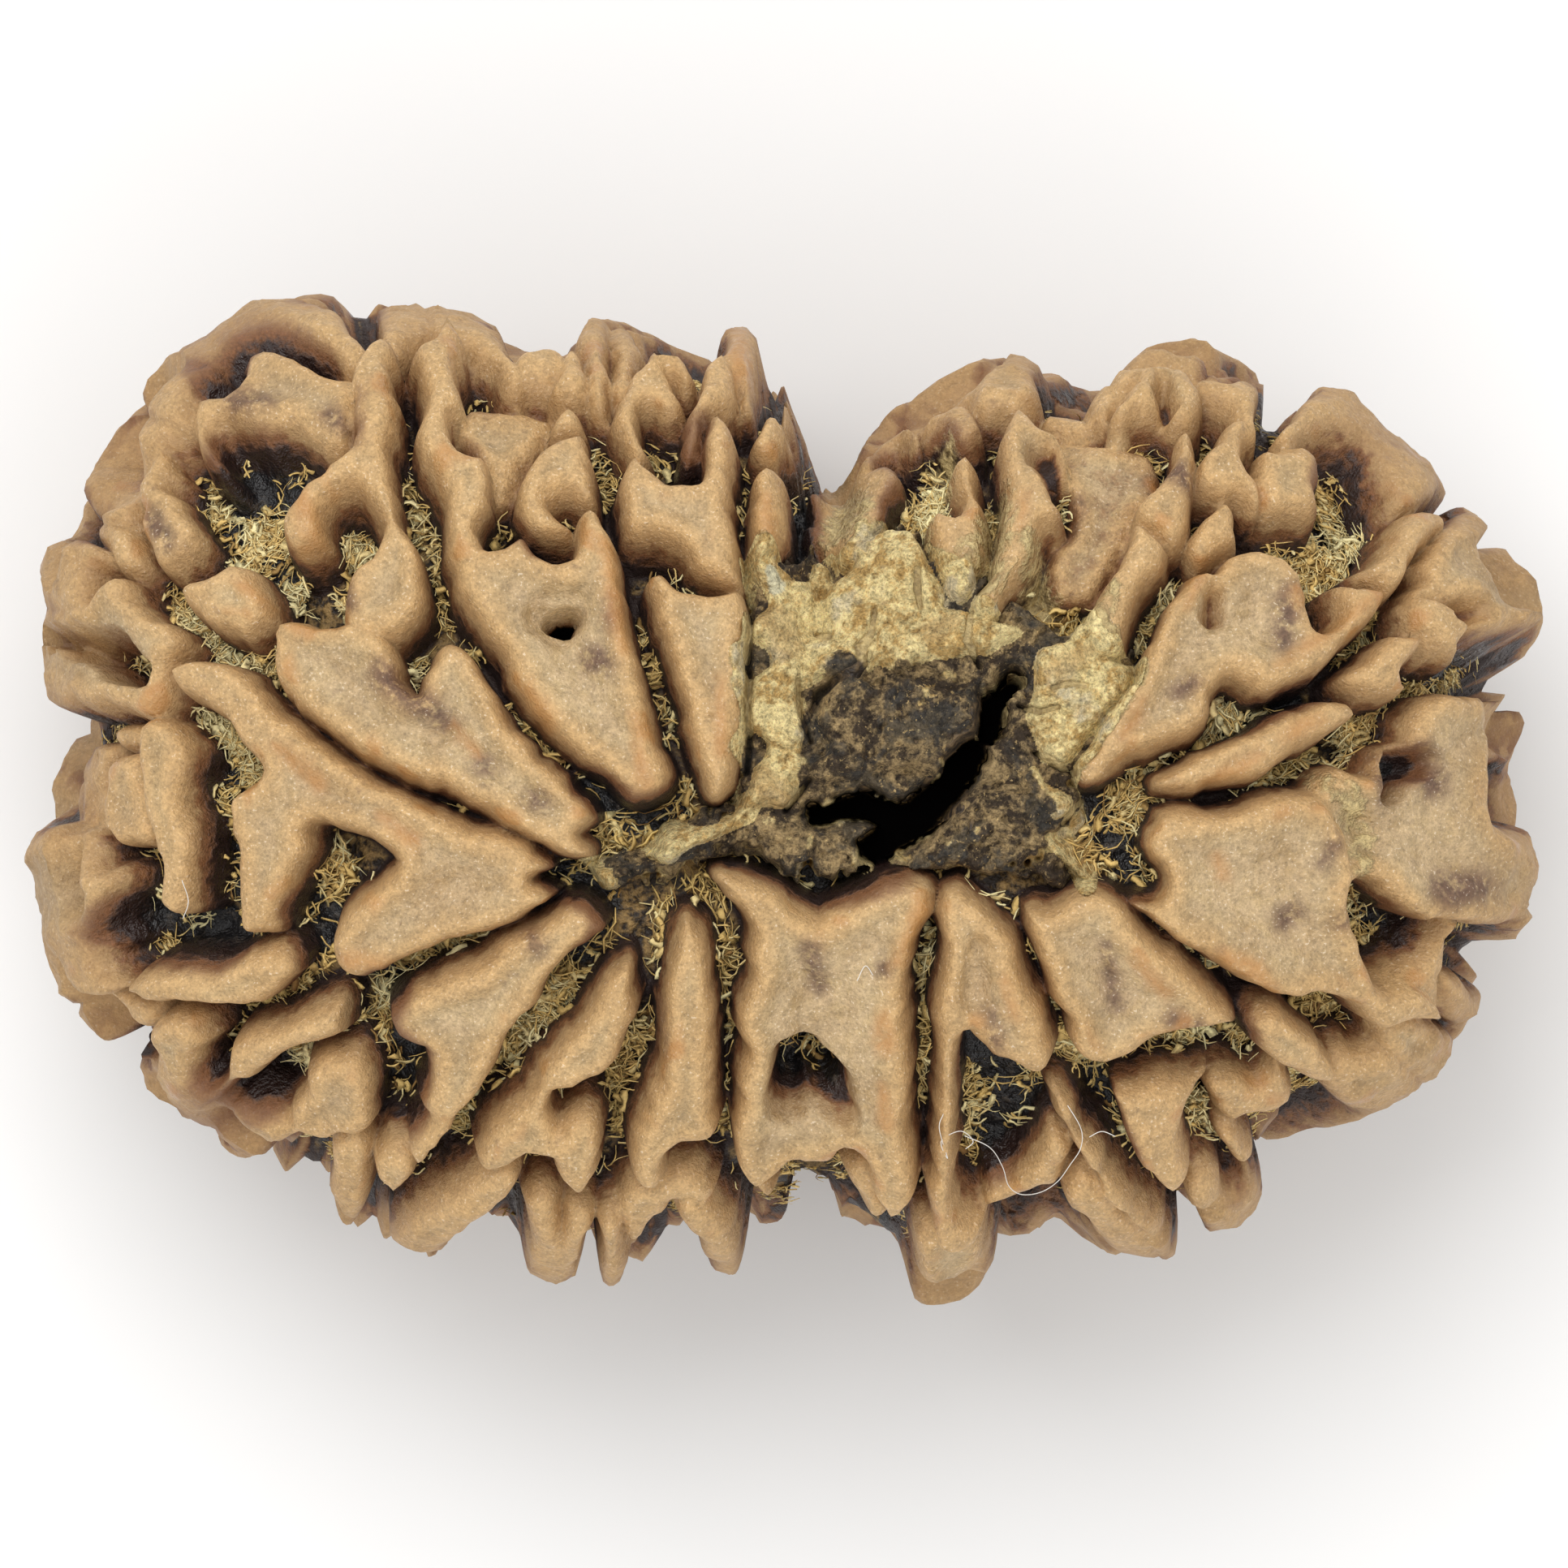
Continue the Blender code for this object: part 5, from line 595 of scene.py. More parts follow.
# Hollows and feet of ribs painted near black: partly the stone's own dark colour, partly painted shade
DARK_HOLLOWS = [
    [-14, 7.4, .5, -13.6, 8.6, .45, -12.6, 8.5, .6, -11.7, 8.1, .5, -11.6, 7.6, .4],
    [-13.9, 10, .3, -13.2, 10.1, .3, -13, 10.6, .25, -12.3, 11.1, .25, -11.7, 11.05, .25, -11.1, 10.7,
     .2],
    [-12.9, 6.4, .4, -12.2, 6, .3], [-16.3, 3.7, .5, -15.8, 3.3, .4],
    [-14, .8, .35, -13.7, -.3, .45, -13.8, -2.3, .35], [-17, -2.5, .5, -15.6, -3.3, .6, -13.6, -3.6, .5],
    [-11.6, -2.6, .5, -11.3, -3.8, .4], [-9.7, -4.3, .5, -9, -5.6, .6, -9.2, -7.4, .6],
    [-14.2, -6.9, .5, -12.8, -7.6, .5], [-4.7, .4, .45, -3.6, -.2, .6, -2.7, 0, .4],
    [-5.4, -1.8, .4, -4.4, -2.6, .45, -4.9, -4, .3], [0, -6.8, .35, .3, -6.4, .5, .9, -6.8, .35],
    [-1, -1, .5, .8, -1.9, .55, 2.4, -2, .5], [7.1, 0, .5, 7.8, -1.1, .55, 8.1, -2, .4],
    [4.6, -6.4, .6, 5.2, -7.8, .7, 4.8, -8.9, .5], [9.6, -5.8, .4, 10.9, -5.6, .4],
    [15, -3.3, .5, 14.5, -2.9, .4], [15.1, .9, .5, 14.5, .9, .3], [12.6, 7.9, .6, 13.6, 7.2, .5],
    [16.8, 3.7, .5, 17.2, 3.8, .3], [.4, 8.4, .5, .6, 7.2, .4, .4, 6.2, .4],
    [2.3, 8.2, .4, 2.3, 7.2, .4, 2.5, 6.8, .3], [-7.5, 8.6, .35, -7.2, 9.6, .4],
    [-6.6, 6.6, .3, -6, 5.8, .3], [-2.2, 9, .4, -2.6, 7.6, .3], [10.7, 1.9, .3, 12.6, 2.7, .3],
    [-9.9, 9.8, .3, -10.1, 8.4, .3], [4, 9.2, .4, 3.2, 8.2, .3], [7.3, -7.3, .4, 8.2, -8.4, .4]]
# Ribs that pulp dust lies on
DUSTED = [
    [2.6, 6.2, .6, 3.3, 7.4, .5, 3.7, 8.8, .4], [4.4, 5.4, .8, 4.9, 6.8, .5, 5, 7.6, .3],
    [6, 4.8, .6, 5.7, 6.2, .4], [7.2, 4.2, .4, 7.6, 5, .3], [7.1, 2.4, .5, 7.3, 3.6, .4],
    [1, 6.5, .4, 1.6, 7.2, .5], [12.8, .5, .3, 13.4, .1, .45, 13.8, -.8, .45, 13.7, -1.7, .3]]

AROUND, NEAR_ROWS, FAR_ROWS = 1500, 330, 170
PIT_FLOOR = -0.60


def stone_grid():
    """Skin over all crests as points of one closed ball: the scar's pole, row after row, the far pole."""
    polar = np.concatenate([np.linspace(0, math.pi / 2, NEAR_ROWS + 1)[1:],
                            np.linspace(math.pi / 2, math.pi, FAR_ROWS + 1)[1:-1]])
    around = np.linspace(0, 2 * math.pi, AROUND, endpoint=False)
    rows = crest_skin(np.tile(around, len(polar)), np.repeat(polar, AROUND))
    poles = crest_skin(np.zeros(2), np.array([0, math.pi]))
    return np.concatenate([poles[:1], rows, poles[1:]]), len(polar)


def ball_faces(rows, around):
    """Corner numbers of a ball's faces: a fan at each pole and four-sided faces between the rows."""
    turn = np.arange(around)
    after = (turn + 1) % around
    top = np.stack([np.zeros(around, int), 1 + turn, 1 + after], 1)
    row = 1 + np.arange(rows - 1)[:, None] * around
    quads = np.stack([row + turn, row + around + turn, row + around + after, row + after], 2).reshape(-1, 4)
    last = 1 + (rows - 1) * around
    foot = np.stack([last + after, last + turn, np.full(around, last + around)], 1)
    return top, quads, foot


def sunk_skin(crest, height):
    """Pushes the crest skin in against the outward direction by what its relief lacks."""
    sunk = GROOVE_DEPTH * (1 - np.clip(height, PIT_FLOOR, 1 + LIP_RISE))
    return crest - outward(crest) * sunk[:, None]


def piece_of(name, place, faces, masks):
    """A piece from points in mm and arrays of faces' corners, with one number per point for each mask."""
    mesh = bpy.data.meshes.new(name)
    corners = np.concatenate([part.ravel() for part in faces])
    sizes = np.concatenate([np.full(len(part), part.shape[1]) for part in faces])
    mesh.vertices.add(len(place))
    mesh.vertices.foreach_set("co", (place * MM).astype(np.float32).ravel())
    mesh.loops.add(len(corners))
    mesh.loops.foreach_set("vertex_index", corners.astype(np.int32))
    mesh.polygons.add(len(sizes))
    mesh.polygons.foreach_set("loop_start", (np.cumsum(sizes) - sizes).astype(np.int32))
    mesh.update(calc_edges=True)
    for key, values in masks.items():
        mesh.attributes.new(key, "FLOAT", "POINT").data.foreach_set("value", values.astype(np.float32))
    mesh.shade_smooth()
    piece = bpy.data.objects.new(name, mesh)
    bpy.context.scene.collection.objects.link(piece)
    return piece


FACES_KEPT, FAR_BELOW, NEAR_CARE = 196000, -2.5, 1e-4
FRONT_BLEND, LOW_SHADE_TOP, LOW_SHADE_BLEND = 2, 6.5, 6


def thinned(piece, far, triangles):
    """Thins a mesh of this many triangles to FACES_KEPT, mostly where it is smooth and on the far side.
    Every point has a weight over 0, because Decimate thins nothing round those without one."""
    dense = piece.data
    group = piece.vertex_groups.new(name="thinning")
    group.add(np.nonzero(far)[0].tolist(), 1.0, "REPLACE")
    group.add(np.nonzero(~far)[0].tolist(), 0.5, "REPLACE")
    thin = piece.modifiers.new("thin", "DECIMATE")
    thin.ratio = FACES_KEPT / triangles
    thin.vertex_group, thin.vertex_group_factor = "thinning", NEAR_CARE
    light = bpy.data.meshes.new_from_object(piece.evaluated_get(bpy.context.evaluated_depsgraph_get()))
    piece.modifiers.clear()
    piece.vertex_groups.clear()
    piece.data = light
    bpy.data.meshes.remove(dense)
    light.name = piece.name


def masked_stone():
    """The whole stone on its grid, thinned, and the skin's own arrays for what lies on it."""
    crest, rows = stone_grid()
    height, marks = relief(crest)
    height, marks["edge"] = weathered_belt(crest, height, marks["edge"])
    under = np.nonzero(crest[:, 2] < 0)[0]
    for pad_x, pad_y, radius in REST_PADS:
        pad = rib_section(radius - np.hypot(crest[under, 0] - pad_x, crest[under, 1] - pad_y))
        height[under] = np.maximum(height[under], pad)
        marks["edge"][under] = np.maximum(marks["edge"][under], pad - 0.5)
    place = sunk_skin(crest, height)
    front = eased(crest[:, 2] / FRONT_BLEND + 0.6)
    skin = {"place": place, "up": outward(crest), "height": height, "front": front, **marks}
    # belt: painted shade, browner towards the low side of the stone, round the girdle and below it
    masks = {"belt": eased((LOW_SHADE_TOP - crest[:, 2]) / LOW_SHADE_BLEND), "rise": np.clip(height, 0, 1)}
    masks.update({key: marks[key] for key in ("deep", "edge", "tone", "pulp", "mound", "pit")})
    # Of these marks, the dark hollows are partly the stone's own colour and partly painted shade
    for key, strokes, soft in (("amber", AMBER, 0.3), ("stain", STAINS, 0.5), ("hollow_dark", DARK_HOLLOWS, 0.9),
                               ("dusted", DUSTED, 0.7)):
        masks[key] = painted(marks["x"], marks["y"], strokes, soft) * front
    skin["hollow_dark"] = masks["hollow_dark"]
    piece = piece_of("ribbed_stone", place, ball_faces(rows, AROUND), masks)
    thinned(piece, place[:, 2] < FAR_BELOW, 2 * rows * AROUND)
    return piece, skin


REST_CUT, HAIR_INSIDE = 0.45, 1e-5


def seated(places):
    """Cuts the lowest crests flat and fits the points to the plain solid's box, a hair inside it."""
    places[:, 2] = np.maximum(places[:, 2], places[:, 2].min() + REST_CUT * MM)
    low, high = places.min(0), places.max(0)
    box_low, box_high = [np.array(corner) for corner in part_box("rudraksha_nut")]
    hair = np.array([HAIR_INSIDE, HAIR_INSIDE, 0])
    scale = (box_high - box_low - 2 * hair) / (high - low)
    shift = box_low + hair - low * scale
    places[:] = places * scale + shift
    return scale, shift


stone, skin = masked_stone()
stone_place = np.empty(len(stone.data.vertices) * 3, np.float32)
stone.data.vertices.foreach_get("co", stone_place)
stone_place = stone_place.reshape(-1, 3).astype(float)
stone_scale, stone_shift = seated(stone_place)
stone.data.vertices.foreach_set("co", stone_place.astype(np.float32).ravel())
stone.data.update()


def on_stone(place):
    """Places of the unseated skin, in mm, moved as seating moved the stone."""
    return place * stone_scale + stone_shift / MM


skin["place"] = on_stone(skin["place"])


def new_material(name):
    """A node material, as (material, node tree, principled shader)."""
    material = bpy.data.materials.new(name)
    material.use_nodes = True
    return material, material.node_tree, material.node_tree.nodes["Principled BSDF"]


def put(tree, kind, **inputs):
    """A node of this kind. Inputs are numbers, colours or other nodes' outputs, by socket name with _ for a
    space, or by I and the socket's number. A name in small letters is the node's own setting."""
    node = tree.nodes.new(kind)
    for key, value in inputs.items():
        if hasattr(node, key) and not key[0].isupper():
            setattr(node, key, value)
            continue
        numbered = key[0] == "I" and key[1:].isdigit()
        socket = node.inputs[int(key[1:]) if numbered else key.replace("_", " ")]
        if isinstance(value, bpy.types.NodeSocket):
            tree.links.new(value, socket)
        else:
            socket.default_value = value
    return node


def feed(shader, **inputs):
    """Links outputs to a shader's sockets, by socket name with _ for a space."""
    for key, value in inputs.items():
        shader.id_data.links.new(value, shader.inputs[key.replace("_", " ")])


def bumped(shader, strength, distance, height):
    """Bump on a shader from a height, this many metres deep."""
    bump = put(shader.id_data, "ShaderNodeBump", Strength=strength, Distance=distance, Height=height)
    feed(shader, Normal=bump.outputs["Normal"])


def mark(tree, name):
    """One of the piece's own masks."""
    return put(tree, "ShaderNodeAttribute", attribute_name=name).outputs["Fac"]


def noise(where, size, detail=3.0, rough=0.55):
    """Noise of features about this size in mm, 0 to 1."""
    return put(where.id_data, "ShaderNodeTexNoise", Vector=where, Scale=1 / (size * MM), Detail=detail,
               Roughness=rough).outputs["Fac"]


def span(value, low, high, to_low=0.0, to_high=1.0):
    """Maps low..high to to_low..to_high with soft ends."""
    return put(value.id_data, "ShaderNodeMapRange", interpolation_type="SMOOTHSTEP", Value=value, I1=low,
               I2=high, I3=to_low, I4=to_high).outputs["Result"]


def sums(operation, a, b, clamp=False):
    """One sum of two values, at least one of them a node's output."""
    tree = (a if isinstance(a, bpy.types.NodeSocket) else b).id_data
    return put(tree, "ShaderNodeMath", operation=operation, use_clamp=clamp, I0=a, I1=b).outputs["Value"]


def plus(a, b):
    """a + b."""
    return sums("ADD", a, b)


def less(a, b):
    """a - b."""
    return sums("SUBTRACT", a, b)


def times(a, b, clamp=False):
    """a times b, kept to 0..1 if clamped."""
    return sums("MULTIPLY", a, b, clamp)


def most(a, b, clamp=False):
    """The greater of a and b, kept to 0..1 if clamped."""
    return sums("MAXIMUM", a, b, clamp)


def mixed(factor, under, over):
    """Colour over the one under it, by a factor."""
    return put(factor.id_data, "ShaderNodeMix", data_type="RGBA", I0=factor, I6=under, I7=over).outputs[2]


def toned(colour, tone):
    """A colour made lighter or darker by a tone round 1."""
    return put(tone.id_data, "ShaderNodeVectorMath", operation="SCALE", I0=colour,
               Scale=tone).outputs["Vector"]


def srgb(red, green, blue):
    """Linear colour of a colour given as it looks, 0 to 255."""
    share = np.array([red, green, blue]) / 255
    return (*np.where(share <= 0.04045, share / 12.92, ((share + 0.055) / 1.055) ** 2.4), 1.0)


def sand_grain():
    """Node group: the fine grain of old fruit stone and dust, as a tone round 1 and a height."""
    tree = bpy.data.node_groups.new("sand_grain", "ShaderNodeTree")
    sockets = {}
    for name, way, kind in (("Vector", "INPUT", "Vector"), ("Size mm", "INPUT", "Float"),
                            ("Contrast", "INPUT", "Float"), ("Tone", "OUTPUT", "Float"),
                            ("Height", "OUTPUT", "Float")):
        sockets[name] = tree.interface.new_socket(name, in_out=way, socket_type="NodeSocket" + kind)
    sockets["Size mm"].default_value, sockets["Contrast"].default_value = 0.1, 0.2
    given = tree.nodes.new("NodeGroupInput").outputs
    result = tree.nodes.new("NodeGroupOutput").inputs
    scale = sums("DIVIDE", 1 / MM, given["Size mm"])
    fine = put(tree, "ShaderNodeTexNoise", Vector=given["Vector"], Scale=scale, Detail=2.5, Roughness=0.7)
    half = times(scale, 0.34)
    coarse = put(tree, "ShaderNodeTexNoise", Vector=given["Vector"], Scale=half, Detail=2.0, Roughness=0.6)
    both = plus(times(fine.outputs["Fac"], 0.6), times(coarse.outputs["Fac"], 0.4))
    swing = times(less(both, 0.5), times(given["Contrast"], 6.0))
    tree.links.new(plus(swing, 1.0), result["Tone"])
    tree.links.new(both, result["Height"])
    return tree


grain_group = sand_grain()


def grain(where, size, contrast):
    """The grain group at this size in mm and contrast: its tone and its height."""
    node = put(where.id_data, "ShaderNodeGroup", node_tree=grain_group, Vector=where, Size_mm=size,
               Contrast=contrast)
    return node.outputs["Tone"], node.outputs["Height"]


TAN_DEEP, TAN, TAN_WARM = srgb(166, 138, 96), srgb(188, 162, 119), srgb(176, 142, 98)
PINK_BLOOM, GOLDEN_RIM, CLEAR_AMBER = srgb(200, 174, 138), srgb(202, 163, 110), srgb(186, 132, 74)
PURPLE_STAIN, GLINT_WHITE, LOW_SIDE_SHADE = srgb(82, 52, 46), srgb(236, 222, 200), srgb(138, 102, 62)
FLANK_SHADE, WALL_BROWN_AND_SHADE = srgb(158, 118, 76), srgb(112, 70, 44)
# Browns and blacks of rib feet and walls: partly the stone's own colour, partly painted shade
FOOT_BROWN_AND_SHADE, FOOT_BLACK_AND_SHADE = srgb(124, 82, 50), srgb(48, 32, 28)
FLOOR_DARK, FLOOR_STRAW = srgb(40, 30, 22), srgb(156, 126, 78)
GLAZED_BLACK, GREY_BLOOM = srgb(27, 25, 26), srgb(84, 76, 68)
DUST_DEEP, DUST = srgb(150, 128, 84), srgb(200, 178, 126)
CRUMB_DARK, CRUMB, PIT_SHADE_BLACK = srgb(48, 40, 34), srgb(120, 98, 68), srgb(5, 4, 4)
SKIN_BUMP = 0.00011


def stone_material():
    """Old fruit stone: plates with a greyish pink bloom, golden rims, amber worn through, purple stains and
    white specks painted as glints; painted shade on the rib flanks and the low side; a dark line round the
    foot of each rib, partly its own colour and partly painted shade; a dark floor with straw and grey bloom,
    khaki dust and pulp, and holes painted near black as shade."""
    material, tree, shader = new_material("nut_wood")
    where = put(tree, "ShaderNodeTexCoord").outputs["Object"]
    rise, deep, edge = mark(tree, "rise"), mark(tree, "deep"), mark(tree, "edge")
    patches, specks = noise(where, 1.6, 3.0, 0.6), noise(where, 0.35, 3.0, 0.65)
    tone, grit = grain(where, 0.075, 0.34)
    half = less(specks, 0.5)
    tan = mixed(span(patches, 0.35, 0.65), TAN_DEEP, TAN)
    tan = mixed(times(mark(tree, "tone"), 0.35, True), tan, TAN_WARM)
    bloom = times(span(deep, 0.5, 1.1), span(specks, 0.30, 0.62))
    tan = mixed(times(bloom, 0.5), tan, PINK_BLOOM)
    rim = times(span(deep, 0.85, 0.35), span(deep, -0.05, 0.2))
    tan = mixed(times(rim, 0.75), tan, GOLDEN_RIM)
    rare = span(noise(where, 1.3, 1.0, 0.5), 0.62, 0.72)
    amber = most(mark(tree, "amber"), times(rare, rim), True)
    blot = span(noise(where, 0.8, 3.0, 0.65), 0.64, 0.74)
    stained = most(times(mark(tree, "stain"), span(specks, 0.28, 0.55)), times(blot, 0.35), True)
    tan = mixed(times(stained, 0.85), tan, PURPLE_STAIN)
    # Painted glints: sparse tiny white specks over the colour
    glint_specks = span(noise(where, 0.075, 1.0, 0.5), 0.66, 0.74)
    tan = mixed(times(glint_specks, 0.45), toned(tan, tone), GLINT_WHITE)
    clear = times(amber, span(specks, 0.25, 0.60, 0.35, 0.75))
    tan = mixed(clear, tan, CLEAR_AMBER)
    # Painted shade: the low side of the stone browner, with dark spots there that add to the dark hollows
    belt = mark(tree, "belt")
    tan = mixed(times(belt, 0.5), tan, LOW_SIDE_SHADE)
    # The dark line round each rib's foot, partly the stone's own colour and partly painted shade: brown at
    #     the outline and lower down, near black just outside it and deeper still, wider in the dark hollows
    low_side_shade_spots = times(belt, span(noise(where, 1.1, 2.0, 0.6), 0.46, 0.62, 0.0, 0.55))
    hollow_dark = most(mark(tree, "hollow_dark"), low_side_shade_spots)
    ragged = plus(edge, times(half, 0.22))
    out = less(ragged, times(hollow_dark, 0.16))
    wall_dark_and_shade = times(span(less(ragged, times(hollow_dark, 0.5)), 0.20, -0.30), span(hollow_dark, 0.05, 0.5))
    # Painted shade: flanks browner down from the rib's shoulder to its outline
    tan = mixed(times(span(ragged, 0.34, 0.04), 0.45), tan, FLANK_SHADE)
    tan = mixed(times(wall_dark_and_shade, 0.85), tan, WALL_BROWN_AND_SHADE)
    # The lower in the relief, the darker: painted shade in the grooves
    low = plus(rise, times(half, 0.30))
    shade = most(span(out, 0.07, -0.03), span(low, 0.50, 0.30), True)
    colour = mixed(shade, tan, toned(FOOT_BROWN_AND_SHADE[:3], tone))
    dark = most(span(out, -0.01, -0.10), span(low, 0.34, 0.20), True)
    colour = mixed(dark, colour, FOOT_BLACK_AND_SHADE)
    # The floor: matted straw between black, glazed stone with grey bloom
    straw = mixed(span(specks, 0.40, 0.62), FLOOR_DARK, FLOOR_STRAW)
    black = mixed(span(specks, 0.52, 0.72), GLAZED_BLACK, GREY_BLOOM)
    char = span(plus(hollow_dark, less(patches, 0.5)), 0.22, 0.5)
    ground = toned(mixed(char, straw, black), tone)
    colour = mixed(span(out, -0.16, -0.28), colour, ground)
    # Pulp dust, the dark heap in the scar, and holes painted near black as shade
    khaki = mixed(span(specks, 0.35, 0.65), DUST_DEEP, DUST)
    pulpy = most(mark(tree, "pulp"), times(mark(tree, "dusted"), 0.62))
    dust = span(plus(pulpy, half), 0.3, 0.7)
    colour = mixed(dust, colour, toned(khaki, tone))
    crumb = mixed(span(specks, 0.38, 0.68), CRUMB_DARK, CRUMB)
    heap = span(plus(mark(tree, "mound"), half), 0.3, 0.6)
    colour = mixed(heap, colour, toned(crumb, tone))
    # Holes painted near black as shade, the deeper the blacker
    hole_shade = times(mark(tree, "pit"), span(rise, 0.5, 0.2))
    colour = mixed(span(hole_shade, 0.2, 0.7), colour, PIT_SHADE_BLACK)
    gloss = plus(span(specks, 0.3, 0.7, 0.52, 0.72), times(amber, -0.25))
    feed(shader, Base_Color=colour, Roughness=less(gloss, times(char, times(dark, 0.25))),
         Specular_IOR_Level=span(hole_shade, 0.1, 0.5, 0.5, 0.0))
    skin_bump = plus(times(grit, 0.5), times(noise(where, 0.30, 4.0, 0.6), 0.65))
    coarse = times(most(most(dust, heap), dark, True), times(specks, 2.2))
    bumped(shader, 0.8, SKIN_BUMP, plus(skin_bump, coarse))
    return material


stone.data.materials.clear()
stone.data.materials.append(stone_material())
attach(stone, "root")
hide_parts("rudraksha_nut")

# The dried pulp round the scar
# What is left of the fruit's flesh: a khaki crust, cracked and crumbly, and a dark heap in the scar itself.
# It dried on the stone and clings to it, so it follows the stone's relief with grains of its own.
CRUST_LEFT, CRUST_RIGHT, CRUST_LOW, CRUST_TOP, CRUST_STEP = -5.2, 8.6, -2.7, 7.4, 0.039
GRAIN_SIZES, GRAIN_HEIGHTS = (0.62, 0.29, 0.14), (0.17, 0.15, 0.12)
LUMP_REACH, FLAKE_HEIGHT, CRACK_DEPTH, BED_DEPTH = 0.85, 0.10, 0.5, 0.95
CRUST_PROUD, CRUST_HIDDEN, ROOT_DEPTH = 0.05, 0.30, 2.0
# Strokes of x, y, half width: a spot of wax, glazed gum, cracks cut in and painted black as shade, the
# second one running on along the shadow under the crust at the heap's edge; and the outline of the bed of
# pulp
WAX = [
    [-.45, 5.6, .12, -.3, 5.25, .2]]
GLAZE = [
    [-.35, 4.4, .4, 0, 3.8, .35], [-.7, .6, .35, -.3, .15, .45], [3.4, 4.2, .3, 3.9, 4.4, .2],
    [6.4, 3.2, .3, 7, 3.6, .2]]
CRACKS = [
    [3, 5.6, .05, 2.97, 5.1, .07, 3.05, 4.7, .03],
    [2, 4.7, .03, 1.97, 4.15, .05, 1.68, 3.75, .13, 1.75, 3.4, .1, 1.55, 3.15, .12, 1.1, 3, .1, .7, 2.75,
     .12, .55, 2.3, .05],
    [.62, 4.02, .06, .86, 4, .08], [5.8, 1.25, .05, 6.3, 1, .08, 6.8, .75, .05],
    [6.2, 2.75, .03, 6.6, 2.85, .06, 7, 2.8, .03],
    [-.95, 5, .06, -1, 3.5, .07, -.9, 2, .06, -.95, .8, .07],
    [5.4, 2.4, .04, 5.9, 2.2, .06, 6.3, 2.3, .03], [4.5, 3.4, .06, 4.2, 3.9, .07, 4.3, 4.6, .03],
    [.2, 3, .03, .25, 2.2, .05, .5, 1.5, .04], [-.1, -.2, .05, .3, .3, .06, .5, .6, .05],
    [6.9, .1, .04, 6.5, -.5, .06]]
BED = [
    -1, 6, 1, 6.3, 3, 6.6, 5, 5.2, 6.4, 4.4, 7.8, 4, 8, 2.4, 6.9, .6, 6.6, -.6, 6.3, -1.8, 5, -1.9, 3.4,
    -1.6, 1.4, -1.9, -.8, -1.3, -2.6, -1.5, -4.2, -1.8, -2, -.6, -1.2, .8, -1.1, 3]


def pebbles(x, y, size, seed):
    """Rounded lumps, one to a square cell of this size at a random place in it: each is a dome 1 - d², and
    the highest shows. Also each place's tone, the same all over one lump."""
    cells = 64
    draw = np.random.default_rng(seed)
    spot = draw.uniform(0.1, 0.9, (cells, cells, 2))
    tall = draw.uniform(0.3, 1, (cells, cells))
    shade = draw.uniform(-1, 1, (cells, cells))
    column, row = np.floor(x / size).astype(int), np.floor(y / size).astype(int)
    best, tone = np.zeros(len(x)), np.zeros(len(x))
    for across in (-1, 0, 1):
        for along in (-1, 0, 1):
            i, j = (column + across) % cells, (row + along) % cells
            gap = np.hypot(x / size - column - across - spot[i, j, 0],
                           y / size - row - along - spot[i, j, 1])
            dome = tall[i, j] * (1 - np.minimum(gap / LUMP_REACH, 1) ** 2)
            tone = np.where(dome > best, shade[i, j], tone)
            best = np.maximum(best, dome)
    return best, tone


def plan_crest(x, y):
    """The crest skin above a place seen from the scar: z = height (1 - share^s)^(1/s), s the squareness."""
    share = np.clip(np.hypot(x, y) / girdle_radius(np.arctan2(y, x)), 0, 0.999)
    z = HALF_HEIGHT * waist(x) * (1 - share ** SIDE_SQUARENESS) ** (1 / SIDE_SQUARENESS)
    return np.stack([x, y, z], 1)


def sheet_faces(wide, deep):
    """Corner numbers of a grid's faces, of its rim in turn, and of a fan from the rim to one more point."""
    corner = np.arange(deep - 1)[:, None] * wide + np.arange(wide - 1)
    quads = np.stack([corner, corner + 1, corner + wide + 1, corner + wide], 2).reshape(-1, 4)
    right = wide * np.arange(1, deep) + wide - 1
    back = wide * (deep - 1) + np.arange(wide - 2, -1, -1)
    rim = np.concatenate([np.arange(wide), right, back, wide * np.arange(deep - 2, 0, -1)])
    fan = np.stack([np.roll(rim, -1), rim, np.full(len(rim), wide * deep)], 1)
    return quads, rim, fan


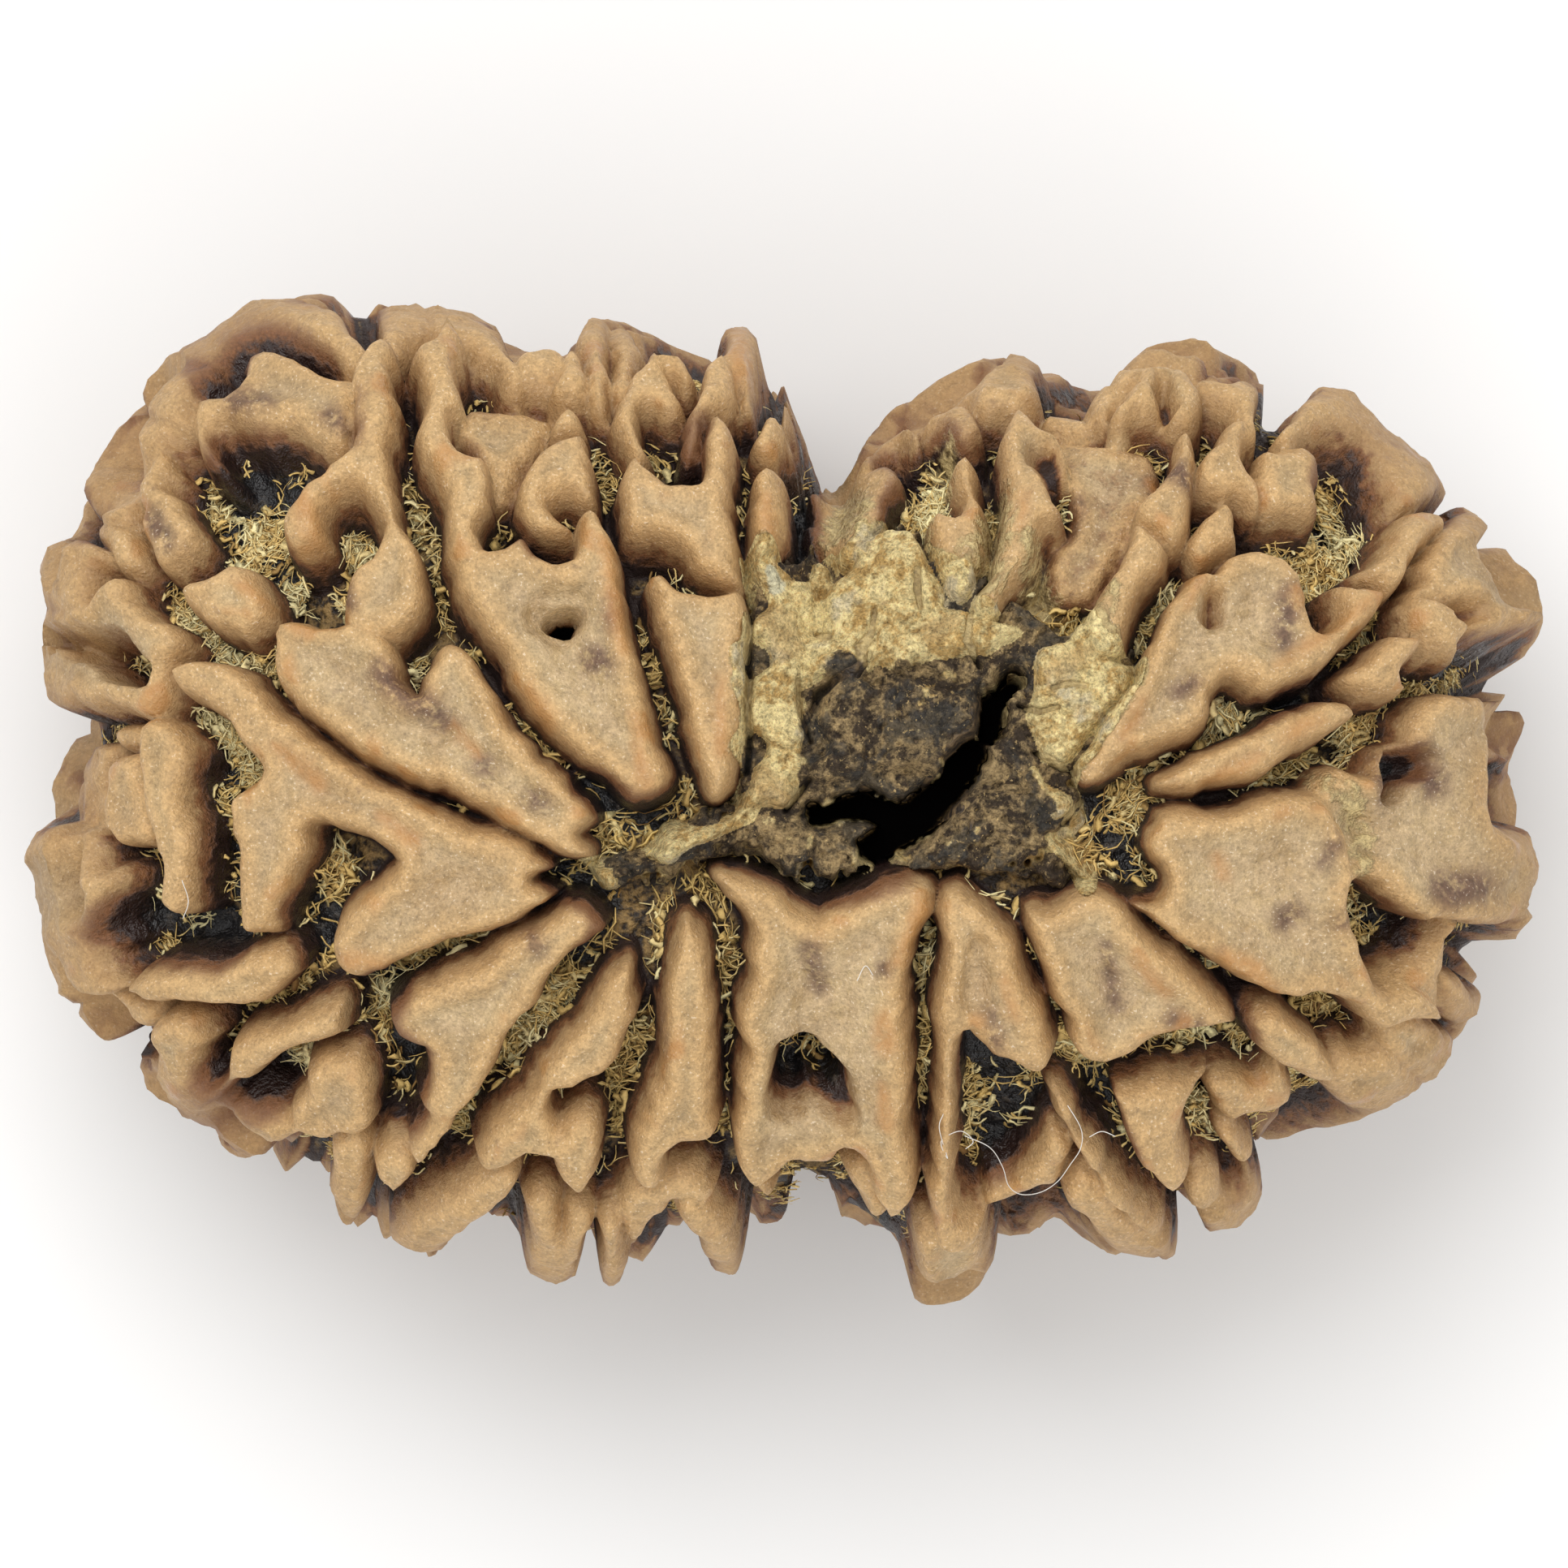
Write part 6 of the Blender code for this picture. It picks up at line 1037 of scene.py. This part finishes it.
def crust_sheet():
    """Crust on a square grid over the scar: the stone's own height plus domes of three sizes where there is
    pulp, and under the stone's skin where there is none. A fan below closes it."""
    across = np.arange(CRUST_LEFT, CRUST_RIGHT, CRUST_STEP)
    along = np.arange(CRUST_LOW, CRUST_TOP, CRUST_STEP)
    x, y = [side.ravel() for side in np.meshgrid(across, along)]
    crest = plan_crest(x, y)
    height, marks = relief(crest)
    ragged = 0.5 * wander(crest, 0.45, SEED + 35) + 0.35 * wander(crest, 0.17, SEED + 36)
    marks["pit"] = np.clip(marks["pit"] * (1 + 4 * ragged * (1 - marks["pit"])), 0, 1)
    # The bed: pulp that fills the grooves round the scar, with a ragged shore
    shore = depth_inside(x, y, smooth_loop(BED)) + 0.5 * wander(crest, 1.1, SEED + 37) + 0.5 * ragged
    bed = eased(shore / 0.7 + 0.5) * (1 - marks["pit"])
    bedded = (1 - BED_DEPTH / GROOVE_DEPTH) * bed
    marks["mound"] = np.where(bedded > height, bed, marks["mound"])
    marks["pulp"] = np.where(bedded > height, marks["pulp"] * 0.6, marks["pulp"])
    height = np.maximum(height, bedded)
    marks["mound"] = np.clip(marks["mound"] + ragged * (marks["mound"] > 0.02), 0, 1)
    cover = np.maximum(marks["pulp"], marks["mound"]) * (1 - eased((marks["edge"] - 0.1) / 0.3) * (1 - bed))
    # Grains, flakes and cracks on it
    bend = 0.25 * wander(crest, 0.8, SEED + 30)
    grains, tones = 0, 0
    for size, tall, seed in zip(GRAIN_SIZES, GRAIN_HEIGHTS, (31, 32, 33)):
        dome, tone = pebbles(x + bend, y - bend, size, SEED + seed)
        grains = grains + tall * (dome - 0.45)
        tones = tones + tone * tall
    heap = 1 + 0.5 * marks["mound"]
    flakes = FLAKE_HEIGHT * np.abs(wander(crest, 0.55, SEED + 34))
    glaze = painted(x, y, GLAZE, 0.3)
    crack = painted(x + 0.3 * bend, y + 0.3 * bend, CRACKS, 0.12)
    lift = (grains * heap * (1 - 0.75 * glaze) + flakes - CRACK_DEPTH * crack) / GROOVE_DEPTH
    edge = eased((cover - 0.12) / 0.3) * (1 - marks["pit"])
    height = height + edge * (lift + CRUST_PROUD) - (1 - edge) * CRUST_HIDDEN
    quads, rim, fan = sheet_faces(len(across), len(along))
    height[rim] = PIT_FLOOR
    place = on_stone(sunk_skin(crest, height))
    root = place[rim].mean(0) - [0, 0, ROOT_DEPTH]
    masks = {"mound": marks["mound"], "pulp": marks["pulp"], "pit": marks["pit"], "grains": grains * 2 + 0.5,
             "tone": tones / sum(GRAIN_HEIGHTS), "wax": painted(x, y, WAX, 0.25), "glaze": glaze,
             "crack": crack}
    masks = {key: np.append(values, 0) for key, values in masks.items()}
    return piece_of("dried_pulp", np.vstack([place, root]), (quads, fan), masks)


KHAKI_DEEP, KHAKI, PALE_CRUST = srgb(196, 160, 98), srgb(246, 224, 162), srgb(222, 206, 168)
GUM, WAX_SPOT, DUSTY_GREY = srgb(196, 166, 114), srgb(216, 208, 174), srgb(72, 70, 66)
HEAP_DARK, HEAP_CRUMB, HEAP_BRIGHT = srgb(70, 58, 46), srgb(178, 152, 108), srgb(206, 176, 122)
GRAIN_SHADOW, CRACK_SHADE_BLACK = srgb(96, 74, 46), srgb(30, 24, 18)
CRUST_BUMP = 0.00013


def pulp_material():
    """Dried pulp: khaki crust with pale, waxy spots and grey dust; the heap in the scar is dark brown with
    lighter crumbs; a painted shadow lies between the grains, and cracks and holes are painted near black as
    shade."""
    material, tree, shader = new_material("dried_pulp")
    where = put(tree, "ShaderNodeTexCoord").outputs["Object"]
    tone, grit = grain(where, 0.07, 0.60)
    patches, specks = noise(where, 1.4, 3.0, 0.6), noise(where, 0.16, 5.0, 0.7)
    half = less(specks, 0.5)
    own = plus(times(mark(tree, "tone"), 0.35), specks)
    khaki = mixed(span(own, 0.25, 0.65), KHAKI_DEEP, KHAKI)
    khaki = mixed(span(patches, 0.56, 0.68), khaki, PALE_CRUST)
    khaki = mixed(times(mark(tree, "glaze"), 0.7), khaki, GUM)
    khaki = mixed(span(plus(mark(tree, "wax"), half), 0.3, 0.7), khaki, WAX_SPOT)
    crumbs = mixed(span(own, 0.34, 0.70), HEAP_DARK, HEAP_CRUMB)
    crumbs = mixed(times(span(patches, 0.50, 0.60), 0.75), crumbs, DUSTY_GREY)
    bright = span(noise(where, 0.13, 2.0, 0.6), 0.63, 0.70)
    crumbs = mixed(times(bright, 0.8), crumbs, HEAP_BRIGHT)
    heap = span(plus(mark(tree, "mound"), half), 0.35, 0.6)
    colour = mixed(heap, khaki, crumbs)
    low = span(mark(tree, "grains"), 0.45, 0.12)
    colour = mixed(times(low, 0.4), colour, GRAIN_SHADOW)
    # Cracks painted near black as shade
    colour = mixed(times(mark(tree, "crack"), 0.9), toned(colour, tone), CRACK_SHADE_BLACK)
    # Holes painted near black as shade
    hole_shade = span(plus(mark(tree, "pit"), times(half, 0.4)), 0.2, 0.5)
    colour = mixed(hole_shade, colour, PIT_SHADE_BLACK)
    gloss = times(mark(tree, "glaze"), -0.45)
    feed(shader, Base_Color=colour, Roughness=plus(span(specks, 0.3, 0.7, 0.95, 0.7), gloss),
         Specular_IOR_Level=span(mark(tree, "pit"), 0.1, 0.4, 0.3, 0.0))
    bumped(shader, 1.0, CRUST_BUMP, plus(grit, times(specks, 1.5)))
    return material


crust = crust_sheet()
crust.data.materials.append(pulp_material())
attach(crust, "root")

# The straw in the grooves
# Torn fibres of the fruit's flesh, dry and straw-coloured, matted in the grooves and hollows between the
# ribs: curled threads and short flat flakes. They stick where they dried, so they sit on the groove floor.
NEAR_STRANDS, FAR_STRANDS, STRAND_RINGS, STRAND_THICKNESS = 7300, 4200, 5, 0.30
THREAD_LENGTHS, THREAD_WIDTHS, THREAD_SHARE = (0.30, 1.0), (0.03, 0.065), 0.5
FLAKE_LENGTHS, FLAKE_WIDTHS = (0.15, 0.55), (0.06, 0.20)
TUFT_SIZE, TUFT_TURN, HEAP_LIFT, DARK_SHARE = 0.9, 2.2, 0.35, 0.3
BOX_ROOM, RIM_SHARE, NEAR_ABOVE = 0.02, 0.93, 9.5
STRAW_HEAPS = [
    [-10.6, 6.7, .4, -10.2, 6.4, .4], [-12.1, 5.5, .4, -11.1, 5, .5, -10.4, 4.9, .3],
    [-14, 7.7, .4, -13.6, 7.3, .3], [-14, 6.2, .35, -13.7, 5.9, .3], [-12.3, 7.6, .3, -12.1, 7.1, .3],
    [-15.2, 5, .4, -14.2, 4.2, .4, -13, 3.8, .4], [-11.8, 4.4, .3, -11, 4.5, .3],
    [-9.5, 3.2, .45, -8.7, 3, .35], [-14.6, 2.5, .4, -13.8, 1.6, .35, -13.4, .8, .35],
    [-16.3, 3.7, .35, -15.7, 3.2, .3], [-16.3, -2.7, .4, -15, -3.3, .45, -14.3, -3, .3],
    [-10.8, -1.2, .35, -10, -2.2, .4], [-5.4, 6.7, .4, -5, 7.1, .3], [-2.7, 5.7, .35, -2.1, 5.4, .35],
    [-5.2, 9.7, .4, -4.9, 9.2, .3], [3.3, 8.8, .3, 3.5, 7.6, .35, 3.2, 6.6, .3],
    [6.4, 8, .35, 6.7, 7.5, .25], [10.2, 2.3, .3, 11.2, 2.2, .4, 12.3, 1.9, .35],
    [13.6, 1.7, .4, 13.9, 1.2, .3], [13.7, -2.6, .45, 14, -3.2, .35], [12.7, 7.6, .5, 14.2, 6.9, .5],
    [8.6, 6, .4, 8.9, 5.5, .3], [12, 4.9, .3, 12.6, 4.4, .3], [9.4, -6, .4, 10.2, -5.8, .4],
    [6.8, -6.1, .35, 7.6, -6.3, .3], [4.4, -2.1, .3, 5.3, -2.9, .3], [.2, -6.7, .3, 1, -6.3, .3],
    [-9.9, -5, .35, -9.4, -4.6, .3], [-6.2, -5.9, .35, -5.6, -5.2, .3],
    [-4.8, -8.2, .35, -5.4, -7.4, .35], [-2.6, -9, .35, -2.8, -8.3, .3],
    [-12.1, -6.9, .4, -11.3, -6.3, .35], [4.7, -8.6, .3, 5.6, -8, .35], [10.3, -8.7, .35, 9.8, -7.8, .35],
    [-7.6, 7.7, .3, -7.2, 8.6, .3], [-11.1, 2.4, .3, -9.4, 1.4, .3], [14.9, -.3, .3, 14.4, -.9, .3]]


def strands(base, up, along, length, width, blunt, draw):
    """Flat, twisted strands: from the middle of each, a path runs both ways along its direction, swings
    aside with the square of the way and arches up; three corners go round it, ragged along it and thinner at
    both ends: blunt on a flake, fine on a thread."""
    many = len(base)
    s = np.linspace(-0.5, 0.5, STRAND_RINGS)[None, :, None]
    along = along - up * (along * up).sum(1)[:, None]
    along /= np.linalg.norm(along, axis=1)[:, None] + 1e-9
    side = np.cross(up, along)
    swing, tilt = draw.normal(0, 0.7, (many, 1, 1)), draw.normal(0, 0.20, (many, 1, 1))
    arch, curl = draw.uniform(0.0, 0.4, (many, 1, 1)), draw.normal(0, 1.4, (many, 1, 1))
    size = length[:, None, None]
    aside = swing * s ** 2 + curl * s ** 3
    path = (base[:, None] + along[:, None] * size * s + side[:, None] * size * aside
            + up[:, None] * size * (tilt * s + arch * (0.25 - s ** 2)))
    ahead = np.gradient(path, axis=1)
    ahead /= np.linalg.norm(ahead, axis=2)[..., None] + 1e-9
    flat = np.cross(ahead, np.broadcast_to(up[:, None], path.shape))
    flat /= np.linalg.norm(flat, axis=2)[..., None] + 1e-9
    thick = np.cross(flat, ahead)
    twist = draw.normal(0, 0.6, (many, 1)) + draw.normal(0, 0.9, (many, 1)) * s[..., 0]
    taper = blunt[:, None] + (1 - blunt[:, None]) * np.cos(math.pi * s[..., 0] * 0.96)
    taper = taper * draw.uniform(0.5, 1.4, taper.shape)
    rings = []
    for corner in range(3):
        turn = twist + corner * 2 * math.pi / 3
        out = np.cos(turn)[..., None] * flat + STRAND_THICKNESS * np.sin(turn)[..., None] * thick
        rings.append(path + out * (width[:, None] * taper / 2)[..., None])
    return np.stack(rings, 2).reshape(-1, 3)


def tube_faces(many, rings, corners):
    """Corner numbers of many tubes' sides and of the faces that close their ends."""
    turn = np.arange(corners)
    after = (turn + 1) % corners
    start = np.arange(many)[:, None, None] * rings * corners
    ring = start + np.arange(rings - 1)[None, :, None] * corners
    sides = np.stack([ring + turn, ring + after, ring + corners + after, ring + corners + turn], 3)
    first = start[:, 0] + turn[::-1]
    last = start[:, 0] + (rings - 1) * corners + turn
    return sides.reshape(-1, 4), np.concatenate([first, last])


def straw_piece(name, weight, many, seed):
    """Strands on places of the skin drawn by weight, more along the groove than across it."""
    draw = np.random.default_rng(seed)
    at = draw.choice(len(weight), many, p=weight / weight.sum())
    base, up, heaped = skin["place"][at], skin["up"][at], skin["heaped"][at]
    level = np.abs(up[:, 2])
    groove = np.stack([base[:, 0], base[:, 1], base[:, 2] * 0 - 2.0], 1)
    groove /= np.linalg.norm(groove, axis=1)[:, None]
    turn = (TUFT_TURN * wander(base, TUFT_SIZE, SEED + 46) + draw.normal(0, 0.7, many))[:, None]
    along = np.cos(turn) * groove + np.sin(turn) * np.cross(up, groove) + up * draw.normal(0, 0.2, (many, 1))
    thread = draw.random(many) < THREAD_SHARE
    length = np.where(thread, draw.uniform(*THREAD_LENGTHS, many), draw.uniform(*FLAKE_LENGTHS, many))
    length *= 0.55 + 0.45 * level
    thread_width = draw.uniform(*THREAD_WIDTHS, many)
    flake_width = FLAKE_WIDTHS[0] + FLAKE_WIDTHS[1] * draw.random(many) ** 3
    width = np.where(thread, thread_width, flake_width)
    lift = draw.uniform(-0.02, 0.30, many) + HEAP_LIFT * heaped * draw.random(many)
    base = base + up * (lift * (0.3 + 0.7 * level))[:, None]
    place = strands(base, up, along, length, width, np.where(thread, 0.6, 0.9), draw)
    low, high = [np.array(corner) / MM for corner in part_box("rudraksha_nut")]
    place = np.clip(place, low + BOX_ROOM, high - BOX_ROOM)
    lit = wander(base, TUFT_SIZE, SEED + 47)
    own = np.where(draw.random(many) < DARK_SHARE, 0.12, 0.35) + 0.40 * draw.random(many)
    own = own + 0.15 * lit + 0.25 * heaped
    faces = tube_faces(many, STRAND_RINGS, 3)
    return piece_of(name, place, faces, {"own": np.repeat(own, STRAND_RINGS * 3)})


STRAW_DEEP, STRAW = srgb(144, 108, 60), srgb(240, 204, 126)
STRAW_PALE, STRAW_GREEN = srgb(255, 242, 184), srgb(176, 162, 96)
STRAW_BUMP = 0.00003


def straw_material():
    """Dry fibre: from dark khaki through straw to pale cream, one tone to a strand, streaked and matt."""
    material, tree, shader = new_material("dry_straw")
    where = put(tree, "ShaderNodeTexCoord").outputs["Object"]
    tone, grit = grain(where, 0.06, 0.22)
    own = mark(tree, "own")
    colour = mixed(span(own, 0.10, 0.45), STRAW_DEEP, STRAW)
    colour = mixed(span(own, 0.45, 0.85), colour, STRAW_PALE)
    greenish = span(noise(where, 3.0, 1.0, 0.5), 0.56, 0.66)
    colour = mixed(times(greenish, 0.2), colour, STRAW_GREEN)
    feed(shader, Base_Color=toned(colour, tone), Roughness=span(grit, 0.3, 0.7, 0.6, 0.85))
    shader.inputs["Specular IOR Level"].default_value = 0.35
    bumped(shader, 0.5, STRAW_BUMP, grit)
    return material


# Straw keeps to the floor, leaves the dark hollows barer, and never lies on crust, in holes or on the rim
skin["heaped"] = painted(skin["x"], skin["y"], STRAW_HEAPS, 0.5) * skin["front"]
grid_area = np.linalg.norm(skin["place"][:, :2], axis=1) / 12 + 0.02
low_down = eased((0.36 - skin["height"]) / 0.16)
clumps = eased(0.60 + 1.5 * wander(skin["place"], 0.9, SEED + 45))
on_bed = eased(depth_inside(skin["x"], skin["y"], smooth_loop(BED)) / 0.6 + 0.8) * skin["front"]
in_gaps = painted(skin["x"], skin["y"], [line for _, line in GAPS], 0.3)
way_out = np.hypot(skin["place"][:, 0], skin["place"][:, 1])
rim_here = RIM_SHARE * girdle_radius(np.arctan2(skin["place"][:, 1], skin["place"][:, 0]))
straw_weight = low_down * (1 - 0.95 * skin["hollow_dark"]) * clumps * (1 - skin["pulp"]) * (1 - skin["mound"])
straw_weight = straw_weight * (1 - skin["pit"]) ** 3 * (0.25 + 0.75 * skin["front"])
straw_weight = straw_weight * (1 + 2.2 * skin["heaped"]) * grid_area
straw_weight = straw_weight * (1 - on_bed) * (1 - in_gaps) * (way_out < rim_here)
dry_straw = straw_material()
near_half, left_seed = skin["place"][:, 2] > NEAR_ABOVE, skin["place"][:, 0] < 0
for name, part, strand_count, seed in (
        ("straw_near_left", near_half & left_seed, NEAR_STRANDS, SEED + 40),
        ("straw_near_right", near_half & ~left_seed, NEAR_STRANDS, SEED + 42),
        ("straw_far_side", ~near_half, FAR_STRANDS, SEED + 41)):
    straw = straw_piece(name, straw_weight * part, strand_count, seed)
    straw.data.materials.append(dry_straw)
    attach(straw, "root")

# The fine hairs
# A few white plant hairs and lint fibres that the rough stone has caught: one long loop low on the right
# seed, and short ones near it. Each lies on the crests and spans the grooves between them.
HAIR_RADIUS, HAIR_LIFT, HAIR_STEPS, HAIR_SIDES, HAIR_BUMP = 0.010, 0.06, 10, 6, 0.00001
HAIRS = [
    [3.65, -7.25, 3.55, -7.6, 3.75, -8.3, 3.6, -7.9, 4.05, -7.66, 4.35, -7.9, 4.15, -8.1],
    [4.15, -7.77, 4.75, -8.05, 5.05, -8.5, 5.2, -8.95, 5.5, -9.15, 5.95, -9.1, 6.35, -8.85, 6.65, -8.45,
     6.9, -8.05, 6.9, -7.6, 6.55, -7],
    [7.1, -7.8, 7.4, -7.67, 7.75, -7.8], [1.6, -4.15, 1.8, -3.8, 2, -4.05],
    [-14.35, -1.8, -14.2, -2.3, -14.35, -2.75]]


def hair(numbers):
    """A thin round thread along a smooth open curve through plan points, on the skin over all crests."""
    mid = np.array(numbers, float).reshape(-1, 2)
    mid = np.vstack([2 * mid[0] - mid[1], mid, 2 * mid[-1] - mid[-2]])
    line = curve_through(*[mid[k:len(mid) - 3 + k] for k in range(4)], HAIR_STEPS)
    path = plan_crest(line[:, 0], line[:, 1])
    path = on_stone(path + outward(path) * HAIR_LIFT)
    ahead = np.gradient(path, axis=0)
    ahead /= np.linalg.norm(ahead, axis=1)[:, None]
    side = np.cross(ahead, [0, 0, 1.0])
    side /= np.linalg.norm(side, axis=1)[:, None]
    above = np.cross(side, ahead)
    turn = np.arange(HAIR_SIDES) * 2 * math.pi / HAIR_SIDES
    ring = np.cos(turn)[None, :, None] * side[:, None] + np.sin(turn)[None, :, None] * above[:, None]
    return (path[:, None] + ring * HAIR_RADIUS).reshape(-1, 3), len(path)


def hair_piece():
    """All hairs in one mesh: six-sided tubes with closed ends."""
    places, sides, ends, start = [], [], [], 0
    for numbers in HAIRS:
        place, rings = hair(numbers)
        side, end = tube_faces(1, rings, HAIR_SIDES)
        sides.append(start + side)
        ends.append(start + end)
        places.append(place)
        start += len(place)
    return piece_of("fine_hairs", np.vstack(places), (np.vstack(sides), np.vstack(ends)), {})


def hair_material():
    """Lint: off-white with a faint change of tone along it."""
    material, tree, shader = new_material("white_hair")
    where = put(tree, "ShaderNodeTexCoord").outputs["Object"]
    tone = noise(where, 0.4, 2.0, 0.5)
    feed(shader, Base_Color=mixed(tone, srgb(214, 208, 198), srgb(246, 244, 240)),
         Roughness=span(tone, 0.3, 0.7, 0.30, 0.5))
    bumped(shader, 0.3, HAIR_BUMP, tone)
    return material


hairs = hair_piece()
hairs.data.materials.append(hair_material())
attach(hairs, "root")

# The floor, the light and the camera
# Not part of the nut: a matt pale table, a soft white room with one large light behind the top edge, and a
# long lens straight above the scar, as the nut was seen.
FRAME_WIDTH, LENS_AWAY = 0.037134, 1.2
FLOOR_REACH, FLOOR_WHITE = 3, (0.90, 0.90, 0.90, 1)
floor_mesh = bpy.data.meshes.new("floor")
floor_corners = [(FLOOR_REACH * x, FLOOR_REACH * y, 0) for x, y in ((-1, -1), (1, -1), (1, 1), (-1, 1))]
floor_mesh.from_pydata(floor_corners, [], [(0, 1, 2, 3)])
floor = bpy.data.objects.new("floor", floor_mesh)
bpy.context.scene.collection.objects.link(floor)
pale, _, pale_shader = new_material("pale_floor")
pale_shader.inputs["Base Color"].default_value = FLOOR_WHITE
pale_shader.inputs["Roughness"].default_value = 0.9
pale_shader.inputs["Specular IOR Level"].default_value = 0.1
floor_mesh.materials.append(pale)

room = bpy.data.worlds.new("soft_room")
room.use_nodes = True
room.node_tree.nodes["Background"].inputs["Color"].default_value = (1, 0.995, 0.985, 1)
room.node_tree.nodes["Background"].inputs["Strength"].default_value = 0.80
bpy.context.scene.world = room


def soft_light(name, place, aim, size, power):
    """A square area light that faces a point, not itself seen."""
    lamp = bpy.data.lights.new(name, "AREA")
    lamp.size, lamp.energy = size, power
    holder = bpy.data.objects.new(name, lamp)
    bpy.context.scene.collection.objects.link(holder)
    holder.location = place
    away = Vector(place) - Vector(aim)
    holder.rotation_euler = away.to_track_quat("Z", "Y").to_euler()
    holder.visible_camera = False


soft_light("top_light", (-0.09, 0.20, 0.46), (0, 0, 0.01), 0.30, 1.25)
soft_light("front_fill", (0.12, -0.30, 0.40), (0, 0, 0.01), 0.35, 0.35)

lens = bpy.data.cameras.new("camera")
lens.sensor_width = 36.0
lens.lens = 36.0 * LENS_AWAY / FRAME_WIDTH
lens.clip_end = 20
camera = bpy.data.objects.new("camera", lens)
bpy.context.scene.collection.objects.link(camera)
camera.location = (-0.00001, 0.000365, 0.0097 + LENS_AWAY)
bpy.context.scene.camera = camera
bpy.context.scene.view_settings.view_transform = "Standard"
